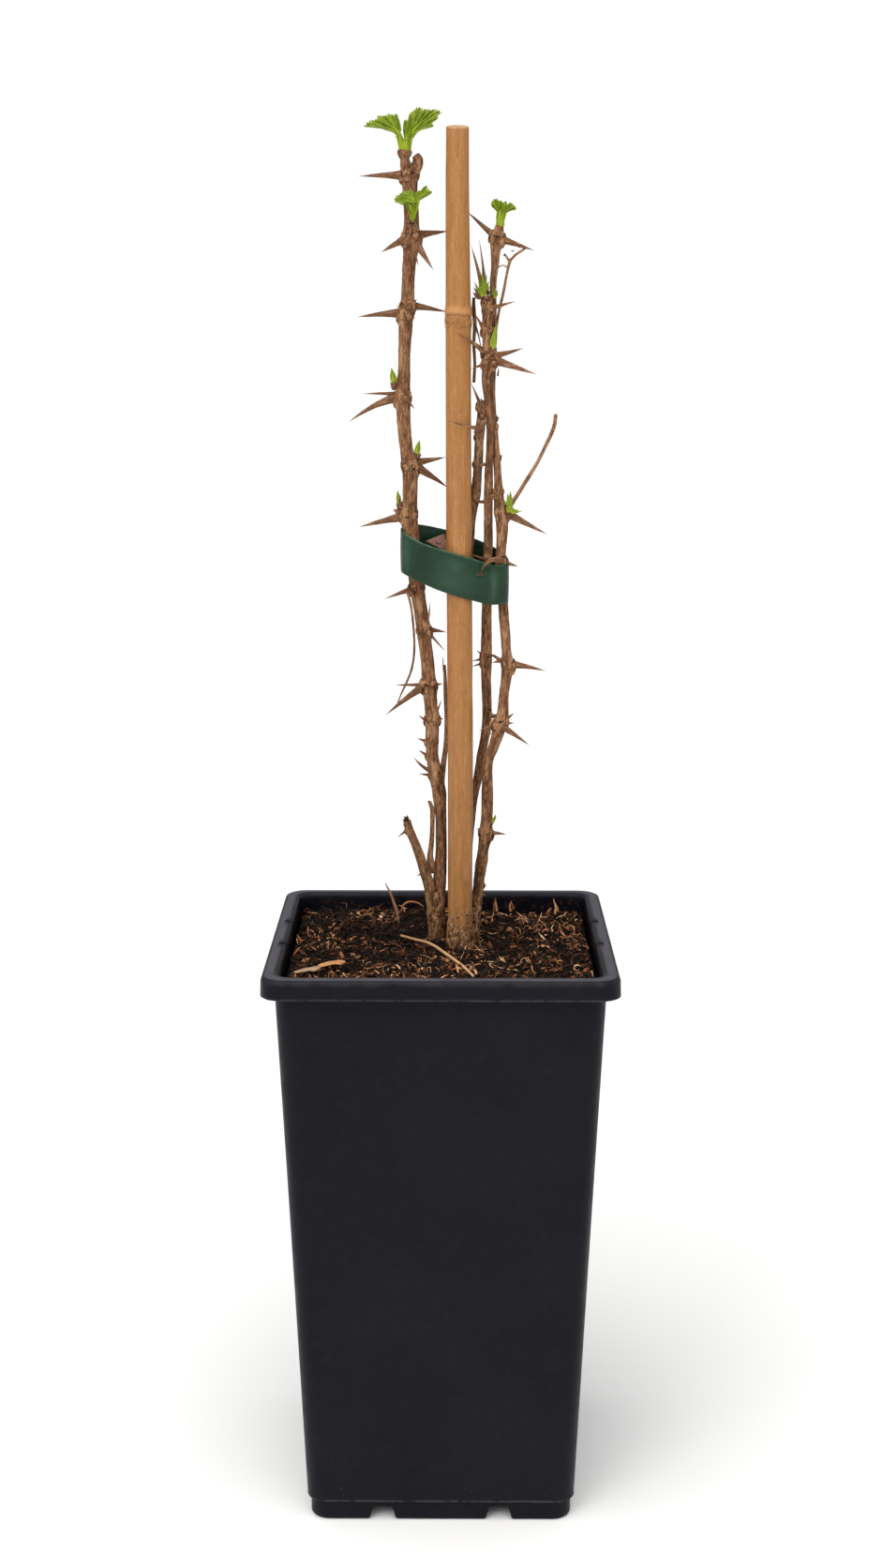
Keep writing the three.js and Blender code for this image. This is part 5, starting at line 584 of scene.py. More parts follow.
# ------------------------------------------------------------------ material helpers
class Mat:
    def __init__(self, name):
        self.m = bpy.data.materials.new(name)
        self.m.use_nodes = True
        self.nt = self.m.node_tree
        self.nt.nodes.clear()
        self.out = self.nt.nodes.new("ShaderNodeOutputMaterial")
        self.bsdf = self.nt.nodes.new("ShaderNodeBsdfPrincipled")
        self.nt.links.new(self.bsdf.outputs[0], self.out.inputs[0])

    def put(self, node, key, val):
        sock = node.inputs[key]
        if isinstance(val, bpy.types.NodeSocket):
            self.nt.links.new(val, sock)
        else:
            sock.default_value = val

    def set(self, **kw):
        names = {"color": "Base Color", "rough": "Roughness", "normal": "Normal", "spec": "Specular IOR Level", "metal": "Metallic",
                 "sss": "Subsurface Weight", "sheen": "Sheen Weight", "coat": "Coat Weight", "coat_rough": "Coat Roughness",
                 "trans": "Transmission Weight", "ior": "IOR", "sheen_rough": "Sheen Roughness"}
        for k, v in kw.items():
            self.put(self.bsdf, names[k], v)

    def attr(self, name, out="Fac"):
        n = self.nt.nodes.new("ShaderNodeAttribute")
        n.attribute_name = name
        return n.outputs[out]

    def obj(self):
        n = self.nt.nodes.new("ShaderNodeTexCoord")
        return n.outputs["Object"]

    def scale(self, vec, s, loc=(0, 0, 0), rot=(0, 0, 0)):
        n = self.nt.nodes.new("ShaderNodeMapping")
        self.put(n, "Vector", vec)
        n.inputs["Scale"].default_value = s if hasattr(s, "__len__") else (s, s, s)
        n.inputs["Location"].default_value = loc
        n.inputs["Rotation"].default_value = rot
        return n.outputs[0]

    def noise(self, vec, scale, detail=4.0, rough=0.6, dist=0.0, out="Fac"):
        n = self.nt.nodes.new("ShaderNodeTexNoise")
        self.put(n, "Vector", vec)
        n.inputs["Scale"].default_value = scale
        n.inputs["Detail"].default_value = detail
        n.inputs["Roughness"].default_value = rough
        n.inputs["Distortion"].default_value = dist
        return n.outputs[out]

    def voronoi(self, vec, scale, feature="F1", rand=1.0, out="Distance"):
        n = self.nt.nodes.new("ShaderNodeTexVoronoi")
        n.feature = feature
        self.put(n, "Vector", vec)
        n.inputs["Scale"].default_value = scale
        n.inputs["Randomness"].default_value = rand
        return n.outputs[out]

    def ramp(self, fac, stops, mode="LINEAR"):
        n = self.nt.nodes.new("ShaderNodeValToRGB")
        n.color_ramp.interpolation = mode
        els = n.color_ramp.elements
        while len(els) > 1:
            els.remove(els[-1])
        els[0].position = stops[0][0]
        els[0].color = self._c(stops[0][1])
        for p, c in stops[1:]:
            e = els.new(p)
            e.color = self._c(c)
        self.put(n, "Fac", fac)
        return n.outputs["Color"]

    @staticmethod
    def _c(c):
        if not hasattr(c, "__len__"):
            c = (c, c, c)
        return tuple(c) + (1.0,) if len(c) == 3 else tuple(c)

    def mix(self, fac, a, b, mode="MIX"):
        n = self.nt.nodes.new("ShaderNodeMix")
        n.data_type = "RGBA"
        n.blend_type = mode
        n.clamp_factor = True
        self.put(n, 0, fac)
        for idx, val in ((6, a), (7, b)):
            if isinstance(val, bpy.types.NodeSocket):
                self.nt.links.new(val, n.inputs[idx])
            else:
                n.inputs[idx].default_value = self._c(val)
        return n.outputs[2]

    def math(self, op, a, b=None, c=None, clamp=False):
        n = self.nt.nodes.new("ShaderNodeMath")
        n.operation = op
        n.use_clamp = clamp
        self.put(n, 0, a)
        if b is not None:
            self.put(n, 1, b)
        if c is not None:
            self.put(n, 2, c)
        return n.outputs[0]

    def maprange(self, v, a, b, c=0.0, d=1.0, smoothstep=True):
        n = self.nt.nodes.new("ShaderNodeMapRange")
        n.interpolation_type = "SMOOTHSTEP" if smoothstep else "LINEAR"
        self.put(n, "Value", v)
        n.inputs["From Min"].default_value = a
        n.inputs["From Max"].default_value = b
        n.inputs["To Min"].default_value = c
        n.inputs["To Max"].default_value = d
        return n.outputs[0]

    def bump(self, height, dist, strength=1.0, normal=None):
        n = self.nt.nodes.new("ShaderNodeBump")
        n.inputs["Strength"].default_value = strength
        n.inputs["Distance"].default_value = dist
        self.put(n, "Height", height)
        if normal is not None:
            self.put(n, "Normal", normal)
        return n.outputs[0]

    def sep(self, vec):
        n = self.nt.nodes.new("ShaderNodeSeparateXYZ")
        self.put(n, 0, vec)
        return n.outputs


def srgb(r, g, b, k=1.0):
    def f(c):
        c = c / 255
        return (c / 12.92 if c <= 0.04045 else ((c + 0.055) / 1.055) ** 2.4) * k
    return (f(r), f(g), f(b))


# ------------------------------------------------------------------ materials
def bark_material(name, dark, brown, tan, pale, grey=0.25, bumps=0.00022):
    M = Mat(name)
    co = M.attr("co3", "Vector")
    # short lengthwise cracks over a fine speckle
    n1 = M.noise(M.scale(co, (1.0, 1.0, 0.20)), 1.5, 6, 0.66, 0.45)
    n2 = M.noise(M.scale(co, (1, 1, 0.30)), 0.30, 4, 0.55)
    n3 = M.noise(M.scale(co, (1.0, 1.0, 0.13)), 3.4, 5, 0.62, 0.3)
    n4 = M.noise(M.scale(co, (1, 1, 0.6)), 3.6, 6, 0.70)
    col = M.ramp(n1, [(0.31, dark), (0.43, brown), (0.55, tan), (0.72, pale)])
    col = M.mix(M.maprange(n3, 0.47, 0.33, 0, 0.85), col, dark)
    col = M.mix(M.maprange(n3, 0.53, 0.70, 0, 0.45), col, pale)
    col = M.mix(M.maprange(n4, 0.46, 0.32, 0, 0.70), col, tuple(c * 0.55 for c in dark))
    col = M.mix(M.maprange(n4, 0.57, 0.72, 0, 0.55), col, tuple(c * 1.12 for c in pale))
    col = M.mix(M.maprange(n2, 0.54, 0.74, 0, grey), col, srgb(140, 118, 98))
    col = M.mix(M.maprange(n2, 0.46, 0.28, 0, 0.45), col, tuple(c * 0.6 for c in brown))
    v = M.voronoi(M.scale(co, (1, 1, 0.45)), 1.05)
    spots = M.math("MULTIPLY", M.maprange(v, 0.17, 0.07), M.maprange(n2, 0.44, 0.58))
    col = M.mix(M.math("MULTIPLY", spots, 0.6), col, srgb(188, 156, 120))
    # painted shade in the low parts of the bark's relief and painted highlight on its high parts
    rl = M.attr("relief")
    on = M.maprange(rl, 0.02, 0.06)
    col = M.mix(M.math("MULTIPLY", on, M.maprange(rl, 0.42, 0.12, 0, 0.58)), col, tuple(c * 0.55 for c in dark))
    col = M.mix(M.math("MULTIPLY", on, M.maprange(rl, 0.56, 0.88, 0, 0.50)), col, pale)
    # knots: painted shade in the deep pits and painted highlight on the ridges, where the knot value follows a
    # swelling's relief
    kn = M.attr("knot")
    kcol = M.ramp(kn, [(0.12, srgb(26, 15, 8)), (0.40, srgb(70, 43, 26)), (0.66, srgb(118, 78, 50)), (0.86, srgb(154, 110, 75)), (1.0, srgb(190, 148, 108))])
    kcol = M.mix(M.maprange(n4, 0.5, 0.32, 0, 0.75), kcol, srgb(44, 27, 17))
    kcol = M.mix(M.maprange(n1, 0.55, 0.72, 0, 0.55), kcol, srgb(176, 136, 102))
    col = M.mix(M.maprange(kn, 0.02, 0.12, 0.0, 0.9), col, kcol)
    # spines: smoother, brown, darker on old skin, tapering to a horny point
    th = M.attr("thorn")
    tn = M.noise(M.scale(co, (1, 1, 0.14)), 1.9, 5, 0.62, 0.2)
    tf = M.noise(M.scale(co, (1, 1, 0.3)), 5.0, 4, 0.6)
    tcol = M.ramp(th, [(0.0, srgb(100, 64, 40)), (0.22, srgb(136, 92, 60)), (0.55, srgb(156, 112, 78)), (0.85, srgb(148, 104, 72)), (1.0, srgb(112, 74, 50))])
    tcol = M.mix(M.maprange(tn, 0.46, 0.62, 0.70, 0.0), tcol, srgb(84, 56, 40))
    tcol = M.mix(M.maprange(tn, 0.55, 0.70, 0.0, 0.55), tcol, srgb(186, 150, 120))
    tcol = M.mix(M.maprange(tf, 0.45, 0.32, 0.0, 0.5), tcol, srgb(76, 50, 36))
    col = M.mix(M.maprange(th, 0.05, 0.12), col, tcol)
    cut = M.attr("cut")
    ccol = M.ramp(M.noise(co, 3.0, 4, 0.6), [(0.3, srgb(84, 56, 38)), (0.6, srgb(156, 116, 80)), (0.8, srgb(200, 162, 120))])
    col = M.mix(M.maprange(cut, 0.4, 0.8), col, ccol)
    z = M.sep(M.obj())[2]
    low = M.math("MULTIPLY", M.maprange(z, 0.224, 0.213), M.maprange(M.noise(co, 0.8, 3), 0.35, 0.65, 0.25, 0.8))
    col = M.mix(low, col, srgb(48, 31, 20))
    h = M.math("ADD", M.math("MULTIPLY", n1, 1.0), M.math("MULTIPLY", n3, 0.8))
    h = M.math("ADD", h, M.math("MULTIPLY", n4, 0.6))
    h = M.math("MULTIPLY", h, M.maprange(th, 0.08, 0.3, 1.0, 0.40))
    M.set(color=col, rough=M.maprange(n4, 0.3, 0.7, 0.62, 0.84), spec=0.20, normal=M.bump(h, bumps))
    return M.m


BARK = bark_material("bark_old", srgb(60, 35, 20), srgb(112, 72, 46), srgb(146, 102, 69), srgb(196, 152, 112), grey=0.14, bumps=0.00040)
BARK_YOUNG = bark_material("bark_young", srgb(70, 43, 26), srgb(118, 78, 50), srgb(154, 112, 78), srgb(190, 148, 110), grey=0.12, bumps=0.00022)
BARK_DRY = bark_material("bark_dry", srgb(54, 33, 20), srgb(104, 68, 43), srgb(142, 100, 67), srgb(190, 148, 108), grey=0.16, bumps=0.00036)


def crown_material():
    M = Mat("bark_foot")
    co = M.attr("co3", "Vector")
    n1 = M.noise(M.scale(co, (1, 1, 0.6)), 0.95, 7, 0.66, 2.4)
    n2 = M.noise(M.scale(co, (1, 1, 0.3)), 2.1, 6, 0.6, 1.0)
    col = M.ramp(n1, [(0.33, srgb(36, 20, 11)), (0.44, srgb(100, 62, 36)), (0.54, srgb(152, 104, 66)), (0.68, srgb(206, 160, 116))])
    col = M.mix(M.maprange(n2, 0.46, 0.34, 0, 0.9), col, srgb(30, 17, 9))
    col = M.mix(M.maprange(n2, 0.55, 0.68, 0, 0.65), col, srgb(212, 168, 124))
    # painted shade in the low parts of the foot's relief and painted highlight on its high parts
    rl = M.attr("relief")
    on = M.maprange(rl, 0.02, 0.06)
    col = M.mix(M.math("MULTIPLY", on, M.maprange(rl, 0.42, 0.18, 0, 0.8)), col, srgb(24, 14, 8))
    col = M.mix(M.math("MULTIPLY", on, M.maprange(rl, 0.60, 0.90, 0, 0.45)), col, srgb(214, 172, 130))
    z = M.sep(M.obj())[2]
    low = M.math("MULTIPLY", M.maprange(z, 0.219, 0.212), 0.8)
    col = M.mix(low, col, srgb(46, 30, 19))
    h = M.math("ADD", n1, M.math("MULTIPLY", n2, 0.6))
    M.set(color=col, rough=0.82, spec=0.2, normal=M.bump(h, 0.0006))
    return M.m


CROWN = crown_material()


def pot_material():
    M = Mat("pot_plastic")
    ob = M.obj()
    n_big = M.noise(ob, 22, 3, 0.5)
    n_mid = M.noise(ob, 140, 5, 0.6)
    n_fine = M.noise(ob, 1600, 3, 0.6)
    grain = M.voronoi(ob, 1500)
    col = M.ramp(n_mid, [(0.3, (0.0036, 0.0036, 0.0070)), (0.7, (0.0056, 0.0057, 0.0098))])
    col = M.mix(M.maprange(n_big, 0.45, 0.65, 0, 0.5), col, (0.0068, 0.0069, 0.0112))
    # fine pale dust and dried splash specks, thicker near the foot
    z = M.sep(ob)[2]
    specks = M.voronoi(ob, 420)
    dots = M.maprange(specks, 0.16, 0.07)
    where = M.maprange(M.noise(ob, 60, 3, 0.6), 0.50, 0.66)
    low = M.maprange(z, 0.075, 0.008, 0.0, 1.0)
    col = M.mix(M.math("MULTIPLY", M.math("MULTIPLY", dots, where), M.math("ADD", M.math("MULTIPLY", low, 0.20), 0.03)), col, srgb(96, 92, 90))
    film = M.math("MULTIPLY", M.maprange(M.noise(ob, 300, 5, 0.7), 0.52, 0.75), 0.05)
    col = M.mix(film, col, srgb(72, 72, 76))
    # pale, broken flash lines
    edge = M.attr("flash")
    broken = M.maprange(M.noise(ob, 260, 4, 0.7), 0.36, 0.56)
    col = M.mix(M.math("MULTIPLY", edge, M.math("ADD", M.math("MULTIPLY", broken, 0.45), 0.05)), col, srgb(104, 104, 112))
    # painted reflection on the rim's flat top and painted highlight along its rounded edges, slightly greyer than the
    # body
    rim = M.attr("rub")
    col = M.mix(M.math("MULTIPLY", M.attr("shelf"), M.maprange(n_mid, 0.3, 0.7, 0.70, 1.0)), col, (0.078, 0.074, 0.088))
    col = M.mix(M.math("MULTIPLY", rim, M.maprange(n_mid, 0.3, 0.7, 0.04, 0.16)), col, srgb(84, 84, 90))
    # crumbs of soil inside the rim
    soil = M.math("MULTIPLY", M.attr("soily"), M.maprange(M.noise(ob, 420, 4, 0.7), 0.53, 0.62))
    col = M.mix(M.math("MULTIPLY", soil, 0.8), col, srgb(64, 42, 28))
    h = M.math("ADD", M.math("MULTIPLY", n_fine, 0.55), M.math("MULTIPLY", grain, 0.35))
    h = M.math("ADD", h, M.math("MULTIPLY", n_mid, 0.6))
    M.set(color=col, rough=M.maprange(n_mid, 0.3, 0.7, 0.36, 0.50), spec=0.11, normal=M.bump(h, 0.00010, 0.6))
    return M.m


POT = pot_material()


def cane_material():
    M = Mat("bamboo")
    co = M.attr("co3", "Vector")
    streak = M.noise(M.scale(co, (1, 1, 0.05)), 0.95, 5, 0.55)
    fine = M.noise(M.scale(co, (1, 1, 0.05)), 5.5, 5, 0.62)
    blotch = M.noise(M.scale(co, (1, 1, 0.22)), 0.36, 5, 0.6, 0.4)
    mott = M.noise(M.scale(co, (1, 1, 0.30)), 1.9, 6, 0.72, 0.5)
    col = M.ramp(streak, [(0.28, srgb(154, 101, 50)), (0.45, srgb(163, 109, 56)), (0.60, srgb(171, 117, 62)), (0.78, srgb(180, 128, 71))])
    col = M.mix(M.maprange(fine, 0.50, 0.72, 0, 0.40), col, srgb(196, 150, 100))
    col = M.mix(M.maprange(fine, 0.48, 0.30, 0, 0.45), col, srgb(128, 84, 44))
    col = M.mix(M.maprange(blotch, 0.52, 0.72, 0, 0.55), col, srgb(142, 90, 44))
    col = M.mix(M.maprange(blotch, 0.46, 0.28, 0, 0.35), col, srgb(190, 146, 96))
    col = M.mix(M.maprange(mott, 0.56, 0.70, 0, 0.45), col, srgb(128, 80, 38))
    col = M.mix(M.maprange(mott, 0.42, 0.30, 0, 0.45), col, srgb(206, 166, 120))
    node = M.attr("node")
    col = M.mix(M.math("MULTIPLY", node, 0.75), col, srgb(196, 142, 88))
    # darker along the sheath scar: partly the scar's own colour, partly painted shade in the waist groove, between the
    # flakes and in the dents
    scar = M.attr("scar")
    col = M.mix(M.math("MULTIPLY", scar, 0.8), col, srgb(96, 56, 28))
    cut = M.attr("cut")
    ring = M.noise(co, 2.2, 5, 0.7)
    ccol = M.ramp(ring, [(0.3, srgb(150, 100, 58)), (0.55, srgb(206, 164, 120)), (0.75, srgb(236, 206, 168))])
    col = M.mix(M.maprange(cut, 0.3, 0.6), col, ccol)
    # painted shade inside the hollow of the cut top, darker down its wall
    col = M.mix(M.maprange(M.attr("pith"), 0.3, 0.7), col, M.ramp(ring, [(0.3, srgb(70, 42, 22)), (0.7, srgb(150, 106, 66))]))
    dot = M.noise(M.scale(co, (1, 1, 0.45)), 5.0, 5, 0.7)
    col = M.mix(M.maprange(dot, 0.56, 0.68, 0, 0.62), col, srgb(112, 66, 30))
    col = M.mix(M.maprange(dot, 0.44, 0.32, 0, 0.5), col, srgb(216, 168, 110))
    h = M.math("ADD", M.math("MULTIPLY", fine, 0.6), M.math("MULTIPLY", streak, 0.4))
    h = M.math("ADD", h, M.math("MULTIPLY", mott, 0.35))
    M.set(color=col, rough=M.maprange(mott, 0.3, 0.7, 0.38, 0.56), spec=0.36, normal=M.bump(h, 0.00012, 0.8))
    return M.m


CANE_MAT = cane_material()


def tie_material():
    M = Mat("tie_plastic")
    ob = M.obj()
    n = M.noise(ob, 90, 4, 0.55)
    f = M.noise(ob, 900, 4, 0.6)
    scuff = M.noise(M.scale(ob, (1, 1, 3.2)), 190, 5, 0.72, 0.6)
    col = M.ramp(n, [(0.32, (0.0060, 0.0240, 0.0105)), (0.52, (0.0095, 0.0350, 0.0160)), (0.72, (0.0140, 0.0460, 0.0215))])
    col = M.mix(M.maprange(scuff, 0.60, 0.74, 0, 0.16), col, srgb(96, 120, 104))
    # painted sheen: streaks of paler green on the front face where highlights would fall
    gl = M.math("MULTIPLY", M.attr("gloss"), M.maprange(n, 0.3, 0.7, 0.6, 1.0))
    col = M.mix(M.math("MULTIPLY", gl, 0.55), col, srgb(84, 118, 98))
    # painted highlight along the band's rounded top edge, weaker on the low edge, broken by nicks
    edge = M.attr("edge")
    nick = M.maprange(M.noise(ob, 500, 3, 0.6), 0.35, 0.6, 0.35, 1.0)
    col = M.mix(M.math("MULTIPLY", edge, nick), col, srgb(74, 106, 84))
    col = M.mix(M.attr("torn"), col, srgb(92, 62, 44))
    # painted shade: near-black disc in the pierced slit
    col = M.mix(M.attr("hole"), col, (0.004, 0.004, 0.003))
    h = M.math("ADD", M.math("MULTIPLY", f, 0.4), M.math("MULTIPLY", n, 1.0))
    M.set(color=col, rough=M.maprange(scuff, 0.35, 0.7, 0.24, 0.40), spec=0.26, normal=M.bump(h, 0.00010, 0.5))
    return M.m


TIE = tie_material()


def leaf_material():
    M = Mat("leaf")
    co = M.attr("co3", "Vector")
    vein = M.attr("vein")
    rim = M.attr("rim")
    fold = M.attr("fold")
    n = M.noise(co, 0.55, 5, 0.6)
    f = M.noise(co, 3.2, 5, 0.68)
    col = M.ramp(n, [(0.3, (0.098, 0.145, 0.005)), (0.5, (0.175, 0.245, 0.007)), (0.72, (0.260, 0.350, 0.011))])
    col = M.mix(M.maprange(f, 0.48, 0.68, 0, 0.45), col, (0.40, 0.50, 0.040))
    col = M.mix(M.maprange(f, 0.46, 0.30, 0, 0.45), col, (0.075, 0.120, 0.005))
    # painted shade in the sunken folds along the main veins
    col = M.mix(M.math("MULTIPLY", fold, 0.55), col, (0.060, 0.105, 0.005))
    col = M.mix(M.math("MULTIPLY", vein, 0.58), col, (0.42, 0.52, 0.055))
    col = M.mix(M.math("MULTIPLY", rim, 0.40), col, (0.36, 0.45, 0.05))
    base = M.attr("base")
    col = M.mix(M.math("MULTIPLY", base, 0.62), col, (0.37, 0.46, 0.018))
    col = M.mix(M.math("MULTIPLY", M.attr("under"), 0.35), col, (0.24, 0.33, 0.075))
    h = M.math("ADD", M.math("MULTIPLY", vein, -1.0), M.math("MULTIPLY", f, 0.7))
    M.set(color=col, rough=M.maprange(f, 0.3, 0.7, 0.38, 0.56), spec=0.24, sss=0.04, normal=M.bump(h, 0.00020, 0.8))
    M.bsdf.inputs["Subsurface Radius"].default_value = (0.35, 0.7, 0.08)
    M.bsdf.inputs["Subsurface Scale"].default_value = 0.0007
    return M.m


LEAF = leaf_material()


def bud_material():
    M = Mat("bud")
    co = M.attr("co3", "Vector")
    al = M.attr("along")
    ac = M.attr("across")
    n = M.noise(M.scale(co, (1, 1, 0.5)), 1.5, 5, 0.62)
    f = M.noise(co, 4.0, 4, 0.6)
    col = M.ramp(n, [(0.3, (0.080, 0.125, 0.006)), (0.55, (0.185, 0.255, 0.009)), (0.75, (0.310, 0.410, 0.018))])
    col = M.mix(M.maprange(f, 0.50, 0.70, 0, 0.4), col, (0.36, 0.46, 0.04))
    col = M.mix(M.maprange(ac, 0.60, 1.0, 0, 0.8), col, (0.42, 0.50, 0.06))
    col = M.mix(M.maprange(ac, 0.16, 0.0, 0, 0.55), col, (0.38, 0.47, 0.05))
    col = M.mix(M.maprange(al, 0.42, 0.04, 0, 0.85), col, (0.44, 0.50, 0.035))
    col = M.mix(M.maprange(al, 0.10, 0.0, 0, 0.85), col, srgb(120, 78, 50))
    col = M.mix(M.maprange(al, 0.88, 1.0, 0, 0.5), col, srgb(110, 84, 46))
    br = M.ramp(n, [(0.3, srgb(66, 40, 28)), (0.55, srgb(118, 78, 58)), (0.72, srgb(168, 124, 98))])
    col = M.mix(M.maprange(M.attr("brown"), 0.3, 0.7), col, br)
    h = M.math("ADD", n, M.math("MULTIPLY", f, 0.4))
    M.set(color=col, rough=M.maprange(f, 0.3, 0.7, 0.44, 0.62), spec=0.22, sss=0.03, normal=M.bump(h, 0.0002, 0.8))
    M.bsdf.inputs["Subsurface Radius"].default_value = (0.35, 0.7, 0.08)
    M.bsdf.inputs["Subsurface Scale"].default_value = 0.0006
    return M.m


BUD = bud_material()


def soil_material(name, base=False):
    M = Mat(name)
    ob = M.obj()
    if base:
        n = M.noise(ob, 700, 7, 0.7)
        m = M.noise(ob, 160, 5, 0.6)
        col = M.ramp(n, [(0.38, srgb(6, 4, 3)), (0.54, srgb(20, 12, 8)), (0.66, srgb(58, 36, 22)), (0.8, srgb(118, 78, 48))])
        col = M.mix(M.maprange(m, 0.45, 0.3, 0, 0.7), col, srgb(8, 5, 4))
        M.set(color=col, rough=0.92, spec=0.12, normal=M.bump(n, 0.0011, 1.0))
        return M.m
    r = M.attr("rnd")
    al = M.attr("co3", "Vector")
    n = M.noise(M.scale(al, (1, 1, 0.25)), 2.4, 4, 0.6)
    col = M.ramp(r, [(0.0, srgb(12, 7, 4)), (0.26, srgb(30, 17, 9)), (0.44, srgb(76, 42, 24)), (0.60, srgb(142, 86, 52)), (0.78, srgb(206, 144, 96)), (1.0, srgb(244, 198, 150))])
    col = M.mix(M.maprange(n, 0.48, 0.32, 0, 0.75), col, srgb(18, 10, 6))
    col = M.mix(M.maprange(n, 0.58, 0.74, 0, 0.4), col, srgb(206, 156, 110))
    M.set(color=col, rough=0.8, spec=0.22, normal=M.bump(n, 0.0003, 0.8))
    return M.m


SOIL = soil_material("compost_base", True)
FIBRE = soil_material("compost_fibre")


def dry_material(name, a, b, c, rough=0.72, streak=0.12):
    M = Mat(name)
    co = M.attr("co3", "Vector")
    n = M.noise(M.scale(co, (1, 1, streak)), 2.0, 6, 0.62, 0.3)
    f = M.noise(co, 3.0, 4, 0.6)
    col = M.ramp(n, [(0.3, a), (0.52, b), (0.74, c)])
    col = M.mix(M.maprange(f, 0.45, 0.30, 0, 0.5), col, tuple(x * 0.45 for x in a))
    tone = M.attr("tone")
    col = M.mix(M.math("MULTIPLY", tone, 0.75), col, c)
    M.set(color=col, rough=rough, spec=0.28, normal=M.bump(M.math("ADD", n, M.math("MULTIPLY", f, 0.4)), 0.00025, 0.9))
    return M.m


STRAW_MAT = dry_material("straw", srgb(120, 78, 50), srgb(178, 128, 88), srgb(226, 186, 142))
STICK_MAT = dry_material("stick", srgb(84, 52, 34), srgb(134, 90, 62), srgb(184, 138, 104))
CHIP_MAT = dry_material("chip", srgb(96, 58, 32), srgb(172, 116, 70), srgb(222, 166, 108))
WOOD_MAT = dry_material("wood_chip", srgb(92, 66, 50), srgb(158, 124, 98), srgb(210, 180, 150))
DRYLEAF_MAT = dry_material("dry_leaf", srgb(74, 50, 42), srgb(128, 96, 82), srgb(176, 132, 112), streak=0.4)

# ------------------------------------------------------------------ stems
def bark_disp(feet, seed, ridge=0.10, coarse=0.10):
    """feet: (position, outward unit, radius) of each spine, which swells the stem round it."""
    def disp(co3, P, s, th, R):
        k = np.clip(R / 2.2, 0.35, 1.2)
        a = fbm(co3 * [1.35, 1.35, 0.20], 3, seed) * ridge * 1.5
        b = (0.5 - np.abs(vnoise(co3 * [2.8, 2.8, 0.60], seed + 9))) * ridge * 1.4
        c = fbm(co3 * [0.30, 0.30, 0.13], 3, seed + 20) * coarse * 2.2
        d = vnoise(co3 * 1.9, seed + 31) * 0.045
        out = (a + b + c + d) * k
        for p, r, amp in feet:
            q = P - np.asarray(p)
            dist2 = (q ** 2).sum(-1)
            out = out + amp * np.exp(-dist2 / (2 * (1.15 * r + 0.25) ** 2))
        return out
    return disp


def nearest_on(rows, p):
    Q, _ = spline(rows, 0.5)
    i = np.argmin(((Q[:, :3] - p) ** 2).sum(1))
    return Q[i, :3], Q[i, 3]


def stem(name, rows, keys, mat, replaces, step=0.80, sides=32, seed=1, ridge=0.10, cut1=True, extra=(), spurs=(), round1=0.0):
    soup = Soup()
    feet = []
    chosen = []
    for j, k in enumerate(keys):
        t = THORNS[k]
        b, tip = np.array(t["b"]), np.array(t["t"])
        c, R = nearest_on(rows, b)
        d = unit(tip - b)
        chosen.append((b, t["r"], tip, t.get("m"), j))
        feet.append((c + unit(b + d * t["r"] - c) * R, t["r"], 0.34 * t["r"]))
    tube(soup, rows, step, sides, bark_disp(feet, seed, ridge), cut1=cut1, seed=seed, offset=seed, round1=round1, thorn=0.0)
    for e_i, (e, opts) in enumerate(extra):
        tube(soup, e, step, max(14, sides // 2 + 2), bark_disp([], seed + 40 + e_i, ridge), seed=seed + e_i, offset=seed + 5 + e_i, thorn=0.0, **opts)
    for b, r, tip, mid, j in chosen:
        thorn(soup, b, r, tip, mid, seed=seed * 50 + j, knot=0.0)
        if r < 0.45:
            continue
        c, R = nearest_on(rows, b)
        Q, _ = spline(rows, 0.5)
        i = int(np.clip(np.argmin(((Q[:, :3] - b) ** 2).sum(1)), 2, len(Q) - 3))
        ax = unit(Q[i + 2, :3] - Q[i - 2, :3])
        d = unit(tip - b)
        o = unit(b + d * r * 0.8 - c)
        o = unit(o - ax * (o @ ax))
        r_ = np.random.default_rng(seed * 77 + j)
        size = (1.55 * r + 0.45, 1.12 * r + 0.25, 0.80 * r + 0.30)
        kc = c + o * (R - 0.15 * r) - ax * 0.25 * r
        knob(soup, kc, ax, o, size, seed=seed * 13 + j, amp=0.15 + 0.03 * r_.random(), thorn=0.0)
        if r > 0.8:
            knob(soup, c + ax * r_.uniform(-0.5, 0.6) - o * 0.25 * R, ax, -o, (1.9 * r, R * 1.04, R * 0.95), seed=seed * 17 + j, amp=0.05, thorn=0.0)
            # lips of bark round the spine's foot and a scar beside it
            foot = b + d * 0.35 * r
            crescent(soup, foot, np.cross(d, [0.1, 1, 0]), d, r * 1.12, 0.16 + 0.05 * r, r_.uniform(0, 6.28), r_.uniform(0, 6.28) + 4.2, seed * 19 + j, thorn=0.0, knot=1.0)
            front = unit(np.array([o[0] * 0.5, -1, 0]))
            sc = c + front * (R + 0.15) + ax * r_.uniform(-0.6, 0.6)
            crescent(soup, sc, ax, front, r * r_.uniform(0.6, 0.95), 0.20, r_.uniform(0.2, 0.8), r_.uniform(2.4, 3.6), seed * 23 + j, thorn=0.0, knot=1.0)
            crescent(soup, sc - ax * r * 0.7, ax, front, r * r_.uniform(0.5, 0.8), 0.17, r_.uniform(3.2, 3.8), r_.uniform(5.2, 6.1), seed * 29 + j, thorn=0.0, knot=0.6)
            spur(soup, b - d * 0.2 * r + ax * 0.9 * r, ax, o, 0.9 * r + 0.3, 5, seed * 41 + j)
    for j, (p, up, out, size, n) in enumerate(spurs):
        spur(soup, np.array(p, float), np.array(up, float), np.array(out, float), size, n, seed * 31 + j)
    return soup.build(name, mat, replaces)


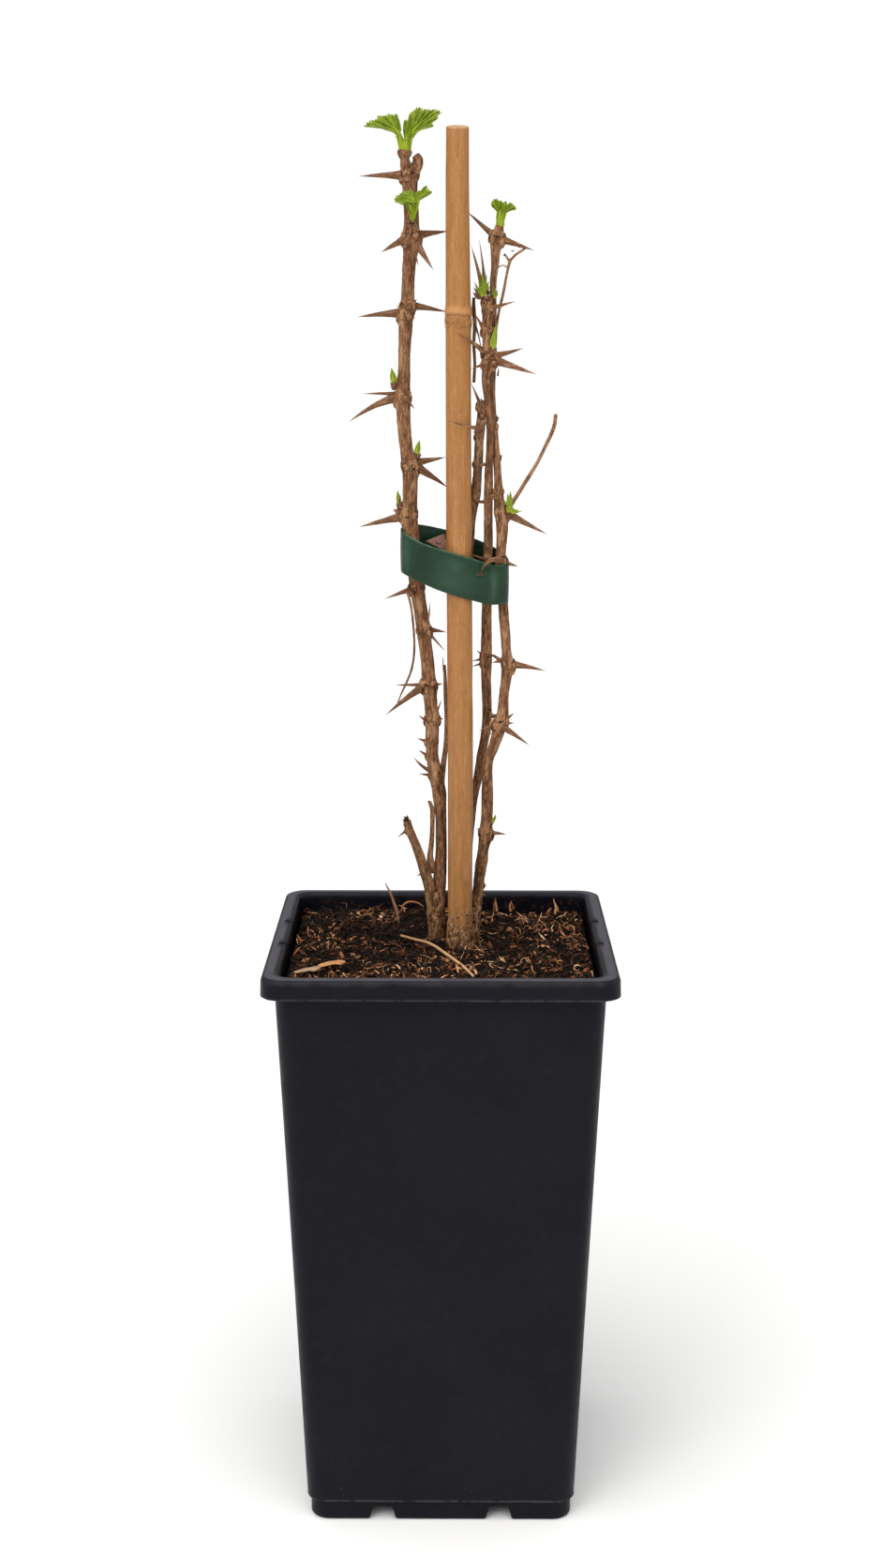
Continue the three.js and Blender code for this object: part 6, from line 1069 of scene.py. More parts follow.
def spur(soup, p, up, out, size, n, seed):
    """Old bud scales round a node: small overlapping chips of bark."""
    r_ = np.random.default_rng(500 + seed)
    up, out = unit(up), unit(out)
    side = unit(np.cross(up, out))
    for k in range(n):
        a = 2 * np.pi * k / n + r_.uniform(-0.4, 0.4)
        rad = side * math.cos(a) + out * math.sin(a)
        base = p + rad * size * r_.uniform(0.2, 0.55) - up * size * r_.uniform(0.0, 0.35)
        scale_leaf(soup, base, up * r_.uniform(0.7, 1.1) + rad * r_.uniform(0.25, 0.8), rad, size * r_.uniform(0.7, 1.25), size * r_.uniform(0.55, 0.95),
                   curl=r_.uniform(0.05, 0.4), thick=0.2, thorn=0.0, cut=0.0, knot=r_.uniform(0.1, 1.0))


A_KEYS = [k for k, t in THORNS.items() if t["s"] == "A"]
B_KEYS = [k for k, t in THORNS.items() if t["s"] == "B"]
R1_KEYS = [k for k, t in THORNS.items() if t["s"] == "R1"]
R2_KEYS = [k for k, t in THORNS.items() if t["s"] == "R2"]
R3_KEYS = [k for k, t in THORNS.items() if t["s"] == "R3"]

UP = (0, 0, 1)
stem("stem_left_bark", STEM_LEFT, A_KEYS, BARK, ("stem_left",), seed=3, cut1=False, round1=1.2,
     extra=[(KNOB_LEFT, dict(cut1=False, round1=0.8)), (KNOB_RIGHT, dict(cut1=True))],
     spurs=[((-13.25, 6.0, 511.4), UP, (0, -1, 0), 2.3, 10), ((-13.2, 5.6, 509.6), (0, -0.2, -1), (0, -1, 0), 1.9, 8), ((-11.6, 4.6, 506.6), UP, (-0.2, -1, 0), 1.5, 6), ((-10.6, 4.2, 504.8), (0.3, 0, 1), (0.1, -1, 0), 1.3, 5), ((-13.0, 4.5, 503.6), UP, (-0.8, -0.6, 0), 1.3, 5),
            ((-11, 3.2, 487.6), UP, (0, -1, 0), 2.0, 7), ((-10.6, 3.4, 483.4), UP, (0, -1, 0), 1.3, 5),
            ((-14.6, 3.6, 456.8), UP, (-0.6, -0.8, 0), 1.2, 4), ((-17.6, 4.3, 428.0), UP, (-0.9, -0.4, 0), 1.5, 6), ((-13.4, 2.6, 423.6), (0.2, 0, -1), (0, -1, 0), 1.3, 6),
            ((-9.6, 4.2, 402.6), UP, (0.8, -0.6, 0), 1.5, 6), ((-10.4, 2.9, 398.6), UP, (0.4, -0.9, 0), 1.2, 5),
            ((-15.2, 4.6, 384.0), UP, (-0.8, -0.6, 0), 1.5, 6), ((-12.8, 3.4, 380.6), UP, (-0.3, -0.9, 0), 1.3, 5),
            ((-10.6, 4.2, 352.6), UP, (-0.6, -0.8, 0), 1.3, 6), ((-6.6, 5.4, 337.6), UP, (0.4, -0.9, 0), 1.2, 5), ((-5.8, 5.8, 316.6), UP, (-0.4, -0.9, 0), 1.5, 6),
            ((-3.4, 6.4, 303.6), UP, (0.5, -0.8, 0), 1.1, 5), ((-3.8, 7.0, 295.0), UP, (-0.7, -0.7, 0), 1.0, 4), ((-2.4, 7.0, 281.8), UP, (-0.3, -0.9, 0), 1.2, 6)])
stem("stem_left_stub_bark", STUB_LEFT, B_KEYS, BARK_DRY, ("stem_left_stub",), seed=5, sides=32,
     spurs=[((-13.4, 2.4, 265.0), (-0.3, 0, 1), (0, -1, 0), 1.7, 8), ((-13.6, 2.0, 262.6), (-0.4, 0, 1), (-0.6, -0.8, 0), 1.3, 5)])
stem("side_shoot_bark", SIDE_SHOOT_LEFT, [], BARK_YOUNG, ("stem_left_side_shoot",), seed=6, sides=28, step=0.35, ridge=0.06, spurs=[((-4.6, 5.4, 271.4), UP, (-0.6, -0.6, 0), 0.9, 5)])
stem("inner_left_bark", INNER_LEFT, [], BARK_YOUNG, ("stem_left_inner",), seed=7, sides=28, step=0.35, ridge=0.07, cut1=False,
     extra=[([[1.4, 12, 318.5, 0.4], [0.7, 11.2, 322.4, 0.28], [0.5, 11.0, 327.0, 0.1]], dict(cut1=False)), ([[1.5, 12, 309, 0.4], [0.9, 11.2, 312.0, 0.2], [0.8, 11, 314.5, 0.06]], dict(cut1=False))])
stem("stem_right_outer_bark", STEM_RIGHT_OUTER, R1_KEYS, BARK, ("stem_right_outer",), seed=11, sides=32, extra=[(r_, dict(cut1=False, round1=0.4)) for r_ in JOINTS["R1"]],
     spurs=[((20.6, 8.4, 482.6), UP, (0, -1, 0), 1.5, 7), ((24.6, 4.6, 384.6), UP, (0.6, -0.8, 0), 1.5, 7), ((22.2, 4.9, 378.4), UP, (0.1, -1, 0), 1.2, 5), ((22.6, 4.4, 365.6), UP, (0, -1, 0), 1.1, 4),
            ((25.6, 3.6, 326.2), UP, (0.5, -0.9, 0), 1.2, 5), ((22.4, 2.9, 303.0), UP, (0.1, -1, 0), 1.6, 8), ((20.4, 3.2, 299.6), UP, (-0.4, -0.9, 0), 1.3, 6),
            ((17.8, 6.6, 259.6), UP, (0.3, -0.9, 0), 1.4, 6), ((14.2, 9.6, 238.0), UP, (-0.5, -0.8, 0), 1.2, 6), ((13.4, 10.6, 231.0), UP, (-0.6, -0.8, 0), 1.3, 7)])
stem("stem_right_mid_bark", STEM_RIGHT_MID, R2_KEYS, BARK, ("stem_right_mid",), seed=13, sides=30, cut1=False, round1=1.6, extra=[(r_, dict(cut1=False, round1=0.4)) for r_ in JOINTS["R2"]],
     spurs=[((16.7, 3.4, 462.4), UP, (0, -1, 0), 1.7, 8), ((17.0, 2.8, 456.6), UP, (0.3, -0.9, 0), 1.2, 5), ((18.4, 2.6, 439.6), UP, (0.2, -1, 0), 1.8, 8), ((16.4, 2.8, 441.4), UP, (-0.6, -0.8, 0), 1.2, 5),
            ((17.0, 9.0, 328.0), UP, (-0.4, -0.9, 0), 1.2, 5), ((18.2, 9.6, 307.0), UP, (0.6, -0.8, 0), 1.2, 5), ((13.6, 11.0, 281.0), UP, (-0.6, -0.7, 0), 1.0, 5)])
stem("stem_right_inner_bark", STEM_RIGHT_INNER, R3_KEYS, BARK_DRY, ("stem_right_inner",), seed=17, sides=28, cut1=False, round1=1.2, extra=[(r_, dict(cut1=False, round1=0.4)) for r_ in JOINTS["R3"]],
     spurs=[((12.8, 7.6, 389.2), UP, (-0.2, -1, 0), 1.3, 6), ((13.6, 6.6, 400.6), UP, (-0.6, -0.8, 0), 1.0, 4), ((14.8, 4.4, 418.2), UP, (0, -1, 0), 1.5, 8), ((13.6, 4.2, 421.4), (-0.4, 0, 1), (-0.4, -1, 0), 1.4, 7), ((15.4, 4.4, 423.6), (0.2, 0, 1), (0.2, -1, 0), 1.4, 7), ((14.6, 4.0, 414.6), (0.3, 0, 1), (0, -1, 0), 1.3, 6)])
stem("twig_right_bark", TWIG_RIGHT, [], BARK_YOUNG, ("twig_right",), seed=19, sides=24, step=0.4, ridge=0.07,
     cut1=False, round1=0.8,
     spurs=[((42.2, 1.4, 418.0), (0.15, 0, 1), (-0.2, -1, 0), 0.8, 6), ((40.6, 1.6, 411.6), (0.4, 0, 1), (-0.6, -0.8, 0), 0.8, 4)])
stem("twig_top_bark", TWIG_TOP, [], BARK_YOUNG, ("twig_right_top",), seed=21, sides=20, step=0.4, ridge=0.05, cut1=False,
     extra=[(TWIG_TOP_FORK_RIGHT, dict(cut1=True)), (TWIG_TOP_FORK_LEFT, dict(cut1=True)),
            ([[19.3, 10.3, 471.2, 0.32], [20.6, 9.4, 471.8, 0.2], [21.8, 8.4, 472.6, 0.16], [23.0, 7.4, 472.6, 0.22], [24.4, 6.4, 471.4, 0.2]], dict(cut1=False))],
     spurs=[((30.2, 5.0, 478.4), (0.6, 0, 1), (0.4, -1, 0), 0.9, 5), ((23.2, 6.3, 476.2), (-0.6, 0, 0.6), (0, -1, 0), 0.8, 5), ((26.0, 5.4, 477.6), (-0.3, 0, 1), (0, -1, 0), 0.7, 4), ((28.4, 5.2, 479.0), (0, 0, 1), (0, -1, 0), 0.6, 4)])
stem("twig_dry_bark", DRY_TWIG, [], BARK_DRY, ("twig_right_dry",), seed=23, sides=20, step=0.4, ridge=0.09,
     extra=[([[12.2, 8.8, 452.0, 0.4], [13.6, 7.6, 447.6, 0.28], [14.6, 6.6, 443.0, 0.12]], dict(cut1=False))],
     spurs=[((12.0, 8.6, 460.6), UP, (-0.3, -1, 0), 1.0, 5), ((12.1, 8.4, 454.4), (0.2, 0, 1), (-0.4, -0.9, 0), 0.9, 5)])
stem("hanging_twig_bark", HANGING_TWIG, [], BARK_DRY, ("twig_left_hanging",), seed=25, sides=16, step=0.35, ridge=0.05, cut1=False)

# ------------------------------------------------------------------ cane
def build_cane():
    soup = Soup()
    rows = [[8.6, 4.3, 22, 4.75], [7.3, 4, 217, 4.8], [7.26, 4, 281, 4.85], [6.91, 4, 332, 4.85], [6.46, 4, 381.5, 4.78], [6.2, 4, 433.2, 4.69], [6.16, 4, 454, 4.66], [6.01, 4, 466.9, 4.53], [5.73, 4, 500, 4.3], [5.71, 4, 521.05, 4.22]]
    Q, s = spline(rows, 0.8)
    zz = Q[:, 2]
    # finer rows round the node and the cut
    z = np.unique(np.round(np.concatenate([np.arange(22, 441, 1.7), np.arange(441, 462, 0.26), np.arange(462, 519.4, 1.6), np.arange(519.4, 521.05, 0.15), [521.05]]), 3))
    C = np.stack([np.interp(z, zz, Q[:, 0]), np.interp(z, zz, Q[:, 1]), z], -1)
    R = np.interp(z, zz, Q[:, 3])
    m = 72
    th = np.linspace(0, 2 * np.pi, m, endpoint=False)
    co3 = np.stack([R[:, None] * np.cos(th), R[:, None] * np.sin(th), np.broadcast_to(z[:, None], (len(z), m))], -1)
    tilt = 0.35 * np.cos(th - 0.6)[None]
    wob = vnoise(np.stack([3 * np.cos(th), 3 * np.sin(th), 0 * th], -1), 3)[None]
    zn = z[:, None] - 456.0 + tilt + 0.30 * wob
    # upper ridge, waist and the sheath scar below it, broken into short slanting flakes
    swell = 0.40 * np.exp(-(zn / 1.5) ** 2) + 0.30 * np.exp(-((zn + 3.4) / 1.9) ** 2) - 0.12 * np.exp(-((zn + 1.55) / 0.35) ** 2)
    flake_in = co3 * [0.8, 0.8, 0.55]
    flake_in[..., 2] = flake_in[..., 2] + 0.25 * flake_in[..., 0]
    flake = (0.42 - np.abs(vnoise(flake_in * [1.3, 1.3, 2.6], 14))) * 0.42 * np.exp(-((zn + 4.2) / 2.4) ** 2)
    dents = -0.10 * smooth(vnoise(co3 * [0.42, 0.42, 0.06], 15), 0.5, 0.9)
    groove = fbm(co3 * [0.5, 0.5, 0.02], 3, 4) * 0.05 + fbm(co3 * [1.7, 1.7, 0.05], 2, 5) * 0.018
    r = R[:, None] + swell + groove + flake + dents
    r[-1] -= 0.16
    r[-2] -= 0.04
    P = np.stack([C[:, 0][:, None] + r * np.cos(th), C[:, 1][:, None] + r * np.sin(th), np.broadcast_to(z[:, None], r.shape)], -1)
    P[..., 2] += 0.264 * (P[..., 1] - 4.0) * smooth(z, 500, 521)[:, None]
    n = len(z)
    V = [P.reshape(-1, 3)]
    F = [grid_faces(n, m)]
    cut = [np.zeros(n * m)]
    pith = [np.zeros(n * m)]
    cos3 = [co3.reshape(-1, 3)]
    loop = np.arange(m) + (n - 1) * m
    count = n * m
    top = C[-1]
    ring_noise = vnoise(np.stack([4 * np.cos(th), 4 * np.sin(th), 0 * th], -1), 8)
    # rings down into the hollow: radius, depth, cut tone and painted shade on the hollow's wall
    for rr, dz, ct, pi_ in ((3.7, 0.02, 1, 0), (3.05, 0.0, 1, 0), (2.75, -0.22, 1, 0.35), (2.0, -0.42, 0.8, 0.25), (1.25, -0.5, 0.7, 0.5), (0.85, -0.7, 0.6, 0.9), (0.7, -1.6, 0.3, 1), (0.5, -2.8, 0.2, 1)):
        rad = rr * (1 + 0.05 * ring_noise)
        # the hollow sits off centre, towards the right
        ox = 0.55 * (1 - rr / 4.2)
        pts = np.stack([top[0] + ox + rad * np.cos(th), top[1] + rad * np.sin(th), np.full(m, top[2] + dz) + 0.06 * ring_noise + 0.264 * rad * np.sin(th) * (1 if dz > -1 else 0.5)], -1)
        V.append(pts)
        cos3.append(pts)
        cut.append(np.full(m, ct))
        pith.append(np.full(m, pi_))
        new = np.arange(m) + count
        F.append(np.stack([loop, np.roll(loop, -1), np.roll(new, -1), new], -1))
        loop = new
        count += m
    V.append(np.array([[top[0] + 0.5, top[1], top[2] - 2.9], [C[0][0], C[0][1], 22]]))
    cos3.append(np.zeros((2, 3)))
    cut.append(np.zeros(2))
    pith.append(np.array([1.0, 0]))
    F.append(np.stack([loop, np.roll(loop, -1), np.full(m, count)], -1))
    k = np.arange(m)
    F.append(np.stack([np.roll(k, -1), k, np.full(m, count + 1)], -1))
    nodeattr = np.concatenate([np.exp(-(zn / 1.4) ** 2).ravel(), np.zeros(count + 2 - n * m)])
    # the sheath scar's own colour plus painted shade that follows the low parts of the waist, the flakes and the dents
    scar_v = 0.7 * np.exp(-((zn + 1.6) / 0.4) ** 2) + 0.9 * np.exp(-((zn + 4.4) / 2.3) ** 2) * smooth(-flake, -0.02, 0.10) + 0.12 * smooth(-dents, 0.03, 0.10)
    scar = np.concatenate([scar_v.ravel(), np.zeros(count + 2 - n * m)])
    soup.add(np.concatenate(V), F, co3=np.concatenate(cos3), cut=np.concatenate(cut), pith=np.concatenate(pith), node=nodeattr, scar=scar)
    soup.build("cane_bamboo", CANE_MAT, ("bamboo_cane",))


build_cane()

# ------------------------------------------------------------------ crown: bark that clasps the cane's foot
def build_crown():
    soup = Soup()
    def disp(co3, P, s, th, R):
        w = co3 + 1.2 * np.stack([vnoise(co3 * 0.35, 61), vnoise(co3 * 0.35, 62), vnoise(co3 * 0.35, 63)], -1)
        a = fbm(w * [0.7, 0.7, 0.32], 4, 60) * 0.55
        b = (0.5 - np.abs(vnoise(w * [1.5, 1.5, 0.75], 64))) * 0.30
        c = vnoise(w * 2.6, 66) * 0.07
        return a + b + c
    tube(soup, [[7.4, 4.1, 203, 6.4], [7.35, 4.05, 211, 6.1], [7.3, 4.0, 216, 5.55], [7.28, 4.0, 222, 4.95], [7.26, 4.0, 229, 4.66], [7.24, 4.0, 236, 4.35]], 0.42, 84, disp, seed=60, offset=2)
    tube(soup, [[-1.4, 11.4, 204, 3.9], [-1.5, 11.2, 211, 3.5], [-1.6, 11.0, 216.5, 3.35], [-2.0, 10.6, 223, 3.45], [-2.3, 10.3, 229, 3.3], [-2.5, 10.0, 234, 2.9], [-2.4, 9.9, 239, 2.0]], 0.42, 64, disp, seed=61, offset=9)
    tube(soup, [[11.6, 10.2, 205, 3.3], [11.9, 10.4, 214, 2.9], [12.5, 10.8, 221, 2.5], [13.3, 11.1, 227, 2.15], [13.9, 11.1, 233, 1.6]], 0.42, 52, disp, seed=62, offset=14)
    # the knuckle between the stems, mostly under the compost
    u = np.linspace(0.02, np.pi - 0.02, 28)
    v = np.linspace(0, 2 * np.pi, 60, endpoint=False)
    S = np.stack([np.sin(u)[:, None] * np.cos(v), np.sin(u)[:, None] * np.sin(v), np.broadcast_to(-np.cos(u)[:, None], (28, 60))], -1)
    base = np.array([7, 14, 203.5]) + S * [13.5, 9.2, 12.5]
    base = base + S * (fbm(base * 0.22, 4, 70) * 1.6)[..., None]
    soup.add(base.reshape(-1, 3), [grid_faces(28, 60)], co3=base.reshape(-1, 3), cut=0.0)
    k = np.arange(60)
    for i, r in enumerate(ROOTS):
        tube(soup, r, 1.2, 14, lambda co3, P, s, th, R: fbm(co3 * [0.6, 0.6, 0.2], 3, 80) * 0.3 * R, seed=80 + i, offset=20 + i)
    soup.build("crown_bark", CROWN, ("root_crown",))


build_crown()

# ------------------------------------------------------------------ pot
def ring_of(half, corner, z, steps=12, side=14, cx=0.0, cy=0.0):
    pts = []
    inner = half - corner
    quads = [(1, 1), (-1, 1), (-1, -1), (1, -1)]
    for q, (sx, sy) in enumerate(quads):
        a = np.pi / 2 * (q + np.linspace(0, 1, steps + 1))
        arc = np.stack([sx * inner + corner * np.cos(a), sy * inner + corner * np.sin(a)], -1)
        pts.append(arc)
        nx, ny = quads[(q + 1) % 4]
        a1 = np.pi / 2 * (q + 1)
        nxt = np.array([nx * inner + corner * math.cos(a1), ny * inner + corner * math.sin(a1)])
        t = np.linspace(0, 1, side + 1)[1:-1, None]
        pts.append(arc[-1] * (1 - t) + nxt * t)
    p = np.concatenate(pts)
    return np.column_stack([p, np.full(len(p), z)])


def build_pot():
    def arc(h0, z0, h1, z1, bulge_h, bulge_z, n=4):
        t = np.linspace(0, 1, n + 1)[1:-1]
        return [((1 - k) ** 2 * h0 + 2 * k * (1 - k) * bulge_h + k * k * h1, (1 - k) ** 2 * z0 + 2 * k * (1 - k) * bulge_z + k * k * z1) for k in t]
    prof = []  # half, z, corner, flash, painted rim-edge highlight, soily, painted rim-top reflection
    def row(h, z, c, fl=0, ru=0, so=0, sh=0):
        prof.append((h, z, max(c, 0.4), fl, ru, so, sh))
    HT, HB, HF = 60.5, 51.7, 50.4  # half widths: body top, body foot, foot ring
    row(HF - 1.7, 6.0, 5.8)
    row(HF - 1.7, 1.0, 5.8)
    row(HF - 1.55, 0.4, 6.0)
    row(HF - 1.2, 0.0, 6.2)
    row(HF - 0.7, 0.0, 6.7)
    row(HF - 0.3, 0.12, 7.0)
    row(HF - 0.1, 0.45, 7.2)
    row(HF, 1.0, 7.3)
    for z in np.linspace(2.2, 7.2, 5):
        row(HF, z, 7.4, 0.0)
    row(HF, 7.75, 7.4, 0.25)
    row(HF + 0.02, 7.95, 7.4, 0.6)
    row(HB - 0.4, 7.98, 7.5, 1.0)
    row(HB + 0.02, 8.02, 7.6, 1.0)
    row(HB + 0.08, 8.2, 7.6, 0.9)
    row(HB + 0.04, 8.5, 7.6, 0.25)
    row(HB + 0.02, 9.2, 7.6, 0.0)
    for z in np.linspace(11, 212.2, 46):
        t = (z - 8.3) / (213.6 - 8.3)
        row(HB + (HT - HB) * t, z, 7.6)
    row(HT, 213.6, 7.6)
    row(HT + 0.05, 217.0, 7.6)
    row(HT + 0.15, 219.2, 7.6)
    row(HT + 0.6, 219.5, 7.6)
    row(63.4, 219.4, 7.2)
    row(63.9, 218.6, 6.8)
    row(64.0, 214.6, 6.6)
    row(64.15, 213.75, 6.8, 0.3)
    row(64.5, 213.6, 7.2, 0.8)
    row(65.1, 213.6, 7.7, 0.9)
    row(65.38, 213.75, 8.0, 0.8)
    row(65.38, 214.1, 8.0, 0.2)
    row(65.36, 214.7, 8.0)
    for z in (215.6, 216.8, 218.0, 218.6):
        row(65.36 - 0.03 * (z - 214.5), z, 8.0)
    # rim rows: the rounded edges take a painted-highlight value and the flat top a painted-reflection value
    for h, z in arc(65.24, 218.9, 63.7, 220.95, 65.15, 220.75, 8):
        row(h, z, 7.9, 0, 1.0)
    row(63.7, 220.95, 7.0, 0, 0.7, 0, 1)
    row(62.4, 221.0, 6.6, 0, 0.1, 0, 1)
    row(61.2, 221.0, 6.3, 0, 0.1, 0, 1)
    row(60.2, 220.95, 6.1, 0, 0.5)
    for h, z in arc(60.2, 220.95, 58.78, 219.4, 58.95, 220.85, 7):
        row(h, z, 5.9, 0, 0.9)
    row(58.75, 219.0, 5.8, 0, 0.2, 0.2)
    for z in (217.8, 216.4, 215.0, 213.6, 210.0):
        row(58.75 + 0.09 * (219 - z), z, 6.2, 0, 0, 0.8)
    for z in np.linspace(195, 14, 12):
        t = (z - 8.3) / (213.6 - 8.3)
        row(HB + (HT - HB) * t - 1.2, z, 6.2)
    row(HB - 1.6, 9.4, 5.6)
    row(HB - 3.2, 7.7, 4.6)
    row(HB - 4.6, 7.5, 4.2)
    rings, fl, ru, so, sh = [], [], [], [], []
    for h, z, c, f_, r_, s_, k_ in prof:
        p = ring_of(h, c, z)
        # long flat sides bow inwards very slightly, as thin moulded walls do
        if 12 < z < 212 and h < 60:
            mid = np.exp(-((z - 115) / 70.0) ** 2)
            ax = np.abs(p[:, 0]) > np.abs(p[:, 1])
            along = np.where(ax, p[:, 1], p[:, 0]) / h
            bow = 0.45 * mid * (1 - along ** 2)
            p[:, 0] = np.where(ax, p[:, 0] - np.sign(p[:, 0]) * bow, p[:, 0])
            p[:, 1] = np.where(~ax, p[:, 1] - np.sign(p[:, 1]) * bow, p[:, 1])
        if f_ > 0.5:
            j = vnoise(p * [0.35, 0.35, 0.0] + z, 12) * 0.10 + vnoise(p * [1.3, 1.3, 0.0] + z, 13) * 0.06
            p[:, 2] += j * (1 if z > 100 else 0.8)
        rings.append(p)
        n = len(p)
        fl.append(np.full(n, f_)); ru.append(np.full(n, r_)); so.append(np.full(n, s_)); sh.append(np.full(n, float(k_)))
    n = len(rings)
    m = len(rings[0])
    V = np.concatenate(rings)
    k = np.arange(m)
    soup = Soup()
    # floor: rings closing to the middle, both sides
    inner_top = rings[-1]
    low = rings[0]
    parts = [V]
    F = [grid_faces(n, m)]
    count = len(V)
    extra_rings = 0
    def close(loop, base, z, flip):
        nonlocal count, extra_rings
        for q in (0.75, 0.5, 0.25, 0.06):
            pts = base * [q, q, 0] + [0, 0, z]
            parts.append(pts)
            new = np.arange(m) + count
            f = np.stack([loop, np.roll(loop, -1), np.roll(new, -1), new], -1)
            F.append(f[:, ::-1] if flip else f)
            loop = new
            count += m
            extra_rings += 1
        parts.append(np.array([[0, 0, z]]))
        f = np.stack([loop, np.roll(loop, -1), np.full(m, count)], -1)
        F.append(f[:, ::-1] if flip else f)
        count += 1
    close(np.arange(m) + (n - 1) * m, inner_top, 7.5, False)
    close(np.arange(m), low, 6.0, True)
    pad = count - len(V)
    z0 = np.zeros(pad)
    soup.add(np.concatenate(parts), F, flash=np.r_[np.concatenate(fl), z0], rub=np.r_[np.concatenate(ru), z0], soily=np.r_[np.concatenate(so), z0], shelf=np.r_[np.concatenate(sh), z0])
    pot = soup.build("pot_moulded", POT, ("pot",))
    # notches, slits and drain holes
    cut = Soup()
    def prism(outline, depth0, depth1, mapf):
        o = np.array(outline, float)
        q = len(o)
        a = np.column_stack([o[:, 0], np.full(q, depth0), o[:, 1]])
        b = np.column_stack([o[:, 0], np.full(q, depth1), o[:, 1]])
        v = mapf(np.concatenate([a, b]))
        i = np.arange(q)
        side = np.stack([i, np.roll(i, -1), np.roll(i, -1) + q, i + q], -1)
        tri0 = np.array([[0, i_ + 1, i_] for i_ in range(1, q - 1)])
        tri1 = np.array([[q, i_ + q, i_ + 1 + q] for i_ in range(1, q - 1)])
        f = [side, tri0, tri1]
        # face outwards
        c = v.mean(0)
        t = f[0][0]
        nrm = np.cross(v[t[1]] - v[t[0]], v[t[2]] - v[t[0]])
        if nrm @ (v[t].mean(0) - c) < 0:
            f = [g[:, ::-1] for g in f]
        cut.add(v, f)
    w0, w1, zt = 5.3, 3.15, 5.8
    outline = [(-w0 - 0.9, -1.0), (w0 + 0.9, -1.0), (w0 + 0.35, 0.0), (w0 - 0.35, 0.75), (w1 + 0.75, zt - 1.2), (w1 + 0.45, zt - 0.45), (w1 - 0.15, zt), (-w1 + 0.15, zt), (-w1 - 0.45, zt - 0.45), (-w1 - 0.75, zt - 1.2), (-w0 + 0.35, 0.75), (-w0 - 0.35, 0.0)]
    for at in (-22.4, 22.4):
        for sgn in (-1, 1):
            prism(outline, 46.0, 53.0, lambda v, at=at, sgn=sgn: v * [1, sgn, 1] + [at, 0, 0])
            prism(outline, 46.0, 53.0, lambda v, at=at, sgn=sgn: (v * [1, sgn, 1] + [at, 0, 0])[:, [1, 0, 2]])
    for sgn in (-1, 1):
        for at in (-15.5, 15.5):
            o = [(-0.55, 212.3), (0.55, 212.3), (0.62, 222), (-0.62, 222)]
            prism(o, 57.0, 61.9, lambda v, at=at, sgn=sgn: (v * [1, sgn, 1] + [at, 0, 0])[:, [1, 0, 2]])
    for x, y in ((0, 0), (27, 27), (-27, 27), (-27, -27), (27, -27)):
        t = np.linspace(0, 2 * np.pi, 24, endpoint=False)
        a = np.column_stack([x + 4.5 * np.cos(t), y + 4.5 * np.sin(t), np.full(24, 5.0)])
        b = a + [0, 0, 4]
        i = np.arange(24)
        cut.add(np.concatenate([a, b]), [np.stack([i, np.roll(i, -1), np.roll(i, -1) + 24, i + 24], -1), i[None, ::-1], i[None] + 24])
    cutter = cut.build("cutter", POT)
    mod = pot.modifiers.new("cut", "BOOLEAN")
    mod.operation = "DIFFERENCE"
    mod.solver = "EXACT"
    mod.object = cutter
    dg = bpy.context.evaluated_depsgraph_get()
    me = bpy.data.meshes.new_from_object(pot.evaluated_get(dg), preserve_all_data_layers=True, depsgraph=dg)
    pot.modifiers.clear()
    old = pot.data
    pot.data = me
    me.name = "pot_mesh"
    bpy.data.meshes.remove(old)
    bpy.data.objects.remove(cutter)
    me.polygons.foreach_set("use_smooth", np.ones(len(me.polygons), bool))
    me.set_sharp_from_angle(angle=math.radians(38))
    print("pot faces", len(me.polygons))


build_pot()

# ------------------------------------------------------------------ compost
def ground(x, y):
    """Height of the compost, mm."""
    p = np.stack([x, y, np.zeros_like(x)], -1)
    edge = np.maximum(np.abs(x), np.abs(y))
    z = 213.7 + fbm(p * 0.055, 3, 101) * 1.5 + fbm(p * 0.22, 4, 104) * 1.5
    z = z - smooth(edge, 50, 58) * 0.7
    z = z + 1.3 * np.exp(-(((x + 30) / 22) ** 2 + ((y - 34) / 18) ** 2)) + 1.2 * np.exp(-(((x + 8) / 14) ** 2 + ((y - 24) / 12) ** 2))
    z = z + 0.9 * np.exp(-(((x - 7) / 13) ** 2 + ((y - 10) / 11) ** 2))
    return z


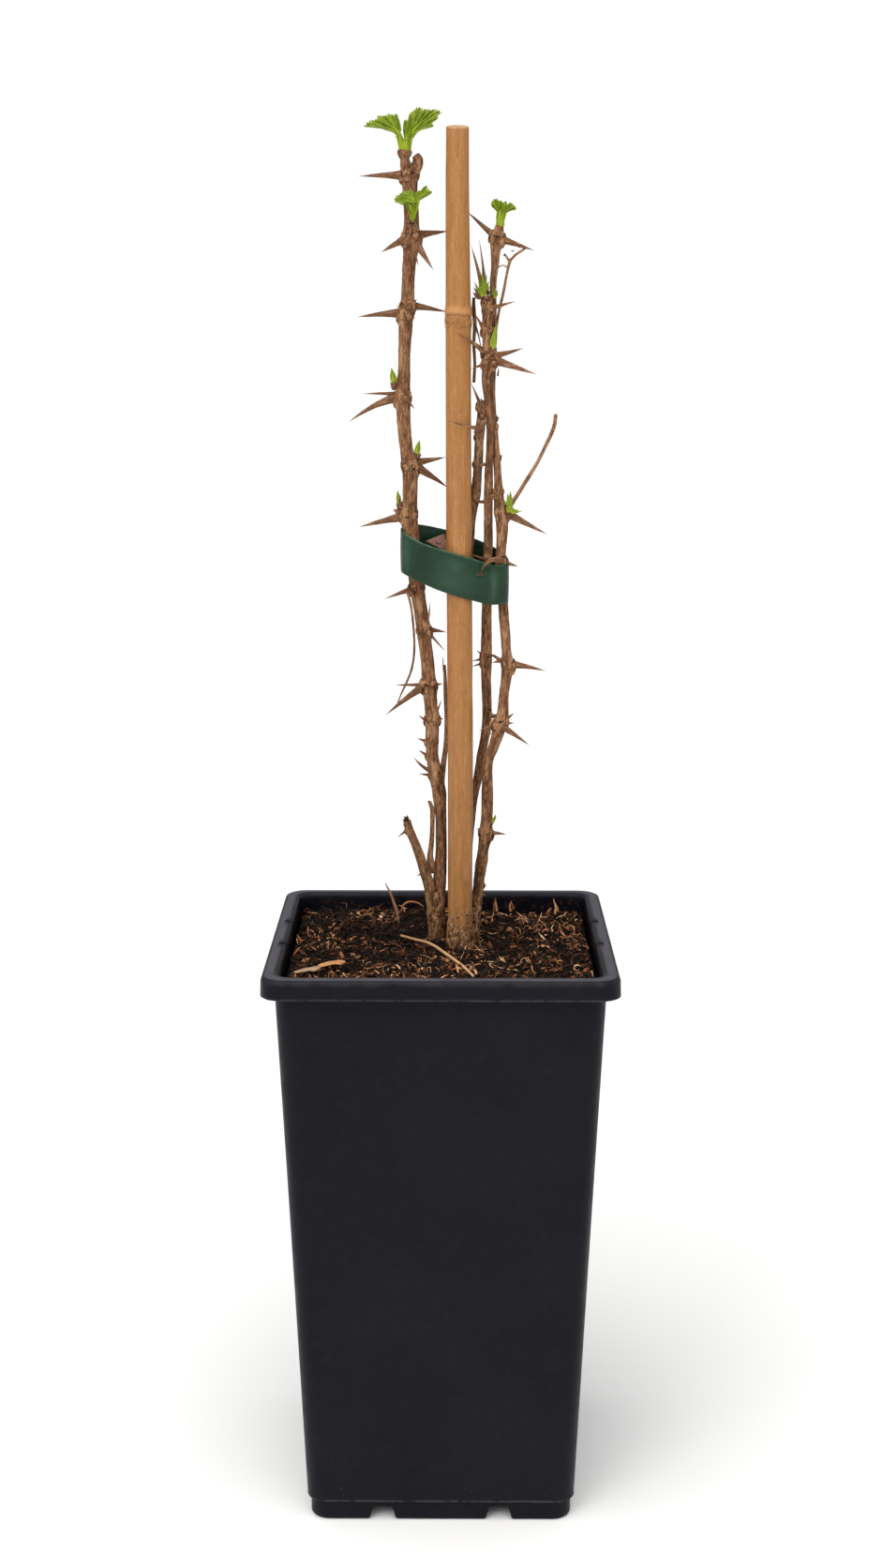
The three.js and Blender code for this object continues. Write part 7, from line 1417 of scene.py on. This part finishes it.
def build_compost():
    n = 144
    u = np.linspace(-1, 1, n)
    X, Y = np.meshgrid(u * 57.75, u * 57.75, indexing="ij")
    # pull the square's corners in to the pot's rounded ones
    H, Rc = 57.75, 5.6
    ax, ay = np.abs(X), np.abs(Y)
    ex, ey = ax - (H - Rc), ay - (H - Rc)
    over = (ex > 0) & (ey > 0)
    m_ = np.maximum(ex, ey)
    l_ = np.hypot(ex, ey) + 1e-9
    k = np.where(over, m_ / l_, 1)
    X = np.where(over, np.sign(X) * (H - Rc + ex * k), X)
    Y = np.where(over, np.sign(Y) * (H - Rc + ey * k), Y)
    p = np.stack([X, Y, 0 * X], -1)
    Z = ground(X, Y) - 0.9 + (0.5 - np.abs(vnoise(p * 0.55, 110))) * 1.7 + fbm(p * 1.1, 3, 111) * 1.1
    soup = Soup()
    top = np.stack([X, Y, Z], -1).reshape(-1, 3)
    # skirt down the wall to a plain underside, seen only through the drain holes
    idx = np.arange(n * n).reshape(n, n)
    rim = np.concatenate([idx[:, 0], idx[-1, 1:], idx[-2::-1, -1], idx[0, -2:0:-1]])
    V = [top]
    F = [np.stack([idx[:-1, :-1], idx[1:, :-1], idx[1:, 1:], idx[:-1, 1:]], -1).reshape(-1, 4)]
    loop = rim
    count = len(top)
    for z in (205, 150, 90, 40, 12, 8.1):
        t = (z - 8.3) / (213.6 - 8.3)
        half = 51.7 + (60.5 - 51.7) * max(t, 0) - 1.2 - 0.6
        if z < 10:
            half = 46.5
        sc = half / 57.75
        pts = top[rim] * [sc, sc, 0] + [0, 0, z]
        V.append(pts)
        new = np.arange(len(rim)) + count
        F.append(np.stack([loop, new, np.roll(new, -1), np.roll(loop, -1)], -1))
        loop = new
        count += len(rim)
    V.append(np.array([[0, 0, 8.1]]))
    F.append(np.stack([loop, np.full(len(rim), count), np.roll(loop, -1)], -1))
    soup.add(np.concatenate(V), F)
    soup.build("compost_bed", SOIL, ("compost",))


build_compost()


def clear_of_plants(x, y, extra=0.0):
    ok = np.ones(len(x), bool)
    for cx, cy, r in ((7.3, 4, 5.7), (-1.2, 11, 3.0), (12.4, 12.8, 2.4), (9.2, 14, 2.0)):
        ok &= (x - cx) ** 2 + (y - cy) ** 2 > (r + extra) ** 2
    return ok


def build_fibres(name, count, len_rng, rad_rng, seed, lift, curl, segs=5, tint=(0.0, 1.0), power=1.0, flat=0.75):
    r_ = np.random.default_rng(seed)
    x = r_.uniform(-57, 57, count * 2)
    y = r_.uniform(-57, 57, count * 2)
    ok = clear_of_plants(x, y, 0.4)
    x, y = x[ok][:count], y[ok][:count]
    count = len(x)
    L = r_.uniform(*len_rng, count) * (0.6 + 0.8 * r_.random(count) ** 2)
    rad = r_.uniform(*rad_rng, count)
    head = r_.uniform(0, 2 * np.pi, count)
    pitch = r_.normal(0, lift, count)
    bend = r_.normal(0, curl, count)
    vb = r_.normal(0, curl * 0.7, count)
    k = segs + 1
    P = np.zeros((count, k, 3))
    pos = np.stack([x, y, ground(x, y) + r_.uniform(-0.55, 0.85, count)], -1)
    for j in range(k):
        P[:, j] = pos
        h = head + bend * j / segs
        e = pitch + vb * (j / segs - 0.5)
        stepv = np.stack([np.cos(h) * np.cos(e), np.sin(h) * np.cos(e), np.sin(e)], -1)
        pos = pos + stepv * (L / segs)[:, None]
        bend = bend + r_.normal(0, 0.25, count)
    P = P - (P.mean(1, keepdims=True) - P[:, :1]) * [1, 1, 0.6]
    lim = 57.2
    P[..., :2] = np.clip(P[..., :2], -lim, lim)
    g = ground(P[..., 0], P[..., 1])
    P[..., 2] = np.clip(P[..., 2], g - 1.2, g + 3.2)
    T = unit(np.gradient(P, axis=1))
    up = np.array([0, 0, 1.0]) + r_.normal(0, 0.4, (count, 1, 3))
    N = unit(np.cross(T, up))
    B = np.cross(N, T)
    prof = np.array([0.55, 0.95, 1.0, 0.9, 0.75, 0.3, 0.1])[:k] if k <= 7 else np.ones(k)
    prof = np.interp(np.linspace(0, 1, k), [0, 0.15, 0.5, 0.8, 1], [0.45, 1, 1, 0.75, 0.2])
    w = rad[:, None] * prof[None] * (1 + 0.25 * r_.normal(0, 1, (count, k)).clip(-1.5, 1.5))
    sides = 4
    ang = np.arange(sides) * 2 * np.pi / sides + np.pi / 4
    ring = (P[:, :, None] + N[:, :, None] * (np.cos(ang)[None, None, :, None] * w[:, :, None, None])
            + B[:, :, None] * (np.sin(ang)[None, None, :, None] * w[:, :, None, None] * flat))
    V = ring.reshape(-1, 3)
    a = np.arange(segs)[:, None] * sides + np.arange(sides)[None]
    b = np.arange(segs)[:, None] * sides + (np.arange(sides)[None] + 1) % sides
    quad = np.stack([a, b, b + sides, a + sides], -1).reshape(-1, 4)
    caps = np.array([[3, 2, 1, 0], [segs * sides, segs * sides + 1, segs * sides + 2, segs * sides + 3]])
    face = np.concatenate([quad, caps])
    F = (face[None] + (np.arange(count) * k * sides)[:, None, None]).reshape(-1, 4)
    rnd = np.clip(tint[0] + (tint[1] - tint[0]) * r_.random(count) ** power, 0, 1)
    # painted shade: fibres lying lower in the compost are darker
    high = np.clip((P[:, :, 2].mean(1) - ground(P[:, 0, 0], P[:, 0, 1]) + 0.8) / 1.6, 0.15, 1)
    g0 = P[:, 0] * [0.085, 0.085, 0]
    rnd = rnd * high * (0.58 + 0.60 * smooth(fbm(g0, 3, 130), -0.30, 0.32))
    co3 = np.stack([np.tile(np.cos(ang), k * count), np.tile(np.sin(ang), k * count), np.repeat((np.arange(count)[:, None] * 9.7 + np.linspace(0, 1, k)[None] * L[:, None]).ravel(), sides)], -1)
    soup = Soup()
    soup.add(V, [F], rnd=np.repeat(rnd, k * sides), co3=co3)
    soup.build(name, FIBRE, flat=False)


build_fibres("compost_fibres", 2600, (2.0, 5.6), (0.16, 0.40), 301, 0.45, 2.0, segs=4, power=0.95)
build_fibres("compost_threads", 1350, (3.5, 9.0), (0.10, 0.22), 302, 0.40, 3.0, segs=5, power=0.8, flat=1.0)
build_fibres("compost_bits", 5400, (0.7, 2.2), (0.22, 0.55), 303, 0.6, 0.5, segs=1, power=1.15, flat=0.6)
build_fibres("compost_chips", 850, (2.6, 7.0), (0.5, 1.2), 304, 0.45, 1.1, segs=4, power=1.2, flat=0.26)

# ------------------------------------------------------------------ band
def build_band():
    plan = np.array(BAND_PLAN, float)
    P = np.concatenate([plan, plan[:3]])
    P0 = np.concatenate([plan[-1:], plan, plan[:2]])
    pts = []
    n = len(plan)
    for i in range(n):
        p0, p1, p2, p3 = plan[i - 1], plan[i], plan[(i + 1) % n], plan[(i + 2) % n]
        for t in np.linspace(0, 1, 14, endpoint=False):
            pts.append(0.5 * ((2 * p1) + (-p0 + p2) * t + (2 * p0 - 5 * p1 + 4 * p2 - p3) * t * t + (-p0 + 3 * p1 - 3 * p2 + p3) * t ** 3))
    C = np.array(pts)
    n = len(C)
    tan = unit(np.roll(C, -1, 0) - np.roll(C, 1, 0))
    out = np.stack([tan[:, 1], -tan[:, 0]], -1)
    z0 = 361.6 - 0.30 * C[:, 0] + 0.42 * C[:, 1]
    # the front run eases level towards both ends
    front = smooth(-C[:, 1], -6, 1)
    topf = np.interp(C[:, 0], [p[0] for p in BAND_TOP], [p[1] for p in BAND_TOP])
    botf = np.interp(C[:, 0], [p[0] for p in BAND_LOW], [p[1] for p in BAND_LOW])
    hi = (z0 + 7.6) * (1 - front) + (topf + (C[:, 1] + 2) * 0.09) * front
    lo = (z0 - 7.6) * (1 - front) + (botf + (C[:, 1] + 2) * 0.09) * front
    kern = np.exp(-0.5 * (np.arange(-24, 25) / 7.0) ** 2)
    kern = kern / kern.sum()
    soften = lambda q: np.convolve(np.concatenate([q[-24:], q, q[:24]]), kern, mode="valid")
    hi, lo = soften(hi), soften(lo)
    # painted sheen: two narrow streaks at the bends and a broad soft patch in the middle of the front face
    gloss = (np.exp(-((C[:, 0] + 13.4) / 1.3) ** 2) * 0.8 + np.exp(-((C[:, 0] - 19.6) / 1.4) ** 2) + 0.35 * np.exp(-((C[:, 0] - 4.0) / 6.0) ** 2)) * smooth(-C[:, 1], -4, 2)
    arc_s = np.cumsum(np.linalg.norm(C - np.roll(C, 1, 0), axis=1))
    w = 22
    v = np.linspace(0, 1, w)
    thick = 0.3
    rows = []
    edge = []
    # outer face going up, rounded top edge, inner face going down, rounded low edge
    prof = [(thick, t) for t in v] + [(thick * 0.6, 1.012), (0.0, 1.018), (-thick * 0.6, 1.012)] + [(-thick, t) for t in v[::-1]] + [(-thick * 0.6, -0.012), (0.0, -0.018), (thick * 0.6, -0.012)]
    pr = np.array(prof)
    m = len(pr)
    s3 = np.stack([arc_s * 0.12, np.zeros(n), np.zeros(n)], -1)
    wav = vnoise(s3, 41) * 0.10
    vv = np.clip(pr[:, 1], 0, 1)
    bulge = (np.sin(np.pi * vv)[None] * 0.12 + (vnoise(np.stack([np.broadcast_to(arc_s[:, None] * 0.16, (n, m)), np.broadcast_to(vv[None] * 1.5, (n, m)), np.zeros((n, m))], -1), 43) * 0.14))
    off = pr[None, :, 0] + wav[:, None] + bulge
    edge_w = (vnoise(np.stack([arc_s * 0.35, 0 * arc_s, 0 * arc_s], -1), 45) * 0.06 + vnoise(np.stack([arc_s * 1.9, 0 * arc_s, 0 * arc_s], -1), 46) * 0.03)
    X = C[:, None, 0] + out[:, None, 0] * off
    Y = C[:, None, 1] + out[:, None, 1] * off
    Z = lo[:, None] + (hi - lo)[:, None] * pr[None, :, 1] + edge_w[:, None] * np.where((pr[:, 1] > 0.9) | (pr[:, 1] < 0.1), 1, 0)[None]
    V = np.stack([X, Y, Z], -1).reshape(-1, 3)
    i = np.arange(n)[:, None]
    k = np.arange(m)[None]
    a = i * m + k
    b = ((i + 1) % n) * m + k
    F = np.stack([a, b, ((i + 1) % n) * m + (k + 1) % m, i * m + (k + 1) % m], -1).reshape(-1, 4)
    # edge value for the painted highlight: full on the rounded top edge, weaker on the low edge
    e = np.clip(1 - np.abs(pr[:, 1] - 1.012) / 0.022, 0, 1) + 0.35 * np.clip(1 - np.abs(pr[:, 1] + 0.012) / 0.02, 0, 1)
    soup = Soup()
    soup.add(V, [F], edge=np.tile(e, n), gloss=(gloss[:, None] * np.clip(np.sin(np.pi * np.clip(pr[:, 1], 0, 1)) * 1.6, 0, 1)[None] * (pr[:, 0] > 0)[None]).ravel())
    # torn lip where a spine has pierced the band
    t = np.linspace(0, 2 * np.pi, 28, endpoint=False)
    rr = 0.28
    q = np.linspace(0, 2 * np.pi, 8, endpoint=False)
    cx, cy, cz = PIERCE
    ring = np.stack([cx + (1.15 + rr * np.cos(q)[None]) * np.cos(t)[:, None], np.broadcast_to(cy - 0.12 + 0.22 * np.sin(q)[None], (28, 8)),
                     cz + (0.38 + rr * 0.7 * np.cos(q)[None]) * np.sin(t)[:, None] + 0.12 * np.cos(t)[:, None]], -1)
    i = np.arange(28)[:, None]
    k = np.arange(8)[None]
    F2 = np.stack([i * 8 + k, i * 8 + (k + 1) % 8, ((i + 1) % 28) * 8 + (k + 1) % 8, ((i + 1) % 28) * 8 + k], -1).reshape(-1, 4)
    soup.add(ring.reshape(-1, 3), [F2], edge=0.0, torn=1.0)
    # a near-black disc inside it: painted shade for the dark slit
    disc = np.concatenate([ring.mean(1) * 0 + np.stack([cx + 1.0 * np.cos(t), np.full(28, cy - 0.06), cz + 0.30 * np.sin(t)], -1), [[cx, cy - 0.08, cz]], np.stack([cx + 1.0 * np.cos(t), np.full(28, cy + 0.2), cz + 0.30 * np.sin(t)], -1)])
    kk = np.arange(28)
    soup.add(disc, [np.stack([kk, np.roll(kk, -1), np.full(28, 28)], -1), np.stack([np.roll(kk, -1), kk, kk + 29, np.roll(kk, -1) + 29], -1)], edge=0.0, torn=0.0, hole=1.0)
    soup.build("band_plastic", TIE, ("tie_band",), smooth_angle=50)


build_band()

# ------------------------------------------------------------------ leaves
def catmull(P, per, closed=False):
    P = np.asarray(P, float)
    n = len(P)
    out = []
    for i in range(n if closed else n - 1):
        if closed:
            p0, p1, p2, p3 = P[i - 1], P[i], P[(i + 1) % n], P[(i + 2) % n]
        else:
            p0, p1, p2, p3 = P[max(i - 1, 0)], P[i], P[i + 1], P[min(i + 2, n - 1)]
        t = np.linspace(0, 1, per, endpoint=False)[:, None]
        out.append(0.5 * (2 * p1 + (p2 - p0) * t + (2 * p0 - 5 * p1 + 4 * p2 - p3) * t * t + (3 * p1 - p0 - 3 * p2 + p3) * t ** 3))
    if not closed:
        out.append(P[-1:])
    return np.concatenate(out)


def blade(soup, base, outline, lobes, face, pleat=0.10, tooth=0.055, period=1.15, cup=0.0, quilt=0.016, seed=0, thick=0.10, ctrl=None, bend=0.8):
    """A lobed blade fanned from its base to an outline; lobes are the outline points that a main vein reaches."""
    base = np.asarray(base, float)
    O = np.asarray(outline, float)
    per = 11
    C = catmull(O, per)
    n = len(C)
    arc = np.r_[0, np.cumsum(np.linalg.norm(np.diff(C, axis=0), axis=1))]
    tips = np.array([arc[min(int(i) * per, n - 1)] for i in lobes])
    size = np.linalg.norm(C - base, axis=1)
    L = size.max()
    # crenate teeth: round
    ph = arc / period
    tri = np.abs(np.sin(np.pi * ph)) ** 0.75
    ends = smooth(arc, 0, 1.2) * smooth(arc[-1] - arc, 0, 1.2)
    C = C + (C - base) / size[:, None] * ((tri - 0.6) * tooth * L * ends)[:, None]
    near = np.min(np.abs(arc[:, None] - tips[None]), axis=1)
    gap = max(np.diff(np.sort(tips)).mean() * 0.5 if len(tips) > 1 else L * 0.4, 0.6)
    dv = np.clip(near / gap, 0, 1)
    ridge = np.sin(dv * np.pi / 2) ** 1.3
    nr = 19
    rho = np.linspace(0.0, 1, nr) ** 0.9
    face = unit(face)
    mid_c = (base + C) / 2
    if ctrl is not None:
        mid_c = mid_c * (1 - bend) + np.asarray(ctrl, float) * bend
    r_3 = rho[None, :, None]
    P = base * (1 - r_3) ** 2 + 2 * r_3 * (1 - r_3) * mid_c[:, None] + C[:, None] * r_3 ** 2
    # rays sag or rise between base and edge
    h = pleat * L * (ridge[:, None] - 0.4) * rho[None] ** 1.1
    h = h + cup * L * np.sin(np.pi * rho * 0.5)[None] * (1 - rho[None] * 0.2)
    herr = (rho[None] * (L / 1.05) - dv[:, None] * 0.55) % 1.0
    tooth_v = 1 - np.abs(herr - 0.5) * 2
    h = h + quilt * L * (tooth_v - 0.5) * dv[:, None] * smooth(rho, 0.12, 0.4)[None]
    h = h + 0.02 * L * vnoise(np.stack([P[..., 0], P[..., 2], P[..., 1] * 0], -1) * 0.55 + seed, 210)
    # the outermost edge turns over a little
    h = h - 0.03 * L * smooth(rho, 0.85, 1.0)[None] * (0.5 + vnoise(np.stack([arc * 0.5, 0 * arc, 0 * arc], -1) + seed, 211))[:, None]
    P = P + face * h[..., None]
    du, dr = np.gradient(P, axis=0), np.gradient(P, axis=1)
    nrm = unit(np.cross(du, dr) + face * 1e-6)
    sgn = 1.0 if (nrm @ face).mean() > 0 else -1.0
    nrm = nrm * sgn
    top, low = P + nrm * thick * 0.5, P - nrm * thick * 0.5
    g = grid_faces(n, nr, closed=False)
    if sgn < 0:
        g = g[:, ::-1]
    k = n * nr
    i = np.arange(n - 1)
    o = i * nr + nr - 1
    q1 = np.stack([o + k, o + nr + k, o + nr, o], -1)
    e0 = np.arange(nr - 1)
    q2 = np.stack([e0, e0 + 1, e0 + 1 + k, e0 + k], -1)
    e1 = e0 + (n - 1) * nr
    q3 = np.stack([e1 + k, e1 + 1 + k, e1 + 1, e1], -1)
    d_mm = near[:, None] * rho[None]
    vein = np.exp(-(d_mm / 0.16) ** 2) * (1 - 0.3 * rho[None])
    vein = np.maximum(vein, 0.55 * smooth(np.abs(herr - 0.5), 0.36, 0.5) * smooth(rho, 0.15, 0.35)[None] * np.clip(dv * 1.5, 0, 1)[:, None])
    rim = smooth(rho, 0.90, 1.0)[None] * np.ones_like(h)
    basef = smooth(rho, 0.45, 0.0)[None] * np.ones_like(h)
    side = unit(np.cross(face, [0, 0, 1.0]))
    up = np.cross(side, face)
    co = np.stack([(P - base) @ side, (P - base) @ up, 0 * h], -1).reshape(-1, 3) + seed * 13.0
    two = lambda x: np.concatenate([x.ravel()] * 2)
    # the fold value marks the sunken folds along the main veins, for painted shade
    soup.add(np.concatenate([top.reshape(-1, 3), low.reshape(-1, 3)]), [g, g[:, ::-1] + k, q1 if sgn > 0 else q1[:, ::-1], q2, q3], co3=np.concatenate([co, co]),
             vein=two(vein), rim=two(rim), base=two(basef), fold=two(np.broadcast_to((1 - ridge)[:, None] * rho[None], h.shape)), under=np.concatenate([np.zeros(k), np.ones(k)]))


def stalk(soup, rows, squash=0.7, ribs=5, seed=0, tip_base=0.35):
    """A fleshy ribbed leaf stalk."""
    def disp(co3, P, s, th, R):
        return 0.10 * R * np.cos(th * ribs) + vnoise(co3 * [1.2, 1.2, 0.3] + seed, 3) * 0.06
    sub = Soup()
    C, R, T, N, B, s = tube(sub, rows, 0.25, 26, disp, seed=seed, offset=seed, squash=squash)
    V = np.concatenate(sub.v)
    co3 = np.concatenate([v for _, v in sub.a["co3"]])
    ang = np.arctan2(co3[:, 1] - seed * 1.7, co3[:, 0] - seed * 3.1)
    along = (co3[:, 2] - seed * 11.0) / max(s[-1], 1e-6)
    soup.add(V, [f for f in sub.f], co3=co3, vein=0.6 * np.clip(np.cos(ang * ribs), 0, 1) ** 2, rim=0.0, base=np.clip(1.0 - along * (1 - tip_base), 0, 1), fold=0.0, under=0.0)


for _name, _node, _stalks, _blades in LEAVES:
    _soup = Soup()
    for _i, (_rows, _sq) in enumerate(_stalks):
        stalk(_soup, _rows, squash=_sq, seed=_i + len(_name))
    for _i, _b in enumerate(_blades):
        blade(_soup, seed=_i * 3 + sum(map(ord, _name)) % 17, **_b)
    _soup.build(_name, LEAF, (_node,), smooth_angle=60)

# ------------------------------------------------------------------ buds
for _node, _scales in BUD_SCALES:
    _soup = Soup()
    for _i, (_base, _tip, _w, _face, _brown, _curl) in enumerate(_scales):
        _base, _tip = np.array(_base, float), np.array(_tip, float)
        _d = _tip - _base
        scale_leaf(_soup, _base, _d, np.array(_face, float), float(np.linalg.norm(_d)), _w, curl=_curl, thick=0.20, n=16, m=10, brown=_brown)
    _soup.build("scales_" + _node, BUD, (_node,))

# ------------------------------------------------------------------ loose bits
def rod(name, rows, mat, node, sides=18, step=0.4, tones=(0, 0), seed=0, squash=1.0, cut1=True):
    soup = Soup()
    Q, s = spline(rows, step)
    def disp(co3, P, s_, th, R):
        return fbm(co3 * [0.9, 0.9, 0.12], 3, seed) * 0.22 * R + vnoise(co3 * [1.6, 1.6, 0.5], seed + 3) * 0.05
    tube(soup, rows, step, sides, disp, cut0=True, cut1=cut1, seed=seed, offset=seed, squash=squash)
    ob = None
    V = np.concatenate(soup.v)
    a = np.array(rows)
    t = ((V - a[0, :3]) @ (a[-1, :3] - a[0, :3])) / ((a[-1, :3] - a[0, :3]) @ (a[-1, :3] - a[0, :3]))
    soup.a["tone"] = [(0, tones[0] + (tones[1] - tones[0]) * np.clip(t, 0, 1))]
    return soup.build(name, mat, (node,))


_soup = Soup()
for _i, _r in enumerate(UPRIGHTS):
    tube(_soup, _r, 0.3, 12, lambda co3, P, s, th, R: fbm(co3 * [1.2, 1.2, 0.4], 2, 7) * 0.3 * R, cut1=True, seed=_i, offset=_i, squash=0.6, rnd=0.62 + 0.3 * ((_i * 37) % 10) / 10)
_soup.build("compost_upright_bits", FIBRE)

rod("stick_wood", [[-17.2, 35.3, 212.6, 0.52], [-17.9, 37.1, 216.8, 0.58], [-18.7, 38.4, 219.6, 0.60], [-19.7, 39.8, 222.4, 0.50], [-21.3, 41.5, 226.0, 0.42], [-23.2, 43.0, 229.4, 0.20]], STICK_MAT, "stick_upright", seed=31, tones=(0, 0.35), squash=0.6)
rod("straw_stalk", STRAW, STRAW_MAT, "straw", seed=33, tones=(0.0, 0.9))


def curl_chip(name, mat, node, centre, heading, L, W, curl, thick, seed, tone=0.3, tilt=0.0, arch=0.1):
    """A curled flake of bark: a bent plate with ragged ends."""
    soup = Soup()
    n, m = 40, 26
    u = np.linspace(-0.5, 0.5, n)
    v = np.linspace(-1, 1, m)
    rag = vnoise(np.stack([v * 3.1, 0 * v, 0 * v], -1), seed) * 0.09 + vnoise(np.stack([v * 9, 0 * v, 0 * v], -1), seed + 1) * 0.05
    U = u[:, None] * L * (1 + rag[None] * np.sign(u)[:, None] * (np.abs(u)[:, None] > 0.3))
    ang = v[None] * curl * (1 + 0.25 * vnoise(np.stack([u * 4, 0 * u, 0 * u], -1), seed + 2)[:, None])
    wid = W * (1 - 0.5 * (np.abs(u) * 2) ** 3)[:, None]
    r = wid / (2 * max(curl, 0.2))
    Y = r * np.sin(ang)
    Zz = r * (np.cos(ang) - math.cos(curl)) + arch * L * (0.25 - u[:, None] ** 2)
    wood = fbm(np.stack([U * 0.25, Y * 1.6, 0 * Y], -1), 4, seed + 5) * 0.35
    out = np.stack([U, Y, Zz + wood], -1)
    inn = out - np.stack([0 * U, np.sin(ang) * thick, np.cos(ang) * thick], -1)
    ch, sh = math.cos(heading), math.sin(heading)
    ct, st = math.cos(tilt), math.sin(tilt)
    def place(p):
        x, y, z = p[..., 0], p[..., 1], p[..., 2]
        x, z = x * ct - z * st, x * st + z * ct
        return np.stack([centre[0] + x * ch - y * sh, centre[1] + x * sh + y * ch, centre[2] + z], -1)
    A, B = place(out).reshape(-1, 3), place(inn).reshape(-1, 3)
    g = grid_faces(n, m, closed=False)
    k = n * m
    e = []
    i = np.arange(n - 1)
    e.append(np.stack([i * m, (i + 1) * m, (i + 1) * m + k, i * m + k], -1))
    o = i * m + m - 1
    e.append(np.stack([o + m, o, o + k, o + m + k], -1))
    j = np.arange(m - 1)
    e.append(np.stack([j + 1, j, j + k, j + 1 + k], -1))
    o = (n - 1) * m + j
    e.append(np.stack([o, o + 1, o + 1 + k, o + k], -1))
    co = np.stack([out[..., 1], out[..., 2], out[..., 0]], -1).reshape(-1, 3) + seed
    soup.add(np.concatenate([A, B]), [g, g[:, ::-1] + k] + e, co3=np.concatenate([co, co + 3]), tone=np.concatenate([np.full(k, tone), np.full(k, 0.0)]))
    return soup.build(name, mat, (node,))


curl_chip("bark_curl", CHIP_MAT, "bark_chip", (-41.2, -26.4, 215.6), 0.42, 10.6, 4.6, 1.15, 0.5, 41, tone=0.55, tilt=0.06, arch=0.06)
curl_chip("wood_flake", WOOD_MAT, "wood_chip", (-50.2, -33.6, 215.7), 0.36, 9.6, 4.4, 0.5, 0.7, 47, tone=0.35, tilt=0.10, arch=0.03)


def build_scrap():
    """A dry three-cornered leaf scrap, held inside the band."""
    soup = Soup()
    A, B, C = np.array(SCRAP[0]), np.array(SCRAP[1]), np.array(SCRAP[2])
    n = 26
    pts, idx = [], {}
    for i in range(n + 1):
        for j in range(n + 1 - i):
            a, b = i / n, j / n
            p = A * (1 - a - b) + B * a + C * b
            lift = 0.9 * math.sin(math.pi * a) * (1 - b) + 0.5 * math.sin(math.pi * b * 1.3)
            w = float(vnoise(np.array([[a * 5, b * 5, 0.3]]), 90)[0]) * 0.35
            p = p + np.array([0, -1, 0.15]) * (lift * 0.8 + w)
            idx[(i, j)] = len(pts)
            pts.append(p)
    tri = []
    for i in range(n):
        for j in range(n - i):
            tri.append([idx[(i, j)], idx[(i + 1, j)], idx[(i, j + 1)]])
            if j < n - i - 1:
                tri.append([idx[(i + 1, j)], idx[(i + 1, j + 1)], idx[(i, j + 1)]])
    tri = np.array(tri)
    P = np.array(pts)
    k = len(P)
    back = P + np.array([0, 0.22, 0])
    border = [idx[(i, 0)] for i in range(n + 1)] + [idx[(n - j, j)] for j in range(1, n + 1)] + [idx[(0, n - j)] for j in range(1, n)]
    b = np.array(border)
    quad = np.stack([b, np.roll(b, -1), np.roll(b, -1) + k, b + k], -1)
    soup.add(np.concatenate([P, back]), [tri, tri[:, ::-1] + k, quad[:, ::-1]], co3=np.concatenate([P, back]), tone=0.15)
    soup.build("scrap_leaf", DRYLEAF_MAT, ("dry_leaf_scrap",))


build_scrap()

# ------------------------------------------------------------------ floor and light
def stage():
    me = bpy.data.meshes.new("floor")
    s = 60.0
    me.from_pydata([(-s, -s, 0), (s, -s, 0), (s, s, 0), (-s, s, 0)], [], [(0, 1, 2, 3)])
    ob = bpy.data.objects.new("floor", me)
    ob.location.z = -0.0004
    bpy.context.scene.collection.objects.link(ob)
    M = Mat("floor")
    n = M.noise(M.obj(), 3.0, 2, 0.5)
    M.set(color=M.ramp(n, [(0.3, (0.93, 0.93, 0.93)), (0.7, (0.96, 0.96, 0.96))]), rough=0.95, spec=0.05)
    me.materials.append(M.m)


stage()
world = bpy.data.worlds.new("studio")
bpy.context.scene.world = world
world.use_nodes = True
wn = world.node_tree
bg = wn.nodes["Background"]
bg.inputs["Color"].default_value = (1, 1, 1, 1)
# the backdrop stays white to the eye while it lights the plant more softly
lp = wn.nodes.new("ShaderNodeLightPath")
mr = wn.nodes.new("ShaderNodeMapRange")
mr.inputs["To Min"].default_value = 0.42
mr.inputs["To Max"].default_value = 1.02
wn.links.new(lp.outputs["Is Camera Ray"], mr.inputs["Value"])
wn.links.new(mr.outputs[0], bg.inputs["Strength"])


def area(name, loc, target, size, energy, color=(1, 1, 1)):
    d = bpy.data.lights.new(name, "AREA")
    d.shape = "RECTANGLE"
    d.size, d.size_y = size
    d.energy = energy
    d.color = color
    o = bpy.data.objects.new(name, d)
    o.location = loc
    o.rotation_euler = (Vector(target) - Vector(loc)).to_track_quat("-Z", "Y").to_euler()
    bpy.context.scene.collection.objects.link(o)


# a broad overhead bank, level over the whole floor
sun = bpy.data.lights.new("bank", "SUN")
sun.energy = 2.6
sun.angle = math.radians(70)
sun.color = (1.0, 0.99, 0.975)
so = bpy.data.objects.new("bank", sun)
so.rotation_euler = Vector((0.10, 0.46, -1.0)).to_track_quat("-Z", "Y").to_euler()
bpy.context.scene.collection.objects.link(so)
area("key", (-0.55, -0.95, 0.95), (0, 0, 0.36), (0.5, 0.5), 3.0, (1.0, 0.985, 0.96))

view = bpy.context.scene.view_settings
view.view_transform = "Standard"
view.look = "None"
view.exposure = 0.0
view.gamma = 1.0
